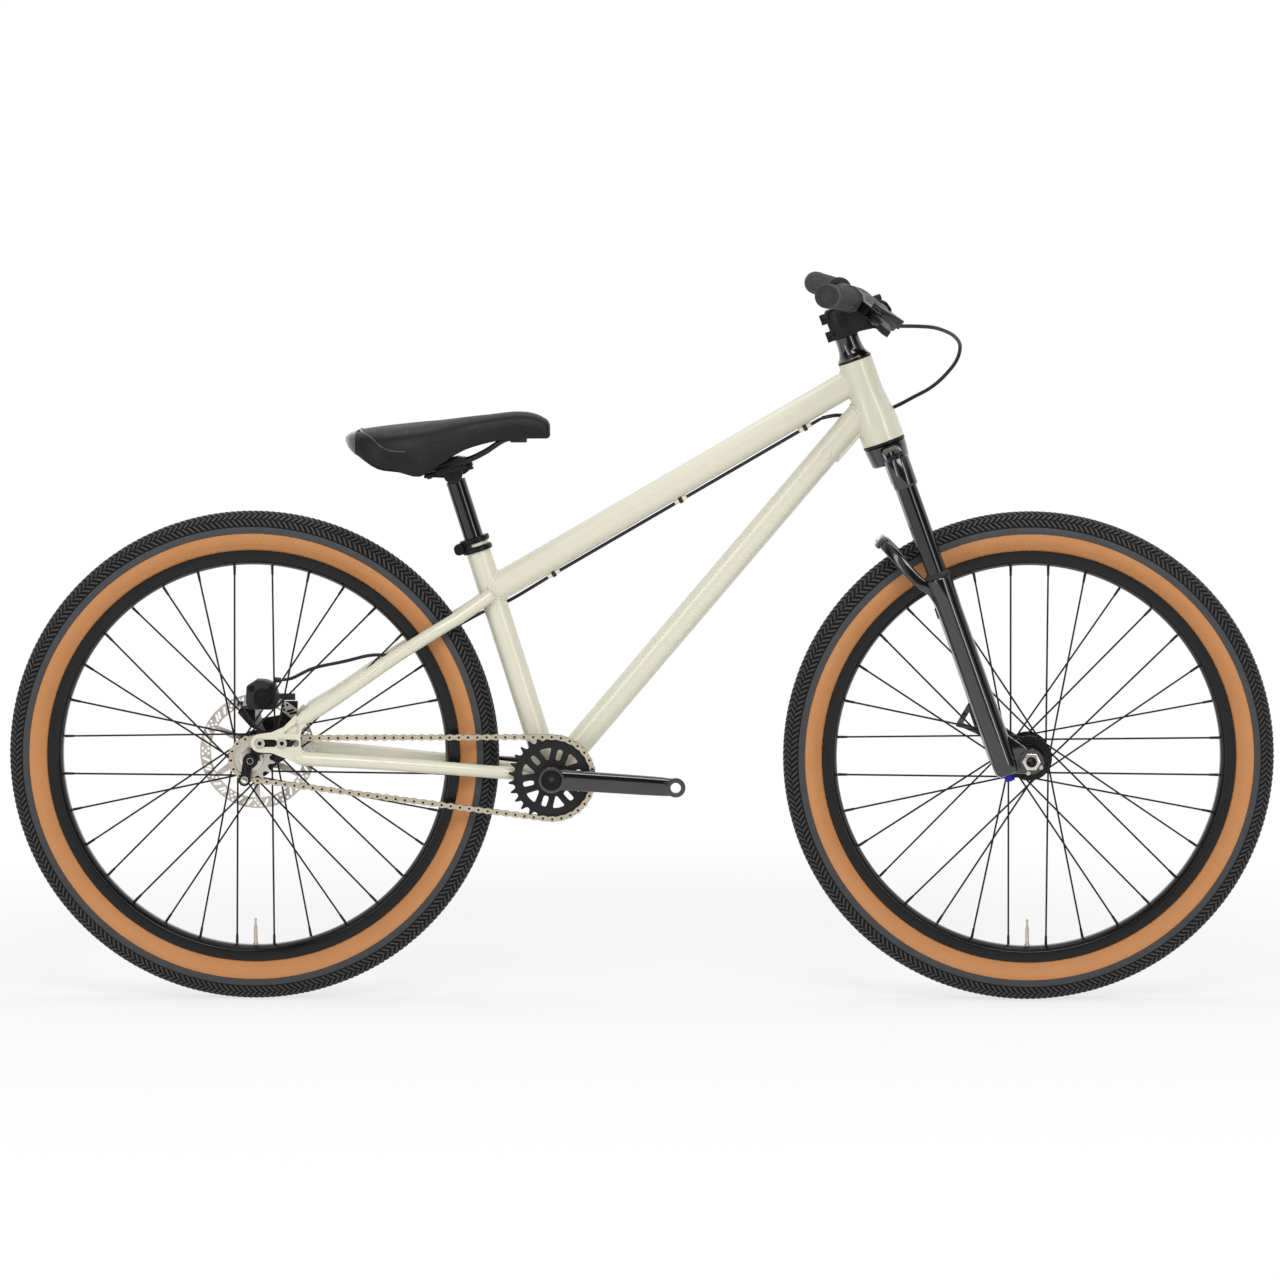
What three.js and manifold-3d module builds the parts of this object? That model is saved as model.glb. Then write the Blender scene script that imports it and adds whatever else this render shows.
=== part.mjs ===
// Dirt jump bike: 26 inch wheels, straight-tube frame, suspension fork and one rear disc brake.
// Millimetres. X points forward, Y to the rider's left and Z up; the origin is on the ground midway between
// the wheels. The fork, stem and bar are modelled in the steering frame, whose Z runs up the steering axis.
import * as THREE from 'three';
import { mergeVertices } from 'three/addons/utils/BufferGeometryUtils.js';
import Module from 'manifold-3d';

const wasm = await Module();
wasm.setup();

// General sizes
const fitGap = 0.3; // gap between pieces that touch
const overrun = 2; // how far a cutter reaches past what it cuts
const sinkIn = 0.6; // how far two joined forms run into each other
const edgeBreak = 1; // size of a small slanted or stepped edge
const weldTolerance = 0.0001; // corners nearer than this are one corner
const tubeSides = 10;
const roundSides = 12;
const smallSides = 6;
const wheelSides = 32;

// Wheel layout
const wheelbase = 1067;
const tyreRadius = 338;
const tyreWidth = 58;
const tyreWall = 2.6;
const treadDepth = 5;
const beadWall = 4.7;
const rimLipRadius = 284.5;
const rimDepth = 20.5; // from the lip to the spoke bed
const rimInnerRadius = rimLipRadius - rimDepth;
const rimWidth = 35;
const rimLipWall = 2;
const rimBedDepth = 7; // from the lip down to the bead seat
const rimFlankHeight = 5.5; // of the slanted flanks beside the spoke bed
const rimSpokeBedWidth = 15;
const valveRadius = 2.6;
const valveLength = 32;
const valveTipShare = 0.8;
const spokeCount = 32;
const spokeCrossings = 3;
const spokeRadius = 0.9;
const spokeSides = 3;
const spokeHeadLift = 1.6; // from the flange's middle plane to each of its two layers of spokes
const nippleRadius = 1.3;

// Hubs and axles
const hubBodyRadius = 17;
const flangeRadius = 31;
const flangeHoleRadius = 27;
const flangeWall = 5;
const rearHubSpacing = 135;
const rearFlangeRight = 22;
const rearFlangeLeft = 33;
const rearAxleRadius = 6;
const rearEndCapRadius = 9.5;
const freehubStart = 27;
const freehubRadius = 17;
const freehubEnd = 55;
const discSpigotRadius = 17.5;
const discFlangeRadius = 24;
const discFlangeWall = 9;
const rotorSide = 52; // middle of the rotor, left of the bike's middle plane
const rotorRadius = 80;
const rotorWall = 1.8;
const rotorTrack = 15; // width of the braking band
const rotorSpiderRadius = 27;
const rotorArmWidth = 9;
const rotorArmCount = 6;
const rotorVentCount = 8;
const rotorSides = 24;
const frontHubSpacing = 110;
const frontFlangeSide = 28;
const frontAxleRadius = 10;
const frontAxleHeadRadius = 13;
const frontAxleHeadWall = 5;

// Steering geometry
const headAngle = 70.26;
const forkOffset = 42.6;
const axleToHeadTube = 476; // from the axle's level up the steering axis to the head tube's lower face
const headTubeLength = 118;
const headTubeTopRadius = 23.75;
const headTubeBottomRadius = 29.5;
const headTubeWall = 3.4;
const headTubeTaperFrom = 24; // heights above the lower face between which the head tube tapers
const headTubeTaperTo = 76;
const cupDepth = 12;
const cupFlange = 1.8;
const lowerCupFlange = 3.6;

// Frame tubes
const bottomBracketForward = 412; // from the rear axle
const bottomBracketDrop = 26; // below the axles
const shellRadius = 21;
const shellWall = 3.6;
const shellWidth = 73;
const seatAngle = 72.4;
const seatTubeSetback = 4.7; // the seat tube's axis passes this far behind the bottom bracket
const seatTubeRadius = 17;
const seatTubeLength = 343;
const seatTubeBore = 13.9;
const mainTubeWall = 1.8;
const topTubeFrontRadius = 18.5;
const topTubeRearRadius = 19.5;
const topTubeBelowHeadTop = 23.4; // down the steering axis from the head tube's top
const topTubeBelowSeatTop = 77.7; // down the seat tube from its top
const downTubeRadius = 17.8;
const downTubeBelowHeadTop = 60.6;
const gussetLength = 62;
const gussetWidth = 22;
const gussetWall = 3;
const stayBelowSeatTop = 81;

// Rear stays and dropouts
const chainstayRadius = 9.5;
const chainstayFrontRadius = 8.6;
const seatstayRadius = 9.5;
const seatstayFrontRadius = 9;
const dropoutWall = 6;
const sliderWall = 6;
const adjusterHeight = 24.8; // of the bolt row above the axle
const adjusterRearBolt = 13.8; // forward of the axle
const adjusterFrontBolt = 44.1;
const adjusterSlotLength = 29;
const adjusterSlotWidth = 10.4;
const adjusterBoltRadius = 4.9;
const adjusterHeadRadius = 7;
const adjusterHeadWall = 2.4;
const dropoutArmRadius = 12.6;
const dropoutHeight = 66;
const dropoutLength = 84;
const pocketDepth = 2;
const hangerRadius = 8.6;
const hangerHole = 4.6;
const hangerDrop = 26.7;
const hangerBack = 8.2;
const axleBossRadius = 10.6;
const axleEndWall = 3;

// Crank set and chain
const chainPitch = 12.7;
const ringTeeth = 28;
const cogTeeth = 14;
const chainLinks = 86;
const chainLine = 48;
const rollerRadius = 3.9;
const plateHeight = 8.4;
const plateWall = 1;
const rollerSides = 4;
const innerPlateSide = 1.9; // inner faces of the inner plates from the chain's middle
const ringWall = 3.6;
const toothWall = 2.2;
const ringDiscRadius = 51;
const spindleRadius = 12;
const spindleWall = 3;
const crankLength = 170;
const crankDip = 3.2; // degrees that the right crank points below the horizontal
const crankBossRadius = 18;
const crankBossWall = 25;
const crankRootHeight = 29.5;
const crankRootWall = 17;
const crankTipHeight = 25;
const crankTipWall = 12;
const crankFlare = 14; // how much farther out the pedal end lies than the boss
const pedalEyeRadius = 13.3;
const pedalEyeWall = 14;
const pedalHoleRadius = 7;
const crankBoltRadius = 15;
const crankBoltWall = 3;
const crankKeyRadius = 5;
const bearingCupFlange = 2.7;
const bearingCupDepth = 9;

// Fork
const stanchionForward = 7.5; // of the steering axis
const stanchionSide = 65;
const stanchionRadius = 14;
const stanchionWall = 2;
const stanchionFoot = 132;
const forkTravel = 100;
const crownTop = 471.7;
const crownHubRadius = 29;
const crownHubHeight = 27;
const crownSocketRadius = 16.8;
const crownSocketTop = 452;
const crownSocketFoot = 411;
const crownBridgeWall = 26;
const steererRadius = 14.3;
const steererTop = 667;
const steererRootRadius = 19.5;
const lowerLegRadius = 17.5;
const lowerLegTop = 280;
const lowerLegFoot = -7;
const lowerBoreFoot = 22;
const lugWall = 17.4;
const lugRadius = 17.5;
const archTop = 350;
const archBack = 47;
const archWidth = 17;
const archWall = 9;
const wiperHeight = 7;
const wiperRadius = 18.4;
const knobRadius = 8;
const knobHeight = 9;
const discTabReach = 26;
const discTabUp = 66;
const discTabWall = 8;

// Cockpit
const coneHeight = 32.4;
const coneTopRadius = 16.4;
const coneFootRadius = 23.6;
const stemReach = 49.7;
const stemFoot = 629;
const stemHeight = 39;
const stemClampRadius = 18.6;
const stemBarDrop = 4; // the bar's middle below the clamp's middle
const stemBarWidth = 50;
const stemBarWall = 4.6;
const stemNeckWidth = 34;
const pinchBack = 20.5;
const pinchBlockWidth = 20;
const pinchBoltRadius = 4;
const pinchBoltSpacing = 25;
const slitWidth = 2;
const capHeight = 3.4;
const barClampRadius = 15.9;
const barGripRadius = 11.1;
const barHalfWidth = 373;
const barStraightHalf = 35;
const barBendEnd = 150;
const barRise = 27.5;
const barBendBack = 14.7;
const barBacksweepShare = 0.2054; // grip direction per unit sideways
const barUpsweepShare = 0.1315;
const gripRadius = 16.4;
const gripInnerEnd = 243;
const gripEndWall = 4;
const gripFlangeRadius = 18;
const gripFlangeWall = 4;
const leverClampSide = 214;
const leverClampWidth = 16;
const leverClampWall = 4;
const leverDipAngle = 35; // of the lever below the horizontal, in degrees
const leverPivotAhead = 40; // from the bar's middle, square to the bar
const leverPivotOutward = 14;
const masterRadius = 10;
const masterAhead = 36;
const masterSplay = 22; // how much farther ahead the master cylinder's inner end lies
const masterReach = 44; // inward of the clamp
const hoseFittingLength = 11;
const bladeLength = 78;
const bladeHeight = 9;
const bladeWall = 8;
const leverHousingHeight = 15;
const pivotPinRadius = 3;
const hoseRadius = 2.6;
const hoseSides = 8;
const hoseFitting = 4.6;

// Seatpost and saddle
const seatpostRadius = 13.6;
const seatpostWall = 2;
const seatpostInsertion = 118;
const seatpostShow = 92; // of the barrel's middle above the seat tube's top
const clampHeight = 20;
const clampWall = 4;
const clampEarReach = 11;
const clampEarWidth = 16;
const clampBoltRadius = 3.4;
const headBarrelRadius = 13;
const headBarrelHalf = 17;
const railRadius = 3.5;
const railSide = 22;
const railAngle = 14.7; // degrees nose up at the clamp
const cradleLength = 42;
const cradleHalfWidth = 28;
const cradleWall = 5;
const railAboveBarrel = 1; // of the rails' middle above the barrel's top
const railRise = 44;
const saddleLength = 279.5;
const saddleWidth = 135;
const saddleHeight = 87.4; // from the lowest point of its sides to its highest
const saddleTailBack = 146.8; // from the barrel's middle back to the saddle's tail
const saddleFootDrop = 0.7; // of the lowest point of its sides below the barrel's middle
const saddlePadding = 22; // thickness over the base
const saddleBaseWall = 3;
const saddleBaseShare = 0.72;
const railSteps = 36;
const socketDepth = 6; // of the rails' sockets below the rails' middle
const noseSocketLength = 22;
const noseSocketHalf = 14;
const tailSocketLength = 13;
const tailSocketHalf = 7;

// Brake at the rear
const caliperUp = 79; // of the pistons' middle above the axle
const caliperForward = 8;
const caliperLength = 46;
const caliperHeight = 40;
const caliperHalfWidth = 15;
const pistonCapWall = 3;
const rotorSlot = 3.4;
const bracketWall = 6;
const bracketSide = 67.2; // outer face, against the slider

// Surface finishes
const creamPaint = new THREE.MeshStandardMaterial({ color: 0xdad6c8, roughness: 0.35, metalness: 0.05 });
const blackGloss = new THREE.MeshStandardMaterial({ color: 0x101112, roughness: 0.22, metalness: 0.4 });
const blackSatin = new THREE.MeshStandardMaterial({ color: 0x1b1b1c, roughness: 0.5, metalness: 0.4 });
const blackRubber = new THREE.MeshStandardMaterial({ color: 0x202021, roughness: 0.85, metalness: 0 });
const treadRubber = new THREE.MeshStandardMaterial({ color: 0x26272a, roughness: 0.9, metalness: 0 });
const blackVinyl = new THREE.MeshStandardMaterial({ color: 0x151515, roughness: 0.55, metalness: 0 });
const blackPlastic = new THREE.MeshStandardMaterial({ color: 0x161616, roughness: 0.6, metalness: 0 });
const silverSteel = new THREE.MeshStandardMaterial({ color: 0xc9c4b8, roughness: 0.3, metalness: 0.9 });
const blueAnodised = new THREE.MeshStandardMaterial({ color: 0x2a2fa0, roughness: 0.35, metalness: 0.6 });

// Building blocks

const at = (x, y, z) => new THREE.Vector3(x, y, z);
const flat = (x, y) => new THREE.Vector2(x, y);
const radians = (degrees) => (degrees * Math.PI) / 180;

// The turn that points a form built along Y in a direction, with its first corner to the side or up.
function facing(direction) {
  const along = direction.clone().normalize();
  const mostlySideways = Math.abs(along.y) > 0.9;
  const across = along.clone().cross(mostlySideways ? at(0, 0, 1) : at(0, 1, 0)).normalize();
  const basis = new THREE.Matrix4().makeBasis(across, along, across.clone().cross(along));
  return new THREE.Quaternion().setFromRotationMatrix(basis);
}

// A manifold solid from any closed three.js geometry, turned the right way out.
function solidFrom(geometry) {
  const bare = new THREE.BufferGeometry();
  bare.setAttribute('position', geometry.getAttribute('position').clone());
  if (geometry.index) bare.setIndex(geometry.index.clone());
  const welded = mergeVertices(bare, weldTolerance);
  const corners = welded.index.array;
  const place = welded.getAttribute('position');
  const triangles = [];
  let volume = 0;
  for (let c = 0; c < corners.length; c += 3) {
    const [a, b, d] = [corners[c], corners[c + 1], corners[c + 2]];
    if (a === b || b === d || d === a) continue;
    triangles.push([a, b, d]);
    const [p, q, r] = [a, b, d].map((n) => at(place.getX(n), place.getY(n), place.getZ(n)));
    volume += p.dot(q.cross(r));
  }
  const facing = volume < 0 ? triangles.map(([a, b, d]) => [a, d, b]) : triangles;
  const mesh = { numProp: 3, vertProperties: place.array, triVerts: new Uint32Array(facing.flat()) };
  return new wasm.Manifold(new wasm.Mesh(mesh));
}

// A named mesh from a solid, in its finish.
function pieceFrom(name, solid, finish) {
  const { vertProperties, triVerts } = solid.getMesh();
  const geometry = new THREE.BufferGeometry();
  geometry.setAttribute('position', new THREE.BufferAttribute(vertProperties, 3));
  geometry.setIndex(new THREE.BufferAttribute(triVerts, 1));
  geometry.computeVertexNormals();
  const mesh = new THREE.Mesh(geometry, finish);
  mesh.name = name;
  return mesh;
}

const joined = (solids) => solids.reduce((whole, next) => whole.add(next));
const cutBy = (solid, cutters) => cutters.reduce((rest, cutter) => rest.subtract(cutter), solid);

// A round rod or cone from one point to another.
function rod(from, to, startRadius, endRadius = startRadius, sides = tubeSides) {
  const run = to.clone().sub(from);
  const length = run.length();
  const geometry = new THREE.CylinderGeometry(endRadius, startRadius, length, sides);
  geometry.translate(0, length / 2, 0);
  geometry.applyQuaternion(facing(run));
  geometry.translate(from.x, from.y, from.z);
  return solidFrom(geometry);
}

// A rod longer than the stretch between two points, as a cutter.
function bore(from, to, radius, sides = tubeSides) {
  const reach = to.clone().sub(from).setLength(overrun);
  return rod(from.clone().sub(reach), to.clone().add(reach), radius, radius, sides);
}

// A turned form about the Y axis through a centre: profile pairs are radius and place along Y.
function turned(profile, sides, centre = at(0, 0, 0)) {
  const points = profile.map(([radius, along]) => flat(radius, along));
  const geometry = new THREE.LatheGeometry(points, sides);
  geometry.translate(centre.x, centre.y, centre.z);
  return solidFrom(geometry);
}

// A turned form about any axis: profile pairs are radius and height along the axis.
function turnedAlong(profile, sides, foot, direction) {
  const geometry = new THREE.LatheGeometry(profile.map(([radius, along]) => flat(radius, along)), sides);
  geometry.applyQuaternion(facing(direction));
  geometry.translate(foot.x, foot.y, foot.z);
  return solidFrom(geometry);
}

// The radius of a many-sided bore whose flats stay clear of a rod that turns in it.
const turningFit = (radius, sides) => radius / Math.cos(Math.PI / sides) + fitGap;

const closed = (profile) => [...profile, profile[0]];

// A flat outline in X and Z, given thickness along Y from one side to the other.
function slab(shape, lowSide, highSide, curveSteps = 4) {
  const settings = { depth: highSide - lowSide, bevelEnabled: false, curveSegments: curveSteps };
  const geometry = new THREE.ExtrudeGeometry(shape, settings);
  geometry.rotateX(Math.PI / 2);
  geometry.translate(0, highSide, 0);
  return solidFrom(geometry);
}

const outline = (points) => new THREE.Shape(points.map(([x, z]) => flat(x, z)));

function box(low, high) {
  const size = high.clone().sub(low);
  const geometry = new THREE.BoxGeometry(size.x, size.y, size.z);
  const middle = low.clone().add(high).divideScalar(2);
  geometry.translate(middle.x, middle.y, middle.z);
  return solidFrom(geometry);
}

// A round section swept along a curve.
function swept(curve, radius, sides, steps) {
  const corners = [];
  for (let n = 0; n < sides; n += 1) {
    const turn = (2 * Math.PI * n) / sides;
    corners.push(flat(radius * Math.cos(turn), radius * Math.sin(turn)));
  }
  const settings = { steps, bevelEnabled: false, extrudePath: curve };
  return solidFrom(new THREE.ExtrudeGeometry(new THREE.Shape(corners), settings));
}

// A skin through rings of equal count, closed at both ends or joined end to end.
function lofted(rings, looped = false) {
  const count = rings[0].length;
  const places = rings.flat();
  const triangles = [];
  const spans = looped ? rings.length : rings.length - 1;
  for (let r = 0; r < spans; r += 1) {
    const ahead = ((r + 1) % rings.length) * count;
    for (let n = 0; n < count; n += 1) {
      const next = (n + 1) % count;
      const [a, b] = [r * count + n, r * count + next];
      triangles.push(a, b, ahead + next, a, ahead + next, ahead + n);
    }
  }
  const ends = looped ? [] : [[0, true], [(rings.length - 1) * count, false]];
  for (const [first, flip] of ends) {
    for (let n = 1; n + 1 < count; n += 1) {
      const [p, q] = flip ? [first + n + 1, first + n] : [first + n, first + n + 1];
      triangles.push(first, p, q);
    }
  }
  const geometry = new THREE.BufferGeometry().setFromPoints(places);
  geometry.setIndex(triangles);
  return solidFrom(geometry);
}

// A ring of points round a centre, square to a direction.
function ringAround(centre, direction, radius, sides) {
  const ahead = direction.clone().normalize();
  const across = at(0, 0, 1).cross(ahead).normalize();
  if (across.lengthSq() === 0) across.set(1, 0, 0);
  const upward = ahead.clone().cross(across);
  const ring = [];
  for (let n = 0; n < sides; n += 1) {
    const turn = (2 * Math.PI * n) / sides;
    const offset = across.clone().multiplyScalar(radius * Math.cos(turn));
    ring.push(centre.clone().add(offset).addScaledVector(upward, radius * Math.sin(turn)));
  }
  return ring;
}

// A tube of changing radius through chosen points.
function taperedTube(curve, startRadius, endRadius, sides, steps) {
  const rings = [];
  for (let s = 0; s <= steps; s += 1) {
    const share = s / steps;
    const radius = startRadius + (endRadius - startRadius) * share;
    rings.push(ringAround(curve.getPointAt(share), curve.getTangentAt(share), radius, sides));
  }
  return lofted(rings);
}

const turnedAboutY = (solid, degrees) => solid.rotate([0, degrees, 0]);
const mirroredSide = (solid) => solid.mirror([0, 1, 0]);

// Reference points in the bike's frame
const rearAxle = at(-wheelbase / 2, 0, tyreRadius);
const frontAxle = at(wheelbase / 2, 0, tyreRadius);
const fromRear = (x, y, z) => rearAxle.clone().add(at(x, y, z));
const bottomBracket = fromRear(bottomBracketForward, 0, -bottomBracketDrop);
const lean = radians(90 - headAngle);
const steerUp = at(-Math.sin(lean), 0, Math.cos(lean));
const steerAhead = at(Math.cos(lean), 0, Math.sin(lean));
const steerFoot = frontAxle.clone().addScaledVector(steerAhead, -forkOffset);
const alongSteering = (height) => steerFoot.clone().addScaledVector(steerUp, height);
const headTubeTop = axleToHeadTube + headTubeLength;
const seatLean = radians(90 - seatAngle);
const seatUp = at(-Math.sin(seatLean), 0, Math.cos(seatLean));
const seatFoot = bottomBracket.clone().sub(at(seatTubeSetback, 0, 0));
const alongSeat = (height) => seatFoot.clone().addScaledVector(seatUp, height);
const sideways = (point, side) => point.clone().add(at(0, side, 0));

// Frame

const headLow = alongSteering(axleToHeadTube);
const headHigh = alongSteering(headTubeTop);
const cupRadius = headTubeTopRadius - headTubeWall / 2;
const lowerCupRadius = headTubeBottomRadius - headTubeWall / 2;

function headTube() {
  const waist = headTubeTopRadius - headTubeWall;
  const profile = closed([
    [headTubeBottomRadius, 0],
    [headTubeBottomRadius, headTubeTaperFrom],
    [headTubeTopRadius, headTubeTaperTo],
    [headTubeTopRadius, headTubeLength],
    [cupRadius + fitGap, headTubeLength],
    [cupRadius + fitGap, headTubeLength - cupDepth - fitGap],
    [waist, headTubeLength - cupDepth - fitGap],
    [waist, headTubeTaperTo - headTubeTaperFrom],
    [lowerCupRadius + fitGap, cupDepth + fitGap],
    [lowerCupRadius + fitGap, 0],
  ]);
  return pieceFrom('head_tube', turnedAlong(profile, roundSides, headLow, steerUp), creamPaint);
}

// The head tube's outside, grown by the gap that mitred tubes keep.
const headTubeCutter = turnedAlong(
  [
    [0, -overrun],
    [headTubeBottomRadius + fitGap, -overrun],
    [headTubeBottomRadius + fitGap, headTubeTaperFrom],
    [headTubeTopRadius + fitGap, headTubeTaperTo],
    [headTubeTopRadius + fitGap, headTubeLength + overrun],
    [0, headTubeLength + overrun],
  ],
  roundSides,
  headLow,
  steerUp,
);
const seatTubeCutter = bore(alongSeat(0), alongSeat(seatTubeLength), seatTubeRadius + fitGap, roundSides);
const shellCutter = bore(
  sideways(bottomBracket, -shellWidth / 2),
  sideways(bottomBracket, shellWidth / 2),
  shellRadius + fitGap,
  roundSides,
);

const topTubeFront = alongSteering(headTubeTop - topTubeBelowHeadTop);
const topTubeRear = alongSeat(seatTubeLength - topTubeBelowSeatTop);
const topTubeRun = topTubeFront.clone().sub(topTubeRear);
const topTubeAhead = topTubeRun.clone().normalize();
const topTubeDown = at(topTubeAhead.z, 0, -topTubeAhead.x);
const hoseGuideShares = [0.155, 0.51, 0.853]; // along the top tube, from the seat tube
const guideLength = 12;
const guideWidth = 10;
const guideDepth = 7;
const hoseBelowTopTube = topTubeRearRadius + fitGap * 2 + hoseRadius;
const guideSpots = hoseGuideShares.map((share) =>
  topTubeRear.clone().addScaledVector(topTubeRun, share).addScaledVector(topTubeDown, hoseBelowTopTube),
);

// A small block under a tube with a tunnel for the hose.
function hoseGuide(centre, ahead) {
  const block = box(
    at(-guideLength / 2, -guideWidth / 2, -guideDepth / 2),
    at(guideLength / 2, guideWidth / 2, guideDepth),
  );
  const tilt = (Math.atan2(ahead.z, ahead.x) * 180) / Math.PI;
  const placed = turnedAboutY(block, -tilt).translate([centre.x, centre.y, centre.z]);
  const half = ahead.clone().setLength(guideLength);
  return placed.subtract(rod(
    centre.clone().sub(half),
    centre.clone().add(half),
    hoseRadius + fitGap * 3,
    hoseRadius + fitGap * 3,
    smallSides,
  ));
}

function topTube() {
  const outside = rod(topTubeRear, topTubeFront, topTubeRearRadius, topTubeFrontRadius, roundSides);
  const inside = rod(
    topTubeRear,
    topTubeFront,
    topTubeRearRadius - mainTubeWall,
    topTubeFrontRadius - mainTubeWall,
    tubeSides,
  );
  const guides = guideSpots.map((spot) => hoseGuide(spot, topTubeAhead));
  const shell = joined([outside, ...guides]).subtract(inside);
  return pieceFrom('top_tube', cutBy(shell, [headTubeCutter, seatTubeCutter]), creamPaint);
}

const downTubeFront = alongSteering(headTubeTop - downTubeBelowHeadTop);
const downTubeAhead = downTubeFront.clone().sub(bottomBracket).normalize();
const downTubeUnder = at(downTubeAhead.z, 0, -downTubeAhead.x);

function downTube() {
  const outside = rod(bottomBracket, downTubeFront, downTubeRadius, downTubeRadius, roundSides);
  const inside = rod(bottomBracket, downTubeFront, downTubeRadius - mainTubeWall);
  // a gusset plate reinforces the underside behind the head tube
  const plateMiddle = downTubeRadius - gussetWall / 2;
  const gussetBack = downTubeFront.clone().addScaledVector(
    downTubeAhead,
    -gussetLength - headTubeBottomRadius,
  );
  const corners = [gussetBack, downTubeFront].flatMap((spot) =>
    [plateMiddle, plateMiddle + gussetWall].map((depth) => spot.clone().addScaledVector(
      downTubeUnder,
      depth,
    )),
  );
  const plate = slab(
    outline([0, 1, 3, 2].map((n) => [corners[n].x, corners[n].z])),
    -gussetWidth / 2,
    gussetWidth / 2,
  );
  const above = rod(
    topTubeRear,
    topTubeFront,
    topTubeRearRadius + fitGap,
    topTubeFrontRadius + fitGap,
    roundSides,
  );
  const whole = outside.add(plate).subtract(inside);
  return pieceFrom(
    'down_tube',
    cutBy(whole, [headTubeCutter, shellCutter, above, seatTubeCutter]),
    creamPaint,
  );
}

function seatTube() {
  const top = alongSeat(seatTubeLength);
  const outside = rod(alongSeat(0), top, seatTubeRadius, seatTubeRadius, roundSides);
  const inside = bore(alongSeat(0), top, seatTubeBore, roundSides);
  return pieceFrom('seat_tube', cutBy(outside, [inside, shellCutter]), creamPaint);
}

function bottomBracketShell() {
  const half = shellWidth / 2;
  const inner = shellRadius - shellWall;
  const ring = turned(
    closed([[shellRadius, -half], [shellRadius, half], [inner, half], [inner, -half]]),
    roundSides,
    bottomBracket,
  );
  return pieceFrom('bottom_bracket_shell', ring, creamPaint);
}

// Rear end. Sides are built on the right (negative Y) and mirrored for the left.
const sliderInner = rearHubSpacing / 2 + fitGap;
const sliderOuter = sliderInner + sliderWall;
const dropoutInner = sliderOuter + fitGap;
const dropoutOuter = dropoutInner + dropoutWall;
const stayEndSide = dropoutInner + dropoutWall / 2 - edgeBreak;
const chainstayEndShare = [0.86, 0.05];
const seatstayEndShare = [0.89, 0.9];
const dropoutPoint = ([along, up]) => [along * dropoutLength, up * dropoutHeight];

const [chainstayEndX, chainstayEndZ] = dropoutPoint(chainstayEndShare);
const [seatstayEndX, seatstayEndZ] = dropoutPoint(seatstayEndShare);
// Places along a stay between its rear and front ends: shares forward, up and inward.
const chainstayShares = [
  [0, 0, 0],
  [0.22, 0.18, 0.17],
  [0.45, 0.4, 0.38],
  [0.68, 0.66, 0.67],
  [0.82, 0.83, 0.89],
  [1, 1, 1],
];
const seatstayShares = [
  [0, 0, 0],
  [0.12, 0.11, 0.06],
  [0.5, 0.51, 0.42],
  [0.73, 0.73, 0.62],
  [0.84, 0.83, 0.79],
  [1, 1, 1],
];
const chainstayFrontSide = 27;
const seatstayFrontSide = 22;

function stayCurve(rear, front, shares) {
  const run = front.clone().sub(rear);
  const points = shares.map(([forward, up, inward]) =>
    at(rear.x + run.x * forward, rear.y + run.y * inward, rear.z + run.z * up),
  );
  return new THREE.CatmullRomCurve3(points);
}

const chainstayCurve = stayCurve(
  fromRear(chainstayEndX, -stayEndSide, chainstayEndZ),
  sideways(bottomBracket, -chainstayFrontSide),
  chainstayShares,
);
const seatstayCurve = stayCurve(
  fromRear(seatstayEndX, -stayEndSide, seatstayEndZ),
  sideways(alongSeat(seatTubeLength - stayBelowSeatTop), -seatstayFrontSide),
  seatstayShares,
);
const socketLength = 12; // the stub on the dropout that each stay is welded to

// The dropout's plate: an arm with the adjuster slots that widens to both stays.
const armTopShares = [[0.35, 0.6], [0.55, 0.71], [0.74, 0.955]];
const crotchShares = [[0.93, 0.76], [0.845, 0.66], [0.825, 0.5], [0.825, 0.32], [0.86, 0.2]];
const armFootShares = [[0.84, -0.1], [0.62, 0.04], [0.36, 0.17]];
const pocketShares = [[0.56, 0.58], [0.76, 0.8], [0.77, 0.57]];

function dropoutPlate() {
  const shape = new THREE.Shape();
  shape.absarc(adjusterRearBolt, adjusterHeight, dropoutArmRadius, Math.PI * 1.5, Math.PI / 2, true);
  const lines = [...armTopShares, ...crotchShares, ...armFootShares];
  for (const [x, z] of lines.map(dropoutPoint)) shape.lineTo(x, z);
  return slab(shape, -dropoutOuter, -dropoutInner);
}

function adjusterSlots(low, high) {
  return [adjusterRearBolt, adjusterFrontBolt].map((start) => {
    const half = adjusterSlotWidth / 2;
    const shape = new THREE.Shape();
    shape.absarc(start, adjusterHeight, half, Math.PI / 2, Math.PI * 1.5, false);
    const travel = adjusterSlotLength - adjusterSlotWidth;
    shape.absarc(start + travel, adjusterHeight, half, Math.PI * 1.5, Math.PI / 2, false);
    return slab(shape, low, high, 3);
  });
}

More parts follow.
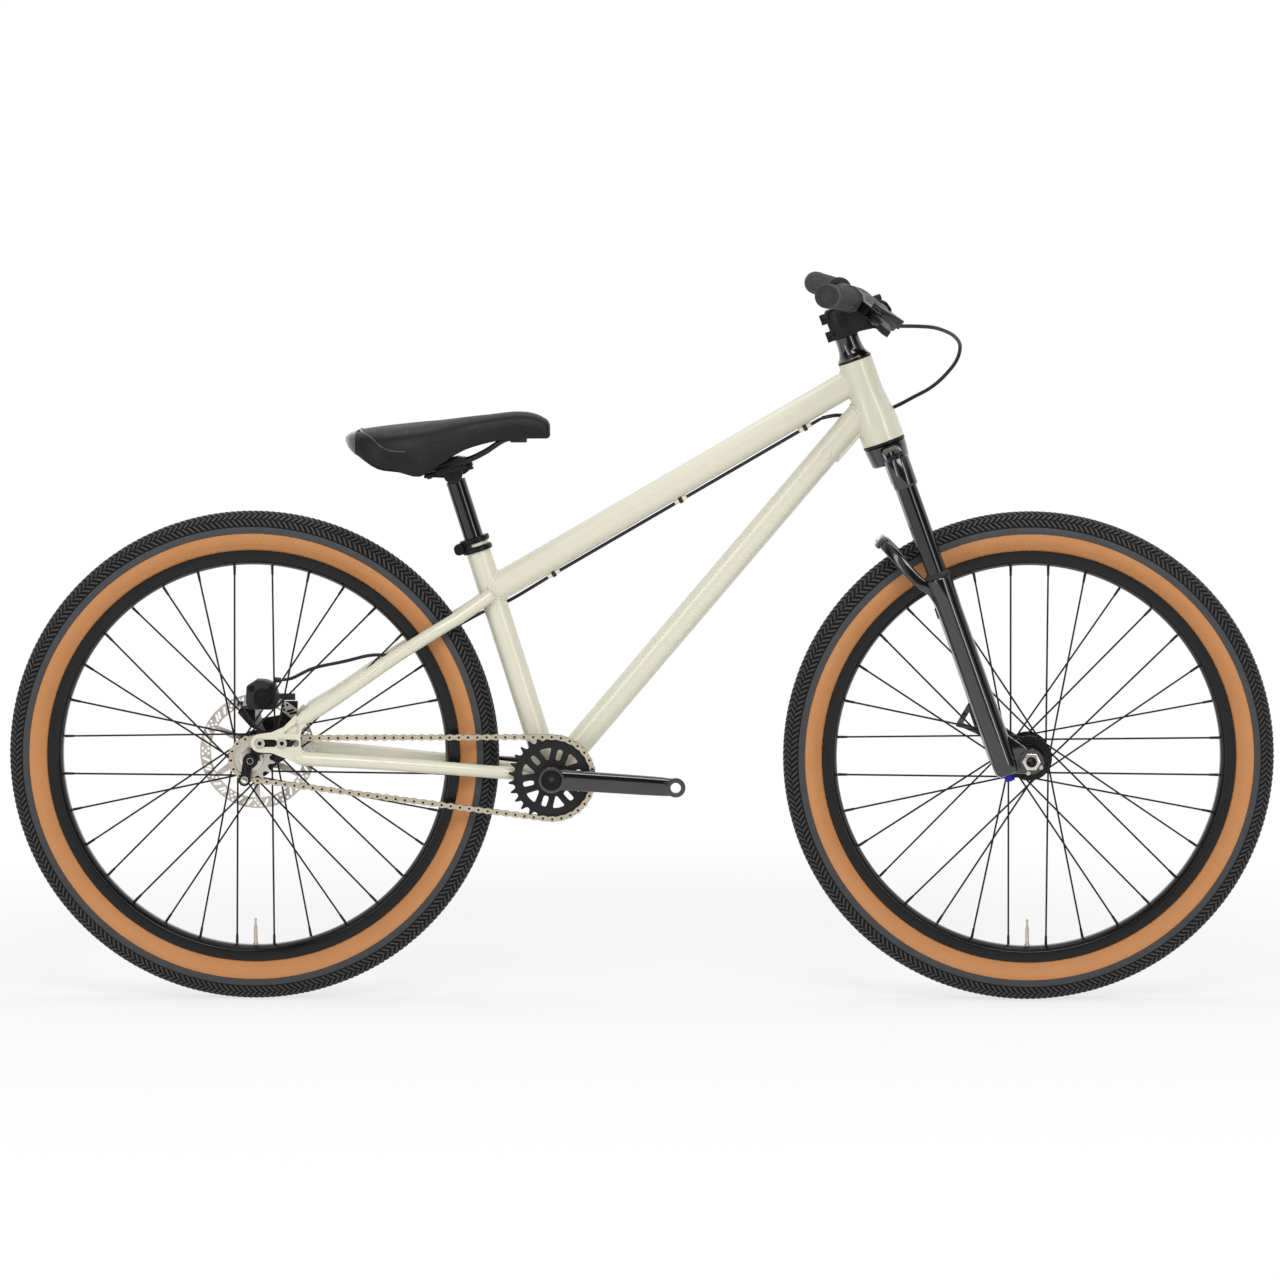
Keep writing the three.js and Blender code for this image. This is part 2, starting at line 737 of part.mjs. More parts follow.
function dropout(side) {
  const stubs = [[chainstayCurve, chainstayRadius], [seatstayCurve, seatstayRadius]].map(([curve, radius]) => {
    const end = curve.getPointAt(0).sub(rearAxle);
    const ahead = curve.getTangentAt(0);
    return rod(end.clone().addScaledVector(ahead, -socketLength), end, radius * 0.55, radius, tubeSides);
  });
  const pocket = slab(
    outline(pocketShares.map(dropoutPoint)),
    -dropoutOuter - overrun,
    -dropoutOuter + pocketDepth,
  );
  const slots = adjusterSlots(-dropoutOuter - overrun, -dropoutInner + overrun);
  const slider = slab(outline([[-dropoutLength, -dropoutHeight], [dropoutLength * 0.74, -dropoutHeight],
    [dropoutLength * 0.74, dropoutHeight], [-dropoutLength, dropoutHeight]]), -dropoutInner, 0);
  const whole = cutBy(joined([dropoutPlate(), ...stubs]), [pocket, slider, ...slots]);
  const placed = (side === 'right' ? whole : mirroredSide(whole)).translate(rearAxle.toArray());
  return pieceFrom(`dropout_${side}`, placed, creamPaint);
}

// The slider that carries the axle, with its two bolts through the dropout's slots.
const sliderTopShares = [[0.05, 0.5], [0.56, 0.5], [0.65, 0.42], [0.64, 0.26]];
const sliderFootShares = [[0.53, 0.02], [0.46, -0.02], [0.38, 0.13], [0.2, 0.15]];

function slider(side) {
  const body = [slab(
    outline([...sliderTopShares, ...sliderFootShares, [0, 0]].map(dropoutPoint)),
    -sliderOuter,
    -sliderInner,
  )];
  body.push(rod(at(0, -sliderOuter, 0), at(0, -sliderInner, 0), axleBossRadius, axleBossRadius, roundSides));
  body.push(slab(outline([[-axleBossRadius, 0], [0, axleBossRadius], ...[sliderTopShares[0]].map(dropoutPoint),
    [adjusterRearBolt, 0]]), -sliderOuter, -sliderInner));
  for (const start of [adjusterRearBolt, adjusterFrontBolt]) {
    const shank = at(start, -sliderOuter + sinkIn, adjusterHeight);
    const face = at(start, -dropoutOuter - fitGap, adjusterHeight);
    body.push(rod(shank, sideways(face, -sinkIn), adjusterBoltRadius, adjusterBoltRadius, smallSides));
    body.push(rod(
      face,
      sideways(face, -adjusterHeadWall),
      adjusterHeadRadius,
      adjusterHeadRadius,
      smallSides,
    ));
  }
  const holes = [bore(at(0, -sliderOuter, 0), at(0, -sliderInner, 0), rearAxleRadius + fitGap)];
  if (side === 'right') {
    const hanger = [-hangerBack, -hangerDrop];
    const spine = [[-axleBossRadius * 0.95, 0], [axleBossRadius * 0.2, -axleBossRadius * 0.9],
      [hanger[0] + hangerRadius * 0.9, hanger[1]], [hanger[0] - hangerRadius * 0.7, hanger[1]]];
    body.push(slab(outline(spine), -sliderOuter, -sliderInner));
    const low = at(hanger[0], -sliderOuter, hanger[1]);
    const high = at(hanger[0], -sliderInner, hanger[1]);
    body.push(rod(low, high, hangerRadius));
    holes.push(bore(low, high, hangerHole));
  }
  const whole = cutBy(joined(body), holes);
  const placed = (side === 'right' ? whole : mirroredSide(whole)).translate(rearAxle.toArray());
  return pieceFrom(`slider_${side}`, placed, blackSatin);
}

function stays() {
  const pieces = [];
  for (const side of ['right', 'left']) {
    const turnSide = (solid) => (side === 'right' ? solid : mirroredSide(solid));
    const trim = fitGap / chainstayCurve.getLength();
    const chain = taperedTube(
      trimmed(chainstayCurve, trim),
      chainstayRadius,
      chainstayFrontRadius,
      tubeSides,
      7,
    );
    pieces.push(pieceFrom(`chainstay_${side}`, cutBy(turnSide(chain), [shellCutter]), creamPaint));
    const seat = taperedTube(trimmed(seatstayCurve, trim), seatstayRadius, seatstayFrontRadius, tubeSides, 7);
    const guide = hoseGuideOnStay();
    const topTubeSide = rod(
      topTubeRear,
      topTubeFront,
      topTubeRearRadius + fitGap,
      topTubeFrontRadius + fitGap,
      roundSides,
    );
    pieces.push(pieceFrom(
      `seatstay_${side}`,
      cutBy(turnSide(seat.add(guide)), [seatTubeCutter, topTubeSide]),
      creamPaint,
    ));
  }
  return pieces;
}

// The same curve from a little way past its start.
function trimmed(curve, startShare) {
  const points = [];
  const count = 16;
  for (let n = 0; n <= count; n += 1) points.push(curve.getPointAt(startShare + ((1 - startShare) * n) / count));
  return new THREE.CatmullRomCurve3(points);
}

const stayGuideShares = [0.16, 0.8];
const hoseBelowStay = seatstayRadius + hoseRadius + fitGap * 2;

// Two small blocks under a seat stay, each with a tunnel for the hose.
function hoseGuideOnStay() {
  const lugs = stayGuideShares.map((share) => {
    const centre = seatstayCurve.getPointAt(share);
    const ahead = seatstayCurve.getTangentAt(share);
    const above = at(-ahead.z, 0, ahead.x).normalize();
    const place = new THREE.Matrix4().makeBasis(ahead, above.clone().cross(ahead), above).setPosition(centre);
    const block = box(
      at(-guideLength / 2, -guideWidth / 2, -seatstayRadius - guideDepth),
      at(guideLength / 2, guideWidth / 2, 0),
    );
    const tunnelFrom = at(-guideLength, 0, -hoseBelowStay);
    const tunnelTo = at(guideLength, 0, -hoseBelowStay);
    const tunnel = rod(tunnelFrom, tunnelTo, hoseRadius + fitGap * 3, hoseRadius + fitGap * 3, smallSides);
    return block.subtract(tunnel).transform(place.elements);
  });
  return joined(lugs);
}

function rearAxlePiece() {
  const end = sliderOuter + fitGap;
  const profile = [
    [0, -end - axleEndWall],
    [rearEndCapRadius, -end - axleEndWall],
    [rearEndCapRadius, -end],
    [rearAxleRadius, -end],
    [rearAxleRadius, end],
    [rearEndCapRadius, end],
    [rearEndCapRadius, end + axleEndWall],
    [0, end + axleEndWall],
  ];
  return pieceFrom('rear_axle', turned(profile, tubeSides, rearAxle), blackSatin);
}

function bearingCup(side) {
  const inner = shellRadius - shellWall - fitGap;
  const face = shellWidth / 2 + fitGap;
  const hole = turningFit(spindleRadius, roundSides);
  const profile = closed([
    [hole, -face + bearingCupDepth],
    [inner, -face + bearingCupDepth],
    [inner, -face],
    [shellRadius, -face],
    [shellRadius, -face - bearingCupFlange],
    [hole, -face - bearingCupFlange],
  ]);
  const cup = turned(profile, roundSides);
  const placed = (side === 'right' ? cup : mirroredSide(cup)).translate(bottomBracket.toArray());
  return pieceFrom(`bearing_cup_${side}`, placed, blackSatin);
}

function headsetCups() {
  const upper = closed([
    [turningFit(steererRadius, roundSides), headTubeTop + fitGap + cupFlange],
    [headTubeTopRadius, headTubeTop + fitGap + cupFlange],
    [headTubeTopRadius, headTubeTop + fitGap],
    [cupRadius, headTubeTop + fitGap],
    [cupRadius, headTubeTop - cupDepth],
    [turningFit(steererRadius, roundSides), headTubeTop - cupDepth],
  ]);
  const low = axleToHeadTube - fitGap;
  const lower = closed([
    [turningFit(steererRootRadius, roundSides), low - lowerCupFlange],
    [headTubeBottomRadius, low - lowerCupFlange],
    [headTubeBottomRadius, low],
    [lowerCupRadius, low],
    [lowerCupRadius, low + cupDepth],
    [turningFit(steererRootRadius, roundSides), low + cupDepth],
  ]);
  return [
    pieceFrom('headset_upper_cup', turnedAlong(upper, roundSides, steerFoot, steerUp), blackSatin),
    pieceFrom('headset_lower_cup', turnedAlong(lower, roundSides, steerFoot, steerUp), blackSatin),
  ];
}

function seatClamp() {
  const foot = seatTubeLength - clampHeight;
  const inner = seatTubeRadius + fitGap;
  const outer = inner + clampWall;
  const ring = turnedAlong(
    closed([[inner, foot], [outer, foot], [outer, foot + clampHeight], [inner, foot + clampHeight]]),
    roundSides,
    alongSeat(0),
    seatUp,
  );
  const back = at(-Math.cos(seatLean), 0, -Math.sin(seatLean));
  const tilt = (seatLean * 180) / Math.PI;
  const ear = turnedAboutY(
    box(
      at(-outer - clampEarReach + clampWall, -clampEarWidth / 2, 0),
      at(-inner - sinkIn, clampEarWidth / 2, clampHeight),
    ),
    -tilt,
  ).translate(alongSeat(foot).toArray());
  const bolt = alongSeat(foot + clampHeight / 2).addScaledVector(
    back,
    outer + clampEarReach / 2 - clampWall / 2,
  );
  const reach = clampEarWidth / 2 + clampWall / 2;
  const screw = rod(
    sideways(bolt, -reach),
    sideways(bolt, reach),
    clampBoltRadius,
    clampBoltRadius,
    smallSides,
  );
  const slit = turnedAboutY(
    box(at(-outer - clampEarReach, -slitWidth / 2, -overrun), at(0, slitWidth / 2, clampHeight + overrun)),
    -tilt,
  ).translate(alongSeat(foot).toArray());
  const window = turnedAboutY(
    box(at(-inner * 0.5, -outer * 2, clampHeight * 0.4), at(inner, outer * 2, clampHeight * 0.6)),
    -tilt,
  ).translate(alongSeat(foot).toArray());
  const inside = bore(alongSeat(foot), alongSeat(seatTubeLength), inner, roundSides);
  const whole = cutBy(ring.add(ear), [slit, window]).add(screw.subtract(inside));
  return pieceFrom('seat_clamp', whole, blackSatin);
}

// Chain line geometry
const ringPitchRadius = chainPitch / (2 * Math.sin(Math.PI / ringTeeth));
const cogPitchRadius = chainPitch / (2 * Math.sin(Math.PI / cogTeeth));
const centreRun = bottomBracket.clone().sub(rearAxle);
const centreDistance = centreRun.length();
const centreTilt = Math.atan2(centreRun.z, centreRun.x);
const wrap = Math.acos((ringPitchRadius - cogPitchRadius) / centreDistance);
const straightRun = Math.sqrt(centreDistance ** 2 - (ringPitchRadius - cogPitchRadius) ** 2);
const ringArc = ringPitchRadius * 2 * (Math.PI - wrap);
const cogArc = cogPitchRadius * 2 * wrap;
const chainLength = 2 * straightRun + ringArc + cogArc;

// The place and heading of a point on the chain's loop, measured forward along the upper run, in X and Z.
function onChain(distance) {
  const s = ((distance % chainLength) + chainLength) % chainLength;
  const turnAbout = (centre, radius, angle) => ({
    x: centre.x + radius * Math.cos(angle),
    z: centre.z + radius * Math.sin(angle),
    heading: angle - Math.PI / 2,
  });
  const upper = turnAbout(rearAxle, cogPitchRadius, chainTopAngle);
  if (s < straightRun) {
    const heading = chainTopAngle - Math.PI / 2;
    return { x: upper.x + s * Math.cos(heading), z: upper.z + s * Math.sin(heading), heading };
  }
  if (s < straightRun + ringArc) {
    return turnAbout(bottomBracket, ringPitchRadius, chainTopAngle - (s - straightRun) / ringPitchRadius);
  }
  if (s < 2 * straightRun + ringArc) {
    const start = turnAbout(bottomBracket, ringPitchRadius, chainFootAngle);
    const heading = chainFootAngle - Math.PI / 2;
    const run = s - straightRun - ringArc;
    return { x: start.x + run * Math.cos(heading), z: start.z + run * Math.sin(heading), heading };
  }
  return turnAbout(
    rearAxle,
    cogPitchRadius,
    chainFootAngle - (s - 2 * straightRun - ringArc) / cogPitchRadius,
  );
}
// The ring is the larger wheel, so the tangent points lean back from the line of centres' normal.
const chainTopAngle = centreTilt + (Math.PI - wrap);
const chainFootAngle = centreTilt - (Math.PI - wrap);
const pinSpots = Array.from(
  { length: chainLinks },
  (_, n) => onChain(straightRun + (n * chainLength) / chainLinks),
);

// Teeth with a hollow for each roller: shares of a tooth's pitch, and heights from the pitch circle as shares of the roller.
const toothShares = [[0, -1.12], [0.25, -0.8], [0.44, 0.86], [0.56, 0.86], [0.75, -0.8]];

function toothedDisc(teeth, pitchRadius, firstGap, lowSide, highSide) {
  const points = [];
  for (let tooth = 0; tooth < teeth; tooth += 1) {
    for (const [share, lift] of toothShares) {
      const angle = firstGap + (2 * Math.PI * (tooth + share)) / teeth;
      const radius = pitchRadius + lift * rollerRadius;
      points.push([radius * Math.cos(angle), radius * Math.sin(angle)]);
    }
  }
  return slab(outline(points), lowSide, highSide);
}

const windowInnerShare = 0.5;
const windowOuterShare = 0.8;
const windowCount = 6;

// Round windows pattern of the ring: a wedge and a slot in turn.
function ringWindows(lowSide, highSide) {
  const cutters = [];
  const inner = ringDiscRadius * windowInnerShare;
  const outer = ringDiscRadius * windowOuterShare;
  const slotHalf = ringDiscRadius * 0.07;
  const wedgeHalf = ringDiscRadius * 0.17;
  for (let n = 0; n < windowCount; n += 1) {
    const turn = (360 * n) / windowCount;
    const wedge = outline([[inner, 0], [outer, wedgeHalf], [outer, -wedgeHalf]]);
    cutters.push(turnedAboutY(slab(wedge, lowSide, highSide), turn));
    const slot = new THREE.Shape();
    slot.absarc(inner + slotHalf, 0, slotHalf, Math.PI / 2, Math.PI * 1.5, false);
    slot.absarc(outer - slotHalf, 0, slotHalf, Math.PI * 1.5, Math.PI / 2, false);
    cutters.push(turnedAboutY(slab(slot, lowSide, highSide, 2), turn + 180 / windowCount));
  }
  return cutters;
}

function chainring() {
  const disc = rod(
    at(0, -chainLine - ringWall / 2, 0),
    at(0, -chainLine + ringWall / 2, 0),
    ringDiscRadius,
    ringDiscRadius,
    rotorSides,
  );
  const firstGap = Math.atan2(pinSpots[0].z - bottomBracket.z, pinSpots[0].x - bottomBracket.x);
  const teeth = toothedDisc(
    ringTeeth,
    ringPitchRadius,
    firstGap,
    -chainLine - toothWall / 2,
    -chainLine + toothWall / 2,
  );
  const hole = bore(
    at(0, -chainLine - ringWall, 0),
    at(0, -chainLine + ringWall, 0),
    spindleRadius + fitGap,
    roundSides,
  );
  const windows = ringWindows(-chainLine - ringWall, -chainLine + ringWall);
  const ring = cutBy(disc.add(teeth), [hole, ...windows]).translate(bottomBracket.toArray());
  return pieceFrom('chainring', ring, blackSatin);
}

function rearCog() {
  const distances = pinSpots.map((spot) => Math.hypot(spot.x - rearAxle.x, spot.z - rearAxle.z));
  const gap = pinSpots[distances.findIndex((d) => Math.abs(d - cogPitchRadius) < weldTolerance)];
  const firstGap = Math.atan2(gap.z - rearAxle.z, gap.x - rearAxle.x);
  const teeth = toothedDisc(
    cogTeeth,
    cogPitchRadius,
    firstGap,
    -chainLine - toothWall / 2,
    -chainLine + toothWall / 2,
  );
  const hole = turningFit(rearAxleRadius, roundSides);
  const end = rearHubSpacing / 2;
  const body = turned(
    closed([
      [hole, -freehubStart - fitGap],
      [freehubRadius, -freehubStart - fitGap],
      [freehubRadius, -freehubEnd],
      [rearEndCapRadius, -freehubEnd],
      [rearEndCapRadius, -end],
      [hole, -end],
    ]),
    roundSides,
  );
  const cutter = bore(
    at(0, -chainLine - toothWall, 0),
    at(0, -chainLine + toothWall, 0),
    freehubRadius - edgeBreak,
  );
  return pieceFrom('rear_cog', teeth.subtract(cutter).add(body).translate(rearAxle.toArray()), silverSteel);
}

// A corner of the chain's band: a distance along the loop, an offset outward and a side.
function besideChain(distance, outward, side) {
  const { x, z, heading } = onChain(distance);
  return at(x - outward * Math.sin(heading), side, z + outward * Math.cos(heading));
}

// The chain: on each side a band of link plates that bends at the pins, and a roller on each pin.
function chain() {
  const pitch = chainLength / chainLinks;
  const half = plateHeight / 2;
  const low = innerPlateSide;
  const high = innerPlateSide + plateWall * 2;
  const solids = [-1, 1].map((side) => {
    const sections = [];
    for (let n = 0; n < chainLinks; n += 1) {
      const corners = [[half, low], [half, high], [-half, high], [-half, low]];
      sections.push(corners.map(([outward, depth]) => besideChain(
        straightRun + n * pitch,
        outward,
        side * depth - chainLine,
      )));
    }
    return lofted(sections, true);
  });
  const reach = innerPlateSide + plateWall;
  for (const { x, z } of pinSpots) {
    solids.push(rod(
      at(x, -chainLine - reach, z),
      at(x, -chainLine + reach, z),
      rollerRadius,
      rollerRadius,
      rollerSides,
    ));
  }
  return pieceFrom('chain', wasm.Manifold.union(solids), silverSteel);
}

// Crank set, built pointing along X and turned into place.

function crankSection(along, height, wall, side) {
  const cornerShares = [
    [1, 0.55],
    [0.55, 1],
    [-0.55, 1],
    [-1, 0.55],
    [-1, -0.55],
    [-0.55, -1],
    [0.55, -1],
    [1, -0.55],
  ];
  return cornerShares.map(([across, up]) => at(along, side + (across * wall) / 2, (up * height) / 2));
}

const crankInner = chainLine + ringWall / 2 + fitGap;
const crankOuter = crankInner + crankBossWall;

function crankArm(side) {
  const rootSide = -(crankInner + crankOuter) / 2;
  const tipSide = rootSide - crankFlare;
  const bow = 0.72; // most of the flare is reached at this share of the arm
  const arm = lofted([
    crankSection(crankBossRadius * 0.4, crankRootHeight, crankRootWall, rootSide),
    crankSection(crankLength * bow, crankTipHeight * 1.08, crankTipWall * 1.12, rootSide - crankFlare * bow),
    crankSection(crankLength - pedalEyeRadius * 0.4, crankTipHeight, crankTipWall, tipSide),
  ]);
  const boss = rod(
    at(0, -crankInner, 0),
    at(0, -crankOuter, 0),
    crankBossRadius,
    crankBossRadius,
    roundSides,
  );
  const eyeLow = at(crankLength, tipSide + pedalEyeWall / 2, 0);
  const eyeHigh = at(crankLength, tipSide - pedalEyeWall / 2, 0);
  const eye = rod(eyeLow, eyeHigh, pedalEyeRadius, pedalEyeRadius, roundSides);
  const whole = cutBy(joined([boss, arm, eye]), [
    bore(at(0, -crankInner, 0), at(0, -crankOuter, 0), spindleRadius + fitGap, roundSides),
    bore(eyeLow, eyeHigh, pedalHoleRadius),
  ]);
  const turnBy = side === 'right' ? crankDip : crankDip + 180;
  const sided = side === 'right' ? whole : mirroredSide(whole);
  return pieceFrom(
    `crank_arm_${side}`,
    turnedAboutY(sided, turnBy).translate(bottomBracket.toArray()),
    blackGloss,
  );
}

function crankSpindle() {
  const end = crankOuter + fitGap;
  const inner = spindleRadius - spindleWall;
  const profile = closed([
    [crankKeyRadius, -end - crankBoltWall],
    [crankBoltRadius, -end - crankBoltWall],
    [crankBoltRadius, -end],
    [spindleRadius, -end],
    [spindleRadius, end],
    [crankBoltRadius, end],
    [crankBoltRadius, end + crankBoltWall],
    [crankKeyRadius, end + crankBoltWall],
    [crankKeyRadius, end - crankBoltWall],
    [inner, end - crankBoltWall],
    [inner, -end + crankBoltWall],
    [crankKeyRadius, -end + crankBoltWall],
  ]);
  return pieceFrom('crank_spindle', turned(profile, roundSides, bottomBracket), blackSatin);
}

// Wheels

function tyre(name, centre) {
  const half = tyreWidth / 2;
  const bead = rimWidth / 2 - rimLipWall - fitGap;
  const seat = rimLipRadius - rimBedDepth + fitGap;
  const middle = tyreRadius - half;
  // the casing is a round arc from one side of the rim over the crown to the other
  const arcSteps = 6;
  const startAngle = -radians(38);
  const casing = Array.from({ length: arcSteps + 1 }, (_, n) => {
    const angle = startAngle + ((Math.PI - 2 * startAngle) * n) / arcSteps;
    return [middle + half * Math.sin(angle), half * Math.cos(angle)];
  });
  const overLip = rimLipRadius + fitGap;
  const hollowHalf = half - tyreWall * 1.6;
  const profile = [
    [seat, bead],
    [overLip, bead],
    ...casing,
    [overLip, -bead],
    [seat, -bead],
    [seat, -bead + beadWall],
    [middle, -hollowHalf],
    [tyreRadius - treadDepth, 0],
    [middle, hollowHalf],
    [seat, bead - beadWall],
  ];
  return pieceFrom(name, turned(closed(profile), wheelSides, centre), treadRubber);
}

function rim(name, centre) {
  const half = rimWidth / 2;
  const lipInner = half - rimLipWall;
  const side = [
    [rimInnerRadius, rimSpokeBedWidth / 2],
    [rimInnerRadius + rimFlankHeight, half],
    [rimLipRadius, half],
    [rimLipRadius, lipInner],
    [rimLipRadius - rimBedDepth, lipInner],
  ];
  const other = [...side].reverse().map(([radius, along]) => [radius, -along]);
  const ring = turned(closed([...side, ...other]), wheelSides);
  const foot = at(0, 0, -rimInnerRadius - sinkIn);
  const valve = rod(
    foot,
    at(0, 0, -rimInnerRadius + valveLength),
    valveRadius,
    valveRadius * valveTipShare,
    smallSides,
  );
  return pieceFrom(name, ring.add(valve).translate(centre.toArray()), blackSatin);
}

// Crossed spokes from both flanges to the rim, each a little thicker at the rim, where its nipple is.
function spokes(rightFlange, leftFlange) {
  const stop = rimInnerRadius * Math.cos(Math.PI / wheelSides) - fitGap;
  const perFlange = spokeCount / 2;
  return Array.from({ length: spokeCount }, (_, n) => {
    const rimAngle = -Math.PI / 2 + (2 * Math.PI * (n + 0.5)) / spokeCount;
    const onRight = n % 2 === 0;
    const leading = Math.floor(n / 2) % 2 === 0;
    const holeAngle = rimAngle + ((2 * Math.PI * spokeCrossings) / perFlange) * (leading ? 1 : -1);
    const flange = (onRight ? -rightFlange : leftFlange) + (leading ? spokeHeadLift : -spokeHeadLift);
    const start = at(flangeHoleRadius * Math.cos(holeAngle), flange, flangeHoleRadius * Math.sin(holeAngle));
    const end = at(stop * Math.cos(rimAngle), (onRight ? -1 : 1) * nippleRadius, stop * Math.sin(rimAngle));
    const run = end.clone().sub(start);
    return lofted([
      ringAround(start, run, spokeRadius, spokeSides),
      ringAround(end, run, nippleRadius, spokeSides),
    ]);
  });
}

function flangeProfile(place) {
  const half = flangeWall / 2;
  const root = flangeWall;
  return [
    [hubBodyRadius, place - root],
    [flangeRadius, place - half],
    [flangeRadius, place + half],
    [hubBodyRadius, place + root],
  ];
}

function rearHub() {
  const hole = turningFit(rearAxleRadius, roundSides);
  const end = rearHubSpacing / 2;
  const face = rotorSide - rotorWall / 2 - fitGap;
  const profile = closed([
    [hole, -freehubStart],
    ...flangeProfile(-rearFlangeRight),
    ...flangeProfile(rearFlangeLeft),
    [hubBodyRadius, face - discFlangeWall],
    [discFlangeRadius, face - discFlangeWall],
    [discFlangeRadius, face],
    [discSpigotRadius, face],
    [discSpigotRadius, face + rotorWall + fitGap],
    [rearEndCapRadius, face + rotorWall + fitGap],
    [rearEndCapRadius, end],
    [hole, end],
  ]);
  const body = turned(profile, roundSides);
  const whole = wasm.Manifold.union([body, ...spokes(rearFlangeRight, rearFlangeLeft)]);
  return pieceFrom('rear_hub_and_spokes', whole.translate(rearAxle.toArray()), blackSatin);
}

function frontHub() {
  const hole = turningFit(frontAxleRadius, tubeSides);
  const end = frontHubSpacing / 2 - fitGap;
  const profile = closed([
    [hole, -end],
    [hole * 1.3, -end],
    [hubBodyRadius, -frontFlangeSide - flangeWall * 2],
    ...flangeProfile(-frontFlangeSide),
    ...flangeProfile(frontFlangeSide),
    [hubBodyRadius, frontFlangeSide + flangeWall * 2],
    [hole * 1.3, end],
    [hole, end],
  ]);
  const body = turned(profile, tubeSides);
  const whole = wasm.Manifold.union([body, ...spokes(frontFlangeSide, frontFlangeSide)]);
  return pieceFrom('front_hub_and_spokes', whole.translate(frontAxle.toArray()), blackSatin);
}

function brakeRotor() {
  const low = rotorSide - rotorWall / 2;
  const high = rotorSide + rotorWall / 2;
  const trackInner = rotorRadius - rotorTrack;
  const disc = rod(at(0, low, 0), at(0, high, 0), rotorRadius, rotorRadius, rotorSides);
  const hollow = bore(at(0, low, 0), at(0, high, 0), trackInner, rotorSides);
  const spider = rod(at(0, low, 0), at(0, high, 0), rotorSpiderRadius, rotorSpiderRadius, roundSides);
  const arms = [];
  for (let n = 0; n < rotorArmCount; n += 1) {
    const reach = trackInner + rotorTrack / 2;
    const half = rotorArmWidth / 2;
    const sweepBack = radians(30);
    const arm = outline([[0, -half * 2], [0, half * 2],
      [reach * Math.cos(sweepBack), reach * Math.sin(sweepBack) + half],
      [reach * Math.cos(sweepBack), reach * Math.sin(sweepBack) - half]]);
    arms.push(turnedAboutY(slab(arm, low, high), (360 * n) / rotorArmCount));
  }
  const vents = [];
  for (let n = 0; n < rotorVentCount; n += 1) {
    const angle = (2 * Math.PI * n) / rotorVentCount;
    const middle = trackInner + rotorTrack / 2;
    const spot = at(middle * Math.cos(angle), 0, middle * Math.sin(angle));
    vents.push(bore(sideways(spot, low), sideways(spot, high), rotorTrack * 0.2, 4));
  }
  const hole = bore(at(0, low, 0), at(0, high, 0), discSpigotRadius + fitGap, roundSides);
  const whole = cutBy(joined([disc.subtract(hollow), spider, ...arms]), [hole, ...vents]);
  return pieceFrom('brake_rotor', whole.translate(rearAxle.toArray()), silverSteel);
}

// Fork and cockpit, in the steering frame: X ahead, Y left, Z up the steering axis from the axle's level.

function forkCrown() {
  const foot = crownTop - crownHubHeight;
  const steerer = turnedAlong(
    [[0, foot], [steererRootRadius, foot], [steererRootRadius, axleToHeadTube + cupDepth + fitGap],
      [steererRadius, axleToHeadTube + headTubeTaperTo - headTubeTaperFrom], [steererRadius, steererTop], [0, steererTop]],
    roundSides, at(0, 0, 0), at(0, 0, 1));
  const hub = rod(at(0, 0, foot), at(0, 0, crownTop), crownHubRadius * 0.93, crownHubRadius, roundSides);
  // the bridge falls from the hub to the sockets
  const reach = stanchionSide;
  const bridgeShares = [[-1.12, 0], [-0.92, 0.35], [-0.45, 1], [0.45, 1], [0.92, 0.35], [1.12, 0], [1.12, -0.55],
    [0.85, -0.55], [0.5, -0.3], [-0.5, -0.3], [-0.85, -0.55], [-1.12, -0.55]];
  const shape = new THREE.Shape(bridgeShares.map(([side, up]) => flat(
    side * reach,
    crownSocketTop + up * (crownTop - crownSocketTop),
  )));
  const bridge = new THREE.ExtrudeGeometry(shape, { depth: crownBridgeWall, bevelEnabled: false });
  bridge.rotateX(Math.PI / 2);
  bridge.rotateZ(Math.PI / 2);
  const bridgeSolid = solidFrom(bridge).translate([stanchionForward - crownBridgeWall / 2, 0, 0]);
  const sockets = [-1, 1].map((side) => rod(
    at(stanchionForward, side * stanchionSide, crownSocketFoot),
    at(stanchionForward, side * stanchionSide, crownSocketTop),
    crownSocketRadius, crownSocketRadius, roundSides));
  const holes = [-1, 1].map((side) => bore(
    at(stanchionForward, side * stanchionSide, crownSocketFoot),
    at(stanchionForward, side * stanchionSide, crownTop + crownHubHeight),
    stanchionRadius + fitGap, roundSides));
  return pieceFrom('fork_crown', cutBy(joined([steerer, hub, bridgeSolid, ...sockets]), holes), blackGloss);
}

function stanchion(side) {
  const sideSign = side === 'right' ? -1 : 1;
  const inner = stanchionRadius - stanchionWall;
  const top = crownSocketTop + stanchionWall;
  const profile = [
    [0, top], [stanchionRadius, top], [stanchionRadius, stanchionFoot], [inner, stanchionFoot],
    [inner, top - stanchionWall * 2], [0, top - stanchionWall * 2],
  ];
  const foot = at(stanchionForward, sideSign * stanchionSide, 0);
  return pieceFrom(`stanchion_${side}`, turnedAlong(profile, roundSides, foot, at(0, 0, 1)), blackGloss);
}

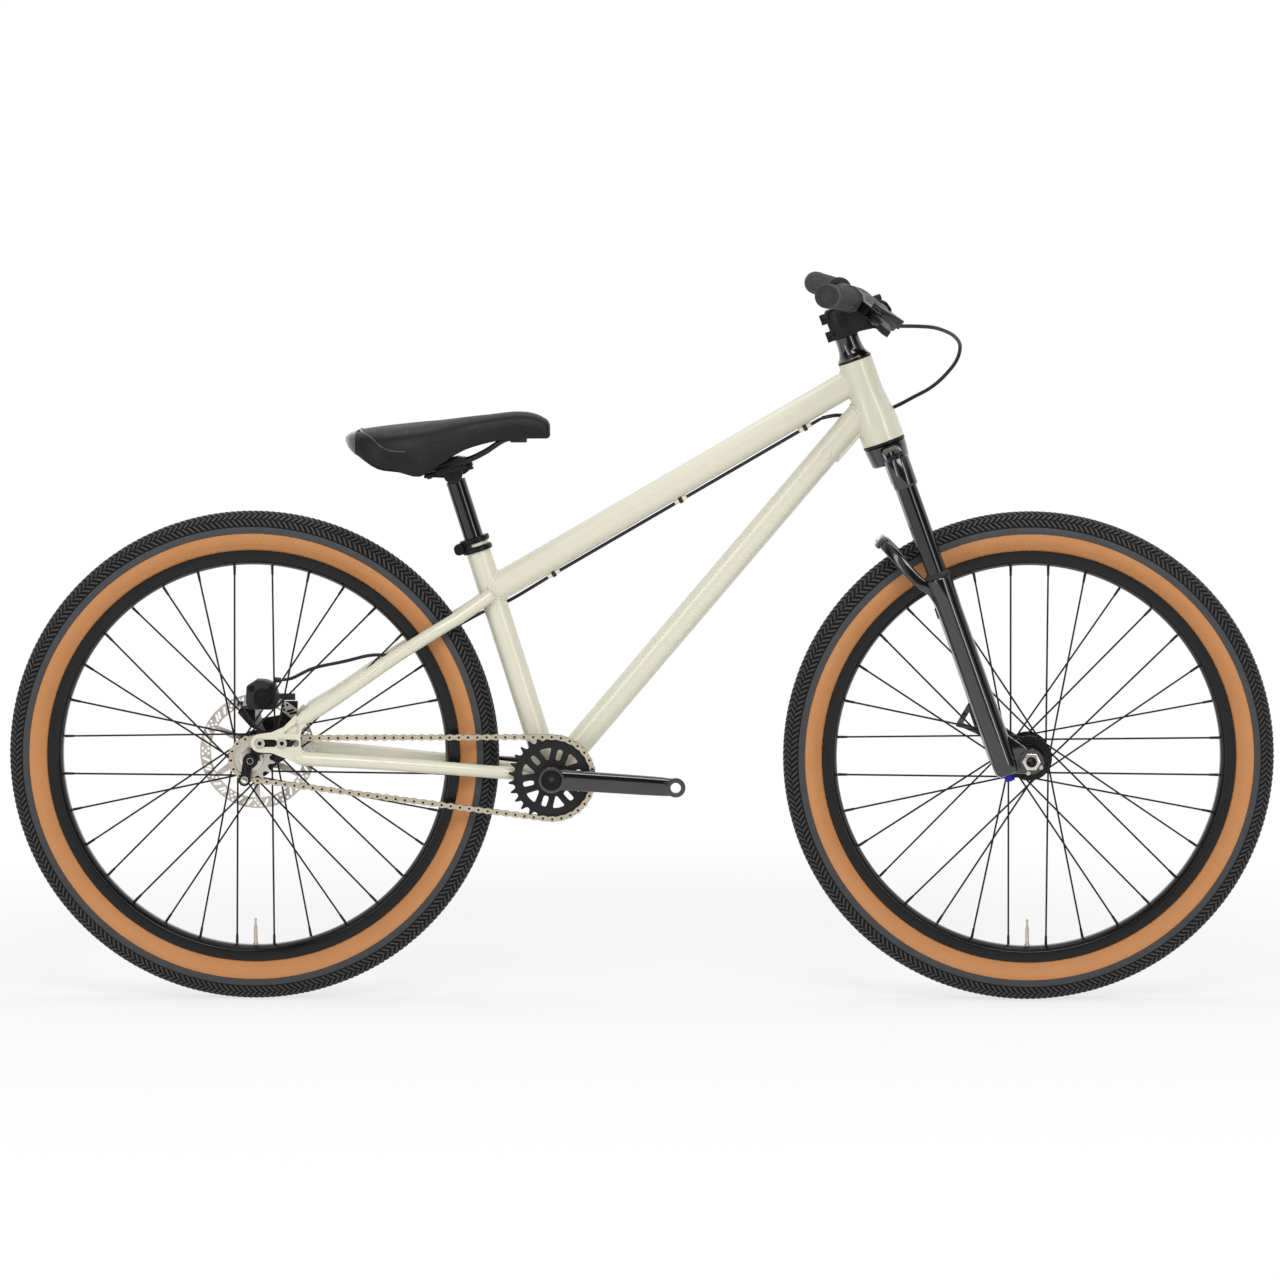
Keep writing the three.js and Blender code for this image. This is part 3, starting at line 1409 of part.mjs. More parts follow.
function forkLowers() {
  const solids = [];
  const holes = [];
  for (const side of [-1, 1]) {
    const y = side * stanchionSide;
    solids.push(turnedAlong(
      [[0, lowerLegFoot], [lowerLegRadius * 0.8, lowerLegFoot], [lowerLegRadius, lowerLegFoot + lowerLegRadius * 0.6],
        [lowerLegRadius, lowerLegTop], [0, lowerLegTop]],
      tubeSides, at(stanchionForward, y, 0), at(0, 0, 1)));
    // the lug ahead of the leg's foot holds the axle
    const inner = frontHubSpacing / 2;
    const lug = rod(
      at(forkOffset, side * inner, 0),
      at(forkOffset, side * (inner + lugWall), 0),
      lugRadius,
      lugRadius,
      roundSides,
    );
    const web = outline([[stanchionForward, lowerLegFoot + lowerLegRadius * 0.5], [forkOffset - lugRadius * 0.3, -lugRadius * 0.93],
      [forkOffset + lugRadius * 0.2, lugRadius * 0.95], [
        stanchionForward + lowerLegRadius * 0.9,
        lugRadius * 2.6,
      ],
      [stanchionForward, lugRadius * 2.6]]);
    const [low, high] = side < 0 ? [-inner - lugWall, -inner] : [inner, inner + lugWall];
    solids.push(lug, slab(web, low, high));
    holes.push(bore(
      at(forkOffset, side * inner, 0),
      at(forkOffset, side * (inner + lugWall), 0),
      frontAxleRadius + fitGap,
    ));
    const above = wiperRadius + fitGap;
    holes.push(rod(
      at(stanchionForward, y, lowerLegTop),
      at(stanchionForward, y, archTop),
      above,
      above,
      roundSides,
    ));
    holes.push(rod(
      at(stanchionForward, y, lowerBoreFoot),
      at(stanchionForward, y, lowerLegTop + overrun),
      stanchionRadius + fitGap,
      stanchionRadius + fitGap,
      roundSides,
    ));
  }
  solids.push(forkArch());
  const tab = outline([[0, discTabUp - discTabReach], [-lowerLegRadius - discTabReach * 0.35, discTabUp - discTabReach * 0.3],
    [-lowerLegRadius - discTabReach * 0.8, discTabUp], [
      -lowerLegRadius - discTabReach * 0.4,
      discTabUp + discTabReach * 0.35,
    ],
    [0, discTabUp + discTabReach]]);
  solids.push(slab(tab, stanchionSide - discTabWall / 2, stanchionSide + discTabWall / 2));
  return pieceFrom('fork_lowers', cutBy(joined(solids), holes), blackGloss);
}

// The brace behind the fork legs: shares of the arch's back reach, side and rise from the legs' tops.
const archShares = [[0, 1, -0.5], [0.4, 0.98, 0.06], [0.75, 0.8, 0.62], [0.97, 0.45, 0.95], [1, 0, 1]];
function forkArch() {
  const half = archShares.map(([back, side, rise]) =>
    at(stanchionForward - lowerLegRadius * 0.5 - archBack * back, side * stanchionSide, lowerLegTop + (archTop - lowerLegTop) * rise));
  const rings = [];
  const curve = new THREE.CatmullRomCurve3([
    ...half,
    ...half.slice(0, -1).reverse().map((p) => at(p.x, -p.y, p.z)),
  ]);
  const steps = 10;
  const fall = at(-archBack, 0, archTop - lowerLegTop).normalize();
  for (let n = 0; n <= steps; n += 1) {
    const spot = curve.getPointAt(n / steps);
    const ahead = curve.getTangentAt(n / steps);
    const thick = ahead.clone().cross(at(fall.z, 0, -fall.x)).normalize();
    const wide = thick.clone().cross(ahead).normalize();
    const cornerShares = [
      [0.5, 0.3],
      [0.3, 0.5],
      [-0.3, 0.5],
      [-0.5, 0.3],
      [-0.5, -0.3],
      [-0.3, -0.5],
      [0.3, -0.5],
      [0.5, -0.3],
    ];
    rings.push(cornerShares.map(([w, t]) => spot.clone().addScaledVector(wide, w * archWidth).addScaledVector(
      thick,
      t * archWall,
    )));
  }
  return lofted(rings);
}

function wiper(side) {
  const y = (side === 'right' ? -1 : 1) * stanchionSide;
  const low = lowerLegTop + fitGap;
  const inner = stanchionRadius + fitGap;
  const profile = closed([[inner, low], [wiperRadius, low], [wiperRadius, low + wiperHeight * 0.6],
    [wiperRadius - edgeBreak, low + wiperHeight], [inner, low + wiperHeight]]);
  return pieceFrom(
    `wiper_seal_${side}`,
    turnedAlong(profile, roundSides, at(stanchionForward, y, 0), at(0, 0, 1)),
    blackRubber,
  );
}

function frontAxlePiece() {
  const end = frontHubSpacing / 2 + lugWall + fitGap;
  const rightEnd = at(forkOffset, -end, 0);
  const leftEnd = at(forkOffset, end, 0);
  const shaft = rod(rightEnd, leftEnd, frontAxleRadius);
  const nut = rod(
    sideways(rightEnd, -frontAxleHeadWall),
    rightEnd,
    frontAxleHeadRadius,
    frontAxleHeadRadius,
    6,
  );
  const head = rod(
    leftEnd,
    sideways(leftEnd, frontAxleHeadWall),
    frontAxleHeadRadius,
    frontAxleHeadRadius,
    6,
  );
  const recess = bore(
    sideways(rightEnd, -frontAxleHeadWall),
    sideways(rightEnd, frontAxleHeadWall),
    frontAxleRadius * 0.6,
    6,
  );
  return pieceFrom('front_axle', joined([shaft, nut, head]).subtract(recess), silverSteel);
}

function reboundKnob() {
  const top = at(stanchionForward, -stanchionSide, lowerLegFoot - fitGap);
  const knob = rod(top.clone().sub(at(0, 0, knobHeight)), top, knobRadius * 0.85, knobRadius, smallSides);
  return pieceFrom('rebound_knob', knob, blueAnodised);
}

function headsetCone() {
  const foot = headTubeTop + fitGap * 2 + cupFlange;
  const inner = steererRadius + fitGap;
  const slim = coneTopRadius;
  const profile = closed([
    [inner, foot], [coneFootRadius, foot], [coneFootRadius, foot + cupFlange],
    [slim + (coneFootRadius - slim) * 0.45, foot + coneHeight * 0.22],
    [slim + (coneFootRadius - slim) * 0.1, foot + coneHeight * 0.5],
    [slim, stemFoot - fitGap], [inner, stemFoot - fitGap],
  ]);
  return pieceFrom('headset_cone', turnedAlong(profile, roundSides, at(0, 0, 0), at(0, 0, 1)), blackSatin);
}

const stemTop = stemFoot + stemHeight;
const barUp = stemFoot + stemHeight / 2 - stemBarDrop;
const barMiddle = at(stemReach, 0, barUp);
const barBore = bore(
  sideways(barMiddle, -stemBarWidth / 2),
  sideways(barMiddle, stemBarWidth / 2),
  barClampRadius + fitGap,
  roundSides,
);

function stem() {
  const clamp = rod(at(0, 0, stemFoot), at(0, 0, stemTop), stemClampRadius, stemClampRadius, roundSides);
  const outer = barClampRadius + stemBarWall;
  const holder = rod(
    sideways(barMiddle, -stemBarWidth / 2),
    sideways(barMiddle, stemBarWidth / 2),
    outer,
    outer,
    roundSides,
  );
  const front = box(
    at(stemReach, -stemBarWidth, barUp - outer * 2),
    at(stemReach + outer * 2, stemBarWidth, barUp + outer * 2),
  );
  const neckInset = stemBarWall * 0.4; // of the neck's upper and lower faces from the bar holder's
  const neckShape = outline([
    [0, stemFoot + edgeBreak],
    [stemClampRadius, stemFoot + edgeBreak],
    [stemReach, barUp - outer + neckInset],
    [stemReach, barUp + outer - neckInset],
    [0, stemTop - edgeBreak],
  ]);
  const neck = slab(neckShape, -stemNeckWidth / 2, stemNeckWidth / 2);
  const pinch = box(
    at(-pinchBack - pinchBoltRadius * 1.4, -pinchBlockWidth / 2, stemFoot),
    at(0, pinchBlockWidth / 2, stemTop),
  );
  const notch = box(at(-pinchBack * 2, -pinchBlockWidth, barUp + stemBarDrop - pinchBoltSpacing * 0.22),
    at(-pinchBack + pinchBoltRadius * 0.4, pinchBlockWidth, barUp + stemBarDrop + pinchBoltSpacing * 0.22));
  const bolts = [-1, 1].map((half) => {
    const spot = at(-pinchBack, 0, barUp + stemBarDrop + (half * pinchBoltSpacing) / 2);
    const reach = pinchBlockWidth / 2 + pinchBoltRadius * 0.6;
    return rod(sideways(spot, -reach), sideways(spot, reach), pinchBoltRadius, pinchBoltRadius, smallSides);
  });
  const slit = box(
    at(-pinchBack * 2, -slitWidth / 2, stemFoot - overrun),
    at(0, slitWidth / 2, stemTop + overrun),
  );
  const steererHole = bore(at(0, 0, stemFoot), at(0, 0, stemTop), steererRadius + fitGap, roundSides);
  const body = cutBy(joined([clamp, holder, neck, pinch]), [front, barBore, steererHole, slit, notch]);
  return pieceFrom('stem', joined([body, ...bolts]), blackSatin);
}

function stemFaceplate() {
  const outer = barClampRadius + stemBarWall;
  const holder = rod(
    sideways(barMiddle, -stemBarWidth / 2),
    sideways(barMiddle, stemBarWidth / 2),
    outer,
    outer,
    roundSides,
  );
  const behind = box(
    at(0, -stemBarWidth, barUp - outer * 2),
    at(stemReach + fitGap, stemBarWidth, barUp + outer * 2),
  );
  const window = box(
    at(stemReach, -stemBarWidth * 0.22, barUp - outer * 0.55),
    at(stemReach + outer * 2, stemBarWidth * 0.22, barUp + outer * 0.55),
  );
  const bosses = [];
  for (const side of [-1, 1]) {
    for (const half of [-1, 1]) {
      const spot = at(stemReach + fitGap, side * stemBarWidth * 0.34, barUp + half * outer * 0.98);
      bosses.push(rod(
        spot,
        spot.clone().add(at(outer * 0.62, 0, 0)),
        pinchBoltRadius,
        pinchBoltRadius,
        smallSides,
      ));
    }
  }
  return pieceFrom(
    'stem_faceplate',
    cutBy(joined([holder, ...bosses]), [behind, barBore, window]),
    blackSatin,
  );
}

function stemCap() {
  const low = stemTop + fitGap;
  const rim = stemClampRadius - edgeBreak;
  const profile = [
    [0, low],
    [rim, low],
    [rim, low + capHeight * 0.5],
    [rim - capHeight * 0.5, low + capHeight],
    [0, low + capHeight],
  ];
  return pieceFrom('stem_cap', turnedAlong(profile, roundSides, at(0, 0, 0), at(0, 0, 1)), blackSatin);
}

// The bar's middle line on the left half: straight, then a bend, then straight through the grip.
const gripHeading = at(-barBacksweepShare, 1, barUpsweepShare).normalize();
const bendEnd = at(stemReach - barBendBack, barBendEnd, barUp + barRise);
const alongGrip = (side) => bendEnd.clone().addScaledVector(gripHeading, (side - barBendEnd) / gripHeading.y);
const bendHandle = 48;
const barBend = new THREE.CubicBezierCurve3(
  at(stemReach, barStraightHalf, barUp),
  at(stemReach, barStraightHalf + bendHandle, barUp),
  bendEnd.clone().addScaledVector(gripHeading, -bendHandle),
  bendEnd,
);

// Places along the whole bar from right to left, each with its heading and radius.
function handlebar() {
  const half = [{ spot: at(stemReach, barStraightHalf, barUp), heading: at(0, 1, 0), radius: barClampRadius }];
  const bendSteps = 5;
  const taperEndShare = 0.6; // of the bend, where the bar has thinned to its grip size
  for (let n = 1; n <= bendSteps; n += 1) {
    const share = n / bendSteps;
    const thinned = Math.min(share / taperEndShare, 1);
    const radius = barClampRadius + (barGripRadius - barClampRadius) * thinned;
    half.push({ spot: barBend.getPoint(share), heading: barBend.getTangent(share), radius });
  }
  half.push({ spot: alongGrip(barHalfWidth), heading: gripHeading, radius: barGripRadius });
  const other = [...half].reverse().map(({ spot, heading, radius }) => ({
    spot: at(spot.x, -spot.y, spot.z),
    heading: at(-heading.x, heading.y, -heading.z),
    radius,
  }));
  const rings = [...other, ...half].map(({ spot, heading, radius }) => ringAround(
    spot,
    heading,
    radius,
    roundSides,
  ));
  return pieceFrom('handlebar', lofted(rings), blackSatin);
}

function grip(side) {
  const start = alongGrip(gripInnerEnd);
  const length = alongGrip(barHalfWidth).distanceTo(start);
  const inner = barGripRadius + fitGap;
  const end = length + fitGap + gripEndWall;
  const waist = gripRadius - edgeBreak;
  const profile = closed([
    [inner, 0],
    [gripFlangeRadius, 0],
    [gripFlangeRadius, gripFlangeWall],
    [waist, gripFlangeWall],
    [waist, length * 0.9],
    [gripRadius, length * 0.92],
    [gripRadius, end - edgeBreak],
    [waist, end],
    [0, end],
    [0, length + fitGap],
    [inner, length + fitGap],
  ]);
  const left = turnedAlong(profile, roundSides, start, gripHeading);
  const solid = side === 'left' ? left : mirroredSide(left);
  return pieceFrom(`grip_${side}`, solid, blackRubber);
}

// Brake lever, in a frame of its own: Y inward along the right grip, X square to it, ahead and down.
const rightHeading = at(gripHeading.x, -gripHeading.y, gripHeading.z);
const leverSpot = alongGrip(leverClampSide);
leverSpot.y = -leverSpot.y;
const leverInward = rightHeading.clone().negate();
const leverDip = radians(leverDipAngle) + lean;
const leverAhead = at(Math.cos(leverDip), 0, -Math.sin(leverDip));
leverAhead.addScaledVector(leverInward, -leverAhead.dot(leverInward)).normalize();
const leverAbove = leverAhead.clone().cross(leverInward);
const leverPivot = at(leverPivotAhead, -leverPivotOutward, 0);
const hoseExit = at(masterAhead + masterSplay, masterReach, 0);

// A flat outline in X and Y, given thickness along Z.
function sheet(shape, low, high, curveSteps = 4) {
  const geometry = new THREE.ExtrudeGeometry(
    shape,
    { depth: high - low, bevelEnabled: false, curveSegments: curveSteps },
  );
  geometry.translate(0, 0, low);
  return solidFrom(geometry);
}

const bladeShares = [[0, -0.12], [0.16, -0.3], [0.3, -0.62], [0.3, -0.9], [0.46, -1.06], [0.56, -1], [0.44, -0.84],
  [0.44, -0.55], [0.3, -0.14], [0.12, 0.06], [-0.06, 0.06]];
const bladePoint = ([ahead, along]) => [
  leverPivot.x + ahead * bladeLength,
  leverPivot.y + along * bladeLength,
];

function brakeLeverBody() {
  const half = leverClampWidth / 2;
  const ring = rod(
    at(0, -half, 0),
    at(0, half, 0),
    barGripRadius + fitGap + leverClampWall,
    barGripRadius + fitGap + leverClampWall,
    roundSides,
  );
  const housing = leverHousingHeight / 2;
  const arm = sheet(outline([[0, -half], [leverPivot.x, leverPivot.y - bladeWall], [leverPivot.x + bladeWall, leverPivot.y],
    [masterAhead + masterRadius, half * 2], [masterAhead, half * 3], [0, half]]), -housing, housing);
  const master = rod(
    at(masterAhead, -half, 0),
    hoseExit.clone().sub(at(0, hoseFittingLength, 0)),
    masterRadius,
    masterRadius * 0.8,
  );
  const tank = sheet(outline([[masterAhead - masterRadius, 0], [masterAhead + masterRadius, 0],
    [masterAhead + masterSplay + masterRadius * 0.9, masterReach * 0.86], [masterAhead + masterSplay - masterRadius * 0.9, masterReach * 0.86]]), 0, masterRadius * 1.35);
  const fitting = rod(
    hoseExit.clone().sub(at(0, hoseFittingLength + overrun, 0)),
    hoseExit,
    hoseFitting,
    hoseRadius + edgeBreak,
    smallSides,
  );
  const hole = bore(
    at(0, -half * 4, 0),
    at(0, half * 4, 0),
    turningFit(barGripRadius, roundSides),
    roundSides,
  );
  const slotHalf = bladeHeight / 2 + fitGap;
  const slot = sheet(outline([[leverPivot.x - bladeWall * 1.3, leverPivot.y + bladeWall * 1.2], [leverPivot.x + bladeWall * 2.5, leverPivot.y + bladeWall * 1.2],
    [leverPivot.x + bladeWall * 2.5, leverPivot.y - bladeWall * 3], [leverPivot.x - bladeWall * 1.3, leverPivot.y - bladeWall * 3]]), -slotHalf, slotHalf);
  const pin = rod(
    at(leverPivot.x, leverPivot.y, -housing + sinkIn),
    at(leverPivot.x, leverPivot.y, housing - sinkIn),
    pivotPinRadius,
    pivotPinRadius,
    smallSides,
  );
  const whole = joined([ring, arm, master, tank, fitting]).subtract(slot).add(pin).subtract(hole);
  return pieceFrom('brake_lever_body', whole, blackSatin);
}

function brakeLeverBlade() {
  const half = bladeHeight / 2;
  const eye = rod(
    at(leverPivot.x, leverPivot.y, -half),
    at(leverPivot.x, leverPivot.y, half),
    bladeWall * 0.75,
    bladeWall * 0.75,
    tubeSides,
  );
  const blade = sheet(outline(bladeShares.map(bladePoint)), -half, half);
  const hole = bore(
    at(leverPivot.x, leverPivot.y, -half),
    at(leverPivot.x, leverPivot.y, half),
    pivotPinRadius + fitGap,
    tubeSides,
  );
  return pieceFrom('brake_lever_blade', eye.add(blade).subtract(hole), blackSatin);
}

const leverGroup = new THREE.Group();
leverGroup.matrixAutoUpdate = false;
leverGroup.matrix.makeBasis(leverAhead, leverInward, leverAbove).setPosition(leverSpot);
leverGroup.matrix.decompose(leverGroup.position, leverGroup.quaternion, leverGroup.scale);
leverGroup.matrixAutoUpdate = true;
leverGroup.add(brakeLeverBody(), brakeLeverBlade());

// Brake hose: the front part swings with the bar and the rear part is clipped along the frame.
const steeringPlace = new THREE.Matrix4().makeRotationY(-lean).setPosition(steerFoot);
const leverPlace = steeringPlace.clone().multiply(leverGroup.matrix.clone());
const hoseStart = hoseExit.clone().add(at(0, fitGap, 0)).applyMatrix4(leverPlace);
const hoseLeaves = at(0, 1, 0).transformDirection(leverPlace);
const hoseJoint = guideSpots[2].clone().addScaledVector(topTubeAhead, guideLength);
// the loop ahead of the head tube and back past its left side, from the head tube's top
const frontLoop = [
  [110, -120, 47],
  [141, -62, 22],
  [121, -22, -21],
  [83, 18, -50],
  [51, 35, -67],
  [13, 38, -77],
  [-27, 24, -86],
];

function frontHose() {
  const points = [
    hoseStart,
    hoseStart.clone().addScaledVector(hoseLeaves, hoseRadius * 5),
    ...frontLoop.map(([x, y, z]) => headHigh.clone().add(at(x, y, z))),
    hoseJoint.clone().addScaledVector(topTubeAhead, hoseRadius * 5),
    hoseJoint.clone().addScaledVector(topTubeAhead, fitGap),
  ];
  return pieceFrom(
    'brake_hose_front',
    swept(new THREE.CatmullRomCurve3(points), hoseRadius, hoseSides, 34),
    blackRubber,
  );
}

// From the top tube past the seat tube's left side, along the left seat stay from its underside round to its inner
// side, and over to the caliper.
// places from the top tube's rear end
const pastSeatTube = [[43.4, 14, -2.9], [19.4, 22.5, -16.9], [-0.6, 26.5, -24.9]];
// shares of the stay's length, and turns about the stay from below it toward the wheel in degrees
const roundSeatstayShares = [[0.84, 0], [0.74, 5], [0.66, 20], [0.59, 50], [0.52, 80], [0.45, 95]];
const towardCaliper = [[161.5, 46, 135], [120.5, 49, 125], [75.5, 51, 115]]; // from the rear axle

function besideSeatstay([share, turn]) {
  const spot = seatstayCurve.getPointAt(share);
  const ahead = seatstayCurve.getTangentAt(share);
  const below = at(ahead.z, 0, -ahead.x).normalize();
  const inward = ahead.clone().cross(below);
  spot.addScaledVector(below, hoseBelowStay * Math.cos(radians(turn)));
  spot.addScaledVector(inward, hoseBelowStay * Math.sin(radians(turn)));
  return at(spot.x, -spot.y, spot.z);
}

function rearHose() {
  const points = [
    hoseJoint,
    ...[2, 1, 0].flatMap((n) => [1, -1].map((end) => guideSpots[n].clone().addScaledVector(
      topTubeAhead,
      end * guideLength * 0.7,
    ))),
    ...pastSeatTube.map(([x, y, z]) => topTubeRear.clone().add(at(x, y, z))),
    ...roundSeatstayShares.map(besideSeatstay),
    ...towardCaliper.map(([x, y, z]) => rearAxle.clone().add(at(x, y, z))),
    hoseInlet.clone().add(at(hoseRadius * 4, 0, 0)),
    hoseInlet.clone().add(at(fitGap, 0, 0)),
  ];
  return pieceFrom(
    'brake_hose_rear',
    swept(new THREE.CatmullRomCurve3(points), hoseRadius, hoseSides, 60),
    blackRubber,
  );
}

// Seatpost and saddle

const barrelHeight = seatTubeLength + seatpostShow;
const barrel = alongSeat(barrelHeight);

function seatpost() {
  const foot = alongSeat(seatTubeLength - seatpostInsertion);
  const shaft = rod(foot, barrel, seatpostRadius, seatpostRadius, roundSides);
  const hollow = rod(
    alongSeat(seatTubeLength - seatpostInsertion - overrun),
    alongSeat(barrelHeight - headBarrelRadius * 2),
    seatpostRadius - seatpostWall,
  );
  const head = rod(
    sideways(barrel, -headBarrelHalf),
    sideways(barrel, headBarrelHalf),
    headBarrelRadius,
    headBarrelRadius,
    roundSides,
  );
  return pieceFrom('seatpost', joined([shaft, head]).subtract(hollow), blackGloss);
}

// The saddle's clamp and rails, in a frame at the barrel whose X runs along the rails.
const saddlePlace = new THREE.Matrix4().makeRotationY(-radians(railAngle)).setPosition(barrel);
const railLevel = headBarrelRadius + railAboveBarrel;
const railGrooves = () => [-1, 1].map((side) => bore(
  at(-cradleLength, side * railSide, railLevel), at(cradleLength, side * railSide, railLevel), railRadius + fitGap * 2, tubeSides));

function saddleCradle() {
  const half = cradleLength / 2;
  const seatHalf = headBarrelHalf + fitGap;
  const seatRadius = turningFit(headBarrelRadius, roundSides);
  const block = box(
    at(-half, -cradleHalfWidth, headBarrelRadius * 0.3),
    at(half, cradleHalfWidth, railLevel - fitGap / 2),
  );
  const seat = rod(at(0, -seatHalf, 0), at(0, seatHalf, 0), seatRadius, seatRadius, roundSides);
  const window = box(at(-seatRadius * 0.6, -seatHalf, 0), at(seatRadius * 0.6, seatHalf, railLevel * 2));
  return pieceFrom('saddle_cradle', cutBy(block, [seat, window, ...railGrooves()]), blackSatin);
}

function saddleClamp() {
  const half = cradleLength / 2;
  const plate = slab(outline([[-half, railLevel + fitGap / 2], [half, railLevel + fitGap / 2], [half, railLevel + cradleWall * 0.8],
    [half * 0.5, railLevel + cradleWall * 1.6], [-half * 0.5, railLevel + cradleWall * 1.6], [-half, railLevel + cradleWall * 0.8]]), -cradleHalfWidth, cradleHalfWidth);
  return pieceFrom('saddle_clamp', cutBy(plate, railGrooves()), blackSatin);
}

// Rail places from the rear plug to the nose: shares of the saddle's length ahead of the clamp and up from the rails.
const railPlaceShares = [[-0.3, 0.93, 1.5], [-0.2, 0.39, 1.25], [-0.14, 0.08, 1.06], [-0.09, 0, 1], [-0.04, 0, 1], [0.04, 0, 1],
  [0.1, 0, 1], [0.18, 0.1, 0.98], [0.292, 0.32, 0.72], [0.356, 0.26, 0.4]];

const railPoints = railPlaceShares.map(([ahead, up, side]) => at(
  ahead * saddleLength,
  side * railSide,
  railLevel + up * railRise,
));

// The two rails are one rod that turns back on itself at the nose.
function railRod(radius) {
  const points = [...railPoints, ...[...railPoints].reverse().map((p) => at(p.x, -p.y, p.z))];
  return swept(new THREE.CatmullRomCurve3(points), radius, hoseSides, railSteps);
}

const saddleRails = () => pieceFrom('saddle_rails', railRod(railRadius), blackSatin);

// Cross-sections of the saddle from its tail to its nose: shares of its length, of its half width, and of its height
// for the top's middle and for the lower edge of its sides.
const saddleSectionShares = [
  [0, 0.2, 0.6, 0.53], [0.025, 0.5, 0.66, 0.42], [0.075, 0.78, 0.71, 0.3], [0.165, 0.97, 0.755, 0.12],
  [0.27, 1, 0.795, 0.07], [0.37, 0.92, 0.83, 0], [0.475, 0.7, 0.86, 0.2], [0.585, 0.5, 0.905, 0.4],
  [0.7, 0.4, 0.945, 0.51], [0.825, 0.345, 0.99, 0.58], [0.925, 0.3, 0.985, 0.575], [0.975, 0.24, 0.91, 0.58],
  [1, 0.12, 0.73, 0.66],
];
// Corners of one half of a section over its top: shares of the half width and of the height above the lower edge.
const saddleTopShares = [[0.42, 0.97], [0.8, 0.86], [0.98, 0.55], [1, 0.1], [0.94, 0]];

// How far below the top's middle the underside lies: full in the saddle's middle and thin at both ends.
const paddingAt = (top, edge) => Math.min(saddlePadding, (top - edge) * 0.7);

const saddlePoint = (along, side, up) =>
  barrel.clone().add(at(along * saddleLength - saddleTailBack, side, up * saddleHeight - saddleFootDrop));

function saddleCover() {
  const rings = saddleSectionShares.map(([along, wide, topShare, edgeShare]) => {
    const half = (saddleWidth / 2) * wide;
    const top = topShare * saddleHeight;
    const edge = edgeShare * saddleHeight;
    const ceiling = top - paddingAt(top, edge);
    const side = saddleTopShares.map(([out, up]) => [half * out, edge + (top - edge) * up]);
    side.push([half * 0.86, edge], [half * 0.74, ceiling]);
    const other = [...side].reverse().map(([y, z]) => [-y, z]);
    return [[0, top], ...side, ...other].map(([y, z]) => saddlePoint(along, y, z / saddleHeight));
  });
  return pieceFrom('saddle_cover', lofted(rings), blackVinyl);
}

// Height of the base plate's upper face above the lowest point of the saddle's sides.
const baseTop = (topShare, edgeShare) =>
  topShare * saddleHeight - paddingAt(topShare * saddleHeight, edgeShare * saddleHeight) - fitGap;

// The level of the middle of the base plate at a place along the bike.
function baseLevelAt(x) {
  const tops = saddleSectionShares.map(([along, , topShare, edgeShare]) => saddlePoint(
    along,
    0,
    baseTop(topShare, edgeShare) / saddleHeight,
  ));
  const ahead = tops.findIndex((spot) => spot.x > x);
  const [from, to] = [tops[ahead - 1], tops[ahead]];
  return from.z + ((to.z - from.z) * (x - from.x)) / (to.x - from.x) - saddleBaseWall / 2;
}

// A block moulded under the plate, round the rod where the rails meet the saddle.
function railSocket(place, back, front, halfWidth) {
  const middle = place.clone().applyMatrix4(saddlePlace);
  return box(
    at(middle.x - back, middle.y - halfWidth, middle.z - socketDepth),
    at(middle.x + front, middle.y + halfWidth, baseLevelAt(middle.x + (front - back) / 2)));
}

// A moulded plate under the cover's ceiling, with sockets for the rails at its nose and on each side of its tail.
function saddleBase() {
  const rings = saddleSectionShares.slice(1, -1).map(([along, wide, topShare, edgeShare]) => {
    const half = (saddleWidth / 2) * wide * saddleBaseShare;
    const high = baseTop(topShare, edgeShare);
    const low = high - saddleBaseWall;
    return [[half, high], [half, low], [-half, low], [-half, high]].map(([y, z]) => saddlePoint(
      along,
      y,
      z / saddleHeight,
    ));
  });
  const [tail, nose] = [railPoints[0], railPoints[railPoints.length - 1]];
  const noseSocket = railSocket(
    at(nose.x, 0, nose.z),
    noseSocketLength / 2,
    noseSocketLength / 2,
    noseSocketHalf,
  );
  const tailSockets = [1, -1].map((side) => railSocket(
    at(tail.x, side * tail.y, tail.z), -fitGap * 3, tailSocketLength, tailSocketHalf));
  const rails = railRod(railRadius + fitGap).transform(saddlePlace.elements);
  return pieceFrom(
    'saddle_base',
    joined([lofted(rings), noseSocket, ...tailSockets]).subtract(rails),
    blackPlastic,
  );
}

const saddleGroup = new THREE.Group();
saddleGroup.position.copy(barrel);
saddleGroup.rotation.y = -radians(railAngle);
saddleGroup.add(saddleCradle(), saddleClamp(), saddleRails());

// Rear brake, left of the wheel, measured from the rear axle

const caliperMiddle = at(caliperForward, rotorSide, caliperUp);
const hoseInlet = fromRear(caliperForward + caliperLength * 0.55, rotorSide, caliperUp + caliperHeight * 0.5);

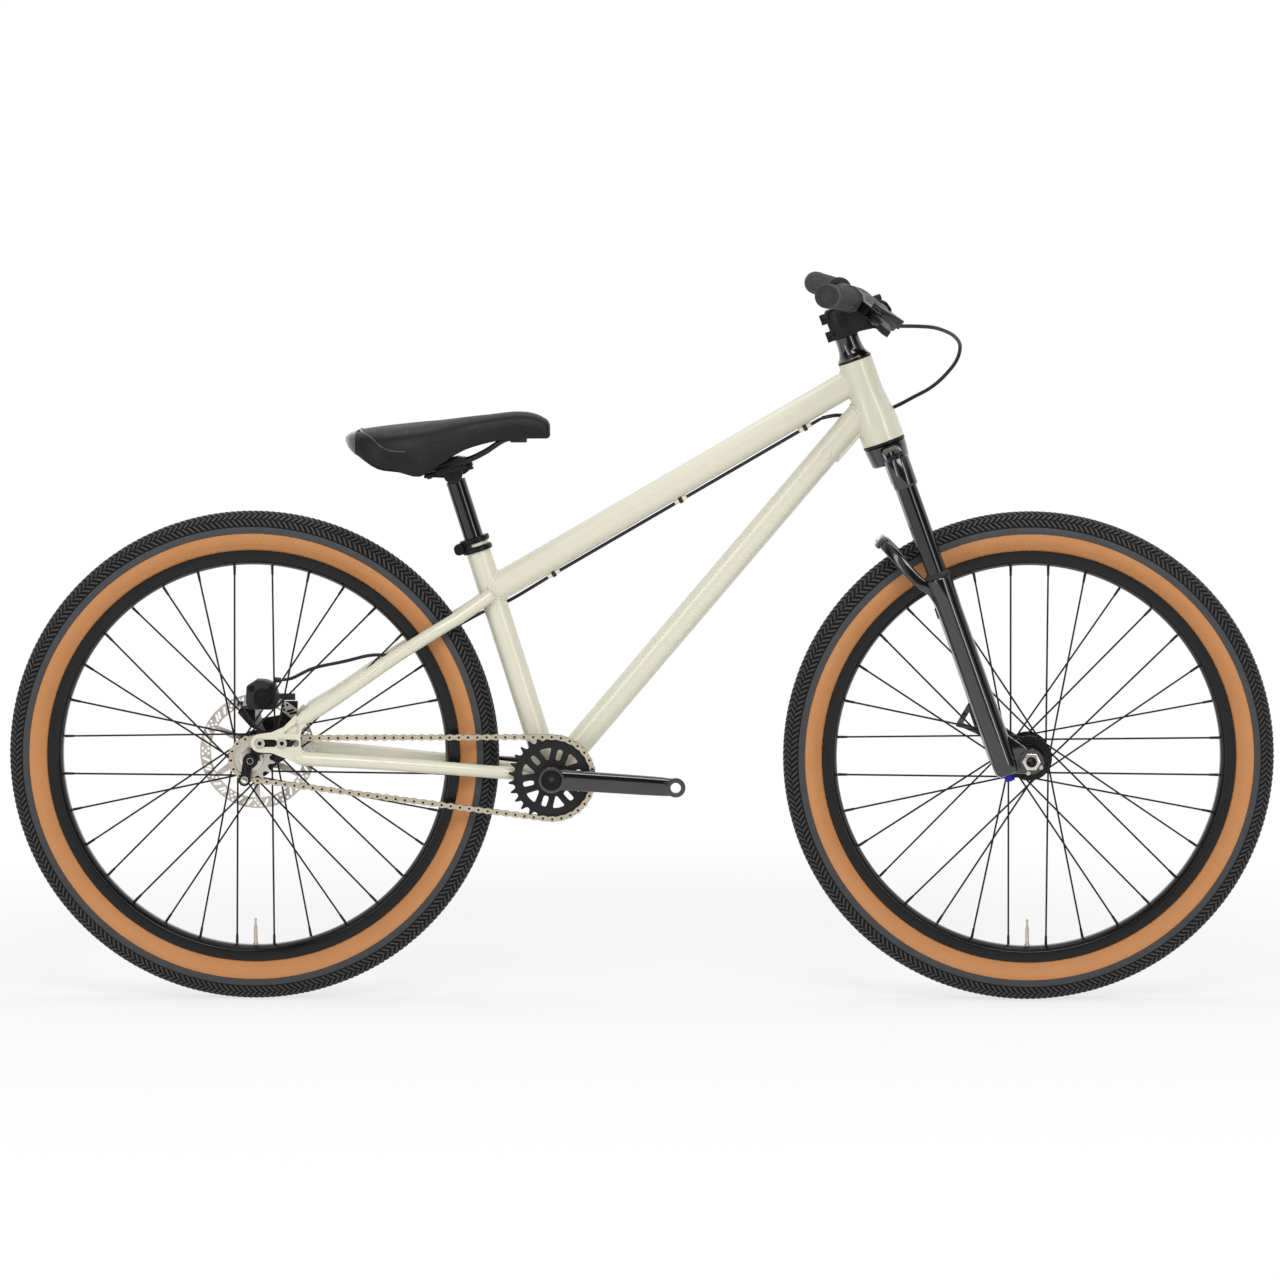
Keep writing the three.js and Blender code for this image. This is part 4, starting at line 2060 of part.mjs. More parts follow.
function caliper() {
  const [half, tall] = [caliperLength / 2, caliperHeight / 2];
  const bodyShares = [
    [-0.85, -1],
    [0.7, -1],
    [1, -0.3],
    [0.75, 0.75],
    [0.2, 1],
    [-0.35, 1.05],
    [-0.95, 0.6],
    [-1, -0.5],
  ];
  const shape = outline(bodyShares.map(([u, v]) => [caliperForward + u * half, caliperUp + v * tall]));
  const body = slab(shape, rotorSide - caliperHalfWidth, rotorSide + caliperHalfWidth);
  const ears = [-1, 1].map((end) => box(
    at(
      caliperForward + (end < 0 ? -caliperLength * 0.85 : half * 0.6),
      bracketSide - bracketWall,
      caliperUp - tall * (end < 0 ? 1.0 : 0.45),
    ),
    at(caliperForward + (end < 0 ? -half * 0.6 : caliperLength * 0.95), bracketSide, caliperUp - tall * (end < 0 ? 0.55 : 0.0))));
  const inlet = rod(
    hoseInlet.clone().sub(rearAxle).sub(at(hoseFittingLength, 0, 0)),
    hoseInlet.clone().sub(rearAxle),
    hoseFitting,
    hoseRadius + edgeBreak,
    smallSides,
  );
  const piston = rod(
    sideways(caliperMiddle, caliperHalfWidth - sinkIn),
    sideways(caliperMiddle, caliperHalfWidth + pistonCapWall),
    tall * 0.7,
    tall * 0.62,
    roundSides,
  );
  const slot = box(
    at(caliperForward - caliperLength, rotorSide - rotorSlot / 2, caliperUp - caliperHeight),
    at(caliperForward + caliperLength, rotorSide + rotorSlot / 2, caliperUp + tall * 0.55));
  const whole = joined([body, ...ears, inlet, piston]).subtract(slot);
  return pieceFrom('rear_caliper', whole.translate(rearAxle.toArray()), blackSatin);
}

const bracketShares = [[-0.34, 0.66], [-0.14, 0.42], [0.06, 0.3], [0.55, 0.3], [0.64, 0.42], [0.66, 0.87], [0.4, 0.87],
  [0.36, 0.62], [0.05, 0.56], [-0.06, 0.74], [-0.3, 0.74]];
function caliperBracket() {
  const plate = slab(
    outline(bracketShares.map(([u, v]) => [u * dropoutLength, v * caliperUp])),
    bracketSide - bracketWall,
    bracketSide,
  );
  return pieceFrom('caliper_bracket', plate.translate(rearAxle.toArray()), blackSatin);
}

const bike = new THREE.Group();
bike.add(headTube(), topTube(), downTube(), seatTube(), bottomBracketShell());
bike.add(dropout('right'), dropout('left'), slider('right'), slider('left'), ...stays());
bike.add(rearAxlePiece(), bearingCup('right'), bearingCup('left'), ...headsetCups(), seatClamp());
bike.add(chainring(), rearCog(), chain(), crankArm('right'), crankArm('left'), crankSpindle());
bike.add(
  tyre('rear_tyre', rearAxle),
  tyre('front_tyre', frontAxle),
  rim('rear_rim', rearAxle),
  rim('front_rim', frontAxle),
);
bike.add(rearHub(), frontHub(), brakeRotor(), frontHose(), rearHose(), caliper(), caliperBracket());
bike.add(seatpost(), saddleGroup, saddleCover(), saddleBase());
const steering = new THREE.Group();
steering.position.copy(steerFoot);
steering.rotation.y = -lean;
steering.add(forkCrown(), stanchion('right'), stanchion('left'), forkLowers(), wiper('right'), wiper('left'));
steering.add(frontAxlePiece(), reboundKnob(), headsetCone(), stem(), stemFaceplate(), stemCap(), handlebar());
steering.add(grip('right'), grip('left'), leverGroup);
bike.add(steering);
export default bike;
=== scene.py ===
"""A dirt jump bike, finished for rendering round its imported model.

Each sub-assembly is a class that holds its own sizes in millimetres, builds its meshes with Blender's
modelling operators and dresses them. Pieces are modelled in millimetres about a handy origin and then
settled in their place on the bike, in metres: X forward, Y to the rider's left, Z up.
"""

import logging
import math
from dataclasses import dataclass
from enum import Enum
from typing import Iterable, Sequence

import bmesh
import bpy
from mathutils import Matrix, Vector


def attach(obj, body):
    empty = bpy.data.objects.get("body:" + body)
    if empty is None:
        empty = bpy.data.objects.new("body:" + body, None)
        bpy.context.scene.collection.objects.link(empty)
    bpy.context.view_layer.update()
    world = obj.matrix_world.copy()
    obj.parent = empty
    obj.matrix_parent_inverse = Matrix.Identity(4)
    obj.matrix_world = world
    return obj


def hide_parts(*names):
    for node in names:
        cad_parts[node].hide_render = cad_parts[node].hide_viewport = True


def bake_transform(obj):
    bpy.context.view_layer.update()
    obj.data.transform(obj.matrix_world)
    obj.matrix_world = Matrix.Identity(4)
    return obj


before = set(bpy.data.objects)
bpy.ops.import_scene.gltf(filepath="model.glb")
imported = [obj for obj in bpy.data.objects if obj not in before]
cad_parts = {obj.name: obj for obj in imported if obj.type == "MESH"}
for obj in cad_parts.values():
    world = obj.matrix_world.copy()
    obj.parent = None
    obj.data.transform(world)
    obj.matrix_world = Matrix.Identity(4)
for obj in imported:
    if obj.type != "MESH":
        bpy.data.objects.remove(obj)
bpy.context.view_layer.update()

log = logging.getLogger("bike")

MM = 0.001
TURN = 2 * math.pi
UP = Vector((0, 0, 1))
LEFT = Vector((0, 1, 0))
HOME = Matrix()
ORIGIN = Vector()

Pair = tuple[float, float]
Triple = tuple[float, float, float]
Section = tuple[float, float, float, float]
Piece = bpy.types.Object


class Side(Enum):
    """The rider's right and left, by the sign of Y."""

    RIGHT = -1
    LEFT = 1

    @property
    def word(self) -> str:
        """The side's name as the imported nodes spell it."""
        return self.name.lower()


@dataclass(frozen=True)
class Layout:
    """The driving dimensions of the whole bike, in millimetres and degrees."""

    wheelbase: float = 1067
    tyre_radius: float = 338
    bottom_bracket_forward: float = 412
    bottom_bracket_drop: float = 26
    head_angle: float = 70.26
    fork_offset: float = 42.6
    head_tube_foot: float = 476
    head_tube_length: float = 118
    seat_angle: float = 72.4
    seat_setback: float = 4.7
    seat_tube_length: float = 343
    chain_line: float = 48
    rotor_side: float = 52

    @property
    def rear_axle(self) -> Vector:
        """Middle of the rear axle."""
        return Vector((-self.wheelbase / 2, 0, self.tyre_radius))

    @property
    def front_axle(self) -> Vector:
        """Middle of the front axle."""
        return Vector((self.wheelbase / 2, 0, self.tyre_radius))

    @property
    def bottom_bracket(self) -> Vector:
        """Middle of the crank spindle."""
        return self.rear_axle + Vector((self.bottom_bracket_forward, 0, -self.bottom_bracket_drop))

    @property
    def lean(self) -> float:
        """How far the steering axis leans back, in radians."""
        return math.radians(90 - self.head_angle)

    @property
    def steering(self) -> Matrix:
        """The steering frame: X ahead, Z up the steering axis from the axle's level."""
        ahead = Vector((math.cos(self.lean), 0, math.sin(self.lean)))
        foot = self.front_axle - ahead * self.fork_offset
        return Matrix.Translation(foot) @ Matrix.Rotation(-self.lean, 4, "Y")

    @property
    def seating(self) -> Matrix:
        """The seat tube's frame: Z up its axis from the bottom bracket's level."""
        foot = self.bottom_bracket - Vector((self.seat_setback, 0, 0))
        return Matrix.Translation(foot) @ Matrix.Rotation(-math.radians(90 - self.seat_angle), 4, "Y")


BIKE = Layout()


# Modelling


def aimed(foot: Vector, axis: Vector) -> Matrix:
    """The placement at a foot whose Z axis runs along an axis."""
    return Matrix.Translation(foot) @ axis.to_track_quat("Z", "Y").to_matrix().to_4x4()


def select_only(*pieces: Piece) -> None:
    """Selects these pieces alone and makes the first one active."""
    bpy.ops.object.select_all(action="DESELECT")
    for piece in pieces:
        piece.select_set(True)
    bpy.context.view_layer.objects.active = pieces[0]


def cleaned(piece: Piece, merge: float = 0.002) -> Piece:
    """Merges doubles, drops loose edges and turns every face outward.

    Args:
        piece: The mesh to clean.
        merge: Corners nearer than this become one, in the piece's own units.

    Returns:
        The same piece.
    """
    select_only(piece)
    bpy.ops.object.mode_set(mode="EDIT")
    bpy.ops.mesh.select_all(action="SELECT")
    bpy.ops.mesh.remove_doubles(threshold=merge)
    bpy.ops.mesh.delete_loose(use_verts=True, use_edges=True, use_faces=False)
    bpy.ops.mesh.select_all(action="SELECT")
    bpy.ops.mesh.normals_make_consistent(inside=False)
    bpy.ops.object.mode_set(mode="OBJECT")
    return piece


def outline_piece(name: str, corners: Sequence[Triple], filled: bool) -> Piece:
    """A ring of corners, shaped from a circle, with or without a face across it.

    Args:
        name: The piece's name.
        corners: Its corners in order, in millimetres.
        filled: Whether a face closes the ring.

    Returns:
        The new piece.
    """
    bpy.ops.object.select_all(action="DESELECT")
    fill = "NGON" if filled else "NOTHING"
    bpy.ops.mesh.primitive_circle_add(vertices=len(corners), radius=1, fill_type=fill)
    piece = bpy.context.object
    piece.name = name
    for vertex, corner in zip(piece.data.vertices, corners):
        vertex.co = corner
    return piece


def turned(name: str, profile: Sequence[Pair], place: Matrix = HOME, steps: int = 64) -> Piece:
    """A closed profile spun about the Z axis of its placement.

    Args:
        name: The piece's name.
        profile: Radius and height of each corner.
        place: Where the turned form stands.
        steps: Number of facets round the axis.

    Returns:
        The turned piece, still in millimetres.
    """
    piece = outline_piece(name, [(radius, 0, along) for radius, along in profile], False)
    bpy.ops.object.mode_set(mode="EDIT")
    bpy.ops.mesh.select_all(action="SELECT")
    bpy.ops.mesh.spin(steps=steps, angle=TURN, center=(0, 0, 0), axis=(0, 0, 1))
    bpy.ops.object.mode_set(mode="OBJECT")
    cleaned(piece)
    piece.data.transform(place)
    return piece


def lofted(name: str, rings: Sequence[Sequence[Triple]], place: Matrix = HOME) -> Piece:
    """A skin through rings of equal count, closed at both ends.

    The first ring is extruded once for each later ring, and each copy is moved to that ring's corners.

    Args:
        name: The piece's name.
        rings: The rings in order, each with the same number of corners.
        place: Where the form stands.

    Returns:
        The piece, still in millimetres.
    """
    piece = outline_piece(name, rings[0], True)
    bpy.ops.object.mode_set(mode="EDIT")
    bpy.ops.mesh.select_all(action="SELECT")
    for before, ring in zip(rings, rings[1:]):
        bpy.ops.mesh.extrude_region_move()
        mesh = bmesh.from_edit_mesh(piece.data)
        places = [Vector(corner) for corner in before]
        for vertex in [v for v in mesh.verts if v.select]:
            nearest = min(range(len(places)), key=lambda n: (places[n] - vertex.co).length_squared)
            vertex.co = ring[nearest]
        bmesh.update_edit_mesh(piece.data)
    bpy.ops.object.mode_set(mode="OBJECT")
    cleaned(piece)
    piece.data.transform(place)
    return piece


def plate(name: str, outline: Sequence[Pair], low: float, high: float, place: Matrix = HOME) -> Piece:
    """An outline in X and Z given thickness along Y.

    Args:
        name: The piece's name.
        outline: Its corners in order.
        low: The right face's place along Y.
        high: The left face's place along Y.
        place: Where the plate stands.

    Returns:
        The piece, still in millimetres.
    """
    piece = outline_piece(name, [(x, low, z) for x, z in outline], True)
    bpy.ops.object.mode_set(mode="EDIT")
    bpy.ops.mesh.select_all(action="SELECT")
    bpy.ops.mesh.extrude_region_move(TRANSFORM_OT_translate={"value": (0, high - low, 0)})
    bpy.ops.object.mode_set(mode="OBJECT")
    cleaned(piece)
    piece.data.transform(place)
    return piece


def rod(name: str, start: Vector, end: Vector, radius: float, tip: float | None = None,
        sides: int = 40) -> Piece:
    """A round rod or cone between two points.

    Args:
        name: The piece's name.
        start: Middle of the first end.
        end: Middle of the second end.
        radius: Radius at the first end.
        tip: Radius at the second end, or None for the same.
        sides: Number of facets round it.

    Returns:
        The piece, still in millimetres.
    """
    length = (end - start).length
    far = radius if tip is None else tip
    profile = [(0, 0), (radius, 0), (far, length), (0, length)]
    return turned(name, profile, aimed(start, end - start), sides)


def drill(start: Vector, end: Vector, radius: float, sides: int = 48) -> Piece:
    """A round cutter between two points."""
    return rod("tool", start, end, radius, sides=sides)


def ease(share: float) -> float:
    """A share from 0 to 1, with a slow start and a slow end."""
    return share * share * (3 - 2 * share)


def other_side(points: Sequence[Vector]) -> list[Vector]:
    """Points mirrored to the other side of the bike, in reverse order."""
    return [Vector((p.x, -p.y, p.z)) for p in reversed(points)]


def smooth_path(points: Sequence[Vector], steps: int) -> list[Vector]:
    """Places along a centripetal curve through chosen points.

    Args:
        points: The points that the curve passes.
        steps: Number of stretches between each pair of points.

    Returns:
        The places, from the first point to the last.
    """
    ends = [points[0] * 2 - points[1], *points, points[-1] * 2 - points[-2]]
    path = []
    for a, b, c, d in zip(ends, ends[1:], ends[2:], ends[3:]):
        t1 = math.sqrt((b - a).length)
        t2 = t1 + math.sqrt((c - b).length)
        t3 = t2 + math.sqrt((d - c).length)
        for step in range(steps):
            t = t1 + (t2 - t1) * step / steps
            ab = a.lerp(b, t / t1)
            bc = b.lerp(c, (t - t1) / (t2 - t1))
            cd = c.lerp(d, (t - t2) / (t3 - t2))
            path.append(ab.lerp(bc, t / t2).lerp(bc.lerp(cd, (t - t1) / (t3 - t1)), (t - t1) / (t2 - t1)))
    return [*path, points[-1]]


def swept(name: str, path: Sequence[Vector], radius: float, shares: Sequence[float] = (), sides: int = 16,
          cyclic: bool = False) -> Piece:
    """A round rod along a path.

    Args:
        name: The piece's name.
        path: Places along its middle.
        radius: Its radius.
        shares: The radius at each place as a share of the whole, or nothing for an even rod.
        sides: Number of facets round it.
        cyclic: Whether the rod closes on itself.

    Returns:
        The piece as a mesh, still in millimetres.
    """
    curve = bpy.data.curves.new(name, "CURVE")
    curve.dimensions = "3D"
    curve.bevel_depth = radius
    curve.bevel_resolution = max(0, (sides - 4) // 2)
    curve.use_fill_caps = not cyclic
    spline = curve.splines.new("POLY")
    spline.points.add(len(path) - 1)
    spline.use_cyclic_u = cyclic
    for n, (point, spot) in enumerate(zip(spline.points, path)):
        point.co = (*spot, 1)
        point.radius = shares[n] if shares else 1
    piece = bpy.data.objects.new(name, curve)
    bpy.context.scene.collection.objects.link(piece)
    select_only(piece)
    bpy.ops.object.convert(target="MESH")
    return cleaned(bpy.context.object)


def cut(piece: Piece, cutters: Iterable[Piece], keep: str = "DIFFERENCE") -> Piece:
    """Cuts a piece with others, which are used up.

    Args:
        piece: The piece to cut.
        cutters: What is taken from it.
        keep: DIFFERENCE, or another of the boolean modifier's operations.

    Returns:
        The same piece.
    """
    tool = joined([*cutters])
    select_only(piece)
    bpy.ops.object.modifier_add(type="BOOLEAN")
    modifier = piece.modifiers[-1]
    modifier.operation = keep
    modifier.solver = "EXACT"
    modifier.use_self = True
    modifier.object = tool
    bpy.ops.object.modifier_apply(modifier=modifier.name)
    bpy.data.objects.remove(tool)
    return piece


def joined(pieces: Sequence[Piece], name: str = "") -> Piece:
    """The first piece with the others' meshes joined to it, renamed if a name is given."""
    if len(pieces) > 1:
        select_only(*pieces)
        bpy.ops.object.join()
    if name:
        pieces[0].name = name
    return pieces[0]


def copies(piece: Piece, places: Iterable[Matrix]) -> Piece:
    """A piece repeated at places, each with its own mesh, joined to one.

    Args:
        piece: The piece to repeat, which is used up.
        places: The placement of each copy.

    Returns:
        The joined copies.
    """
    made = []
    for place in places:
        copy = piece.copy()
        copy.data = piece.data.copy()
        copy.data.transform(place)
        bpy.context.scene.collection.objects.link(copy)
        made.append(copy)
    name = piece.name
    bpy.data.objects.remove(piece)
    made[0].name = name
    return joined(made)


def bevelled(piece: Piece, width: float, segments: int = 2, angle: float = 35) -> Piece:
    """Rounds a piece's sharp edges.

    Args:
        piece: The piece.
        width: Width of the rounding.
        segments: Number of facets across it.
        angle: Edges sharper than this are rounded, in degrees.

    Returns:
        The same piece.
    """
    select_only(piece)
    bpy.ops.object.modifier_add(type="BEVEL")
    modifier = piece.modifiers[-1]
    modifier.width = width
    modifier.segments = segments
    modifier.limit_method = "ANGLE"
    modifier.angle_limit = math.radians(angle)
    modifier.harden_normals = False
    bpy.ops.object.modifier_apply(modifier=modifier.name)
    return piece


def rounded(piece: Piece, levels: int) -> Piece:
    """Smooths a coarse cage with a subdivision surface, applied."""
    select_only(piece)
    bpy.ops.object.modifier_add(type="SUBSURF")
    modifier = piece.modifiers[-1]
    modifier.levels = levels
    modifier.render_levels = levels
    bpy.ops.object.modifier_apply(modifier=modifier.name)
    return piece


def settled(piece: Piece, place: Matrix = HOME) -> Piece:
    """Moves a piece from millimetres in its own frame to metres on the bike."""
    piece.data.transform(Matrix.Scale(MM, 4) @ place)
    return piece


def smoothed(piece: Piece, angle: float = 35) -> Piece:
    """Shades a piece smooth except across edges sharper than an angle in degrees."""
    select_only(piece)
    bpy.ops.object.shade_smooth_by_angle(angle=math.radians(angle))
    return piece


def merged_copy(node: str) -> Piece:
    """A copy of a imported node, in metres, with its doubles merged."""
    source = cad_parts[node]
    piece = bpy.data.objects.new(f"{node}_finished", source.data.copy())
    bpy.context.scene.collection.objects.link(piece)
    return cleaned(piece, merge=0.00001)


def softened_copy(node: str, width: float, segments: int = 2, angle: float = 38) -> Piece:
    """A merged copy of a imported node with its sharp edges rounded.

    Args:
        node: The node's name.
        width: Width of the rounding, in millimetres.
        segments: Number of facets across it.
        angle: Edges sharper than this are rounded, in degrees.

    Returns:
        The copy, in metres.
    """
    piece = merged_copy(node)
    bpy.ops.object.mode_set(mode="EDIT")
    bpy.ops.mesh.select_all(action="SELECT")
    bpy.ops.mesh.dissolve_limited(angle_limit=math.radians(2))
    bpy.ops.object.mode_set(mode="OBJECT")
    return bevelled(piece, width * MM, segments, angle)


def dressed(piece: Piece, finish: "Finish", body: str, *nodes: str, angle: float = 35) -> Piece:
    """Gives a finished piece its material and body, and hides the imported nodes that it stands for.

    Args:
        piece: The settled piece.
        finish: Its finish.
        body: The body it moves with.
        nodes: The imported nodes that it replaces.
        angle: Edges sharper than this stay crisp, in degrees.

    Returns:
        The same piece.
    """
    smoothed(piece, angle)
    piece.data.materials.clear()
    piece.data.materials.append(finish.material())
    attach(piece, body)
    if nodes:
        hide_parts(*nodes)
    log.info("%s rides on %s in %s", piece.name, body, finish.name)
    return piece


# Finishes


def linear(colour: str) -> tuple[float, float, float, float]:
    """An sRGB hex colour as linear red, green, blue and alpha."""
    parts = [int(colour[n:n + 2], 16) / 255 for n in (1, 3, 5)]
    return (*[p / 12.92 if p <= 0.04045 else ((p + 0.055) / 1.055) ** 2.4 for p in parts], 1.0)


def cells(size: float) -> float:
    """The texture scale at which one cell of a pattern is this many millimetres on the bike."""
    return 1 / (size * MM)


def add(tree: bpy.types.NodeTree, kind: str, inputs: dict | None = None,
        **settings: object) -> bpy.types.Node:
    """Adds one shader node.

    Args:
        tree: The material's node tree.
        kind: The node's type.
        inputs: What fills or feeds its sockets, by name or number.
        settings: The node's own settings.

    Returns:
        The new node.
    """
    node = tree.nodes.new(kind)
    for key, value in settings.items():
        setattr(node, key, value)
    for key, value in (inputs or {}).items():
        if isinstance(value, bpy.types.NodeSocket):
            tree.links.new(value, node.inputs[key])
        else:
            node.inputs[key].default_value = value
    return node


def ramp(tree: bpy.types.NodeTree, value: bpy.types.NodeSocket, source: Pair,
         target: Pair) -> bpy.types.Node:
    """Adds a node that turns one range of values into another, with a slow start and a slow end."""
    return add(tree, "ShaderNodeMapRange", {"Value": value, "From Min": source[0], "From Max": source[1],
                                            "To Min": target[0], "To Max": target[1]},
               interpolation_type="SMOOTHSTEP")


@dataclass(frozen=True)
class Finish:
    """A surface finish: what the material is, how it was made and what that gives the eye."""

    name: str = "plain"
    slot: str = "black_satin"
    colour: str = "#1c1c1d"
    shade: str = "#161617"  # the second colour of its slow variation
    roughness: float = 0.4
    roughness_spread: float = 0.08
    metallic: float = 0.0
    coat: float = 0.0
    coat_roughness: float = 0.03
    ior: float = 1.5
    grain: float = 0.8  # size of the surface's grain in millimetres
    relief: float = 0.02  # height of the grain in millimetres
    patch: float = 60  # size of the slow variation in millimetres

    def material(self) -> bpy.types.Material:
        """The finish's material, made on first use."""
        found = bpy.data.materials.get(self.name)
        if found:
            return found
        material = bpy.data.materials.new(self.name)
        material.use_nodes = True
        tree = material.node_tree
        tree.nodes.clear()
        spot = add(tree, "ShaderNodeTexCoord").outputs["Object"]
        shader = self.surface(tree, spot)
        add(tree, "ShaderNodeOutputMaterial", {"Surface": shader.outputs[0]})
        return material

    def tint(self, tree: bpy.types.NodeTree, spot: bpy.types.NodeSocket) -> bpy.types.NodeSocket:
        """The colour: two near tones in slow patches."""
        noise = add(tree, "ShaderNodeTexNoise", {"Vector": spot, "Scale": cells(self.patch), "Detail": 3.0})
        mix = add(tree, "ShaderNodeMix", {0: noise.outputs["Fac"], 6: linear(self.colour),
                                          7: linear(self.shade)}, data_type="RGBA")
        return mix.outputs[2]

    def bumps(self, tree: bpy.types.NodeTree, spot: bpy.types.NodeSocket) -> bpy.types.NodeSocket:
        """The relief: an even grain."""
        noise = add(tree, "ShaderNodeTexNoise", {"Vector": spot, "Scale": cells(self.grain), "Detail": 2.0})
        bump = add(tree, "ShaderNodeBump", {"Height": noise.outputs["Fac"], "Distance": self.relief * MM,
                                            "Strength": 1.0})
        return bump.outputs["Normal"]

    def surface(self, tree: bpy.types.NodeTree, spot: bpy.types.NodeSocket) -> bpy.types.Node:
        """The shader, with its colour, roughness and relief."""
        dull = add(tree, "ShaderNodeTexNoise", {"Vector": spot, "Scale": cells(self.patch / 4),
                                                "Detail": 4.0})
        low, high = self.roughness - self.roughness_spread, self.roughness + self.roughness_spread
        rough = add(tree, "ShaderNodeMapRange", {"Value": dull.outputs["Fac"], "From Min": 0.3,
                                                 "From Max": 0.7, "To Min": low, "To Max": high})
        inputs = {"Base Color": self.tint(tree, spot), "Roughness": rough.outputs[0],
                  "Normal": self.bumps(tree, spot), "Metallic": self.metallic}
        if self.metallic < 0.5:
            inputs["IOR"] = self.ior
        if self.coat:
            inputs["Coat Weight"] = self.coat
            inputs["Coat Roughness"] = self.coat_roughness
        return add(tree, "ShaderNodeBsdfPrincipled", inputs)


@dataclass(frozen=True)
class ThreadedSidewall(Finish):
    """Skinwall rubber: tan rubber wiped thinly over nylon threads that cross on the bias."""

    thread: float = 1.6  # a real thread is 0.4 mm apart: drawn coarser so that it shows
    relief: float = 0.05

    def bumps(self, tree: bpy.types.NodeTree, spot: bpy.types.NodeSocket) -> bpy.types.NodeSocket:
        """The relief: fine threads that cross."""
        bands = []
        for tilt in (1, -1):
            turn = add(tree, "ShaderNodeMapping", {"Vector": spot,
                                                   "Rotation": (0.0, tilt * math.radians(45), 0.0)})
            wave = add(tree, "ShaderNodeTexWave", {"Vector": turn.outputs[0],
                                                   "Scale": cells(self.thread) / TURN, "Distortion": 0.6},
                       bands_direction="X")
            bands.append(wave.outputs["Fac"])
        woven = add(tree, "ShaderNodeMath", {0: bands[0], 1: bands[1]}, operation="MULTIPLY")
        return add(tree, "ShaderNodeBump", {"Height": woven.outputs[0], "Distance": self.relief * MM,
                                            "Strength": 0.6}).outputs["Normal"]


@dataclass(frozen=True)
class Leathery(Finish):
    """Vinyl embossed with a leather grain: small raised pebbles with soft creases between them."""

    def bumps(self, tree: bpy.types.NodeTree, spot: bpy.types.NodeSocket) -> bpy.types.NodeSocket:
        """The relief: pebbles."""
        pebble = add(tree, "ShaderNodeTexVoronoi", {"Vector": spot, "Scale": cells(self.grain)},
                     feature="SMOOTH_F1")
        return add(tree, "ShaderNodeBump", {"Height": pebble.outputs["Distance"],
                                            "Distance": self.relief * MM,
                                            "Strength": 0.7}).outputs["Normal"]


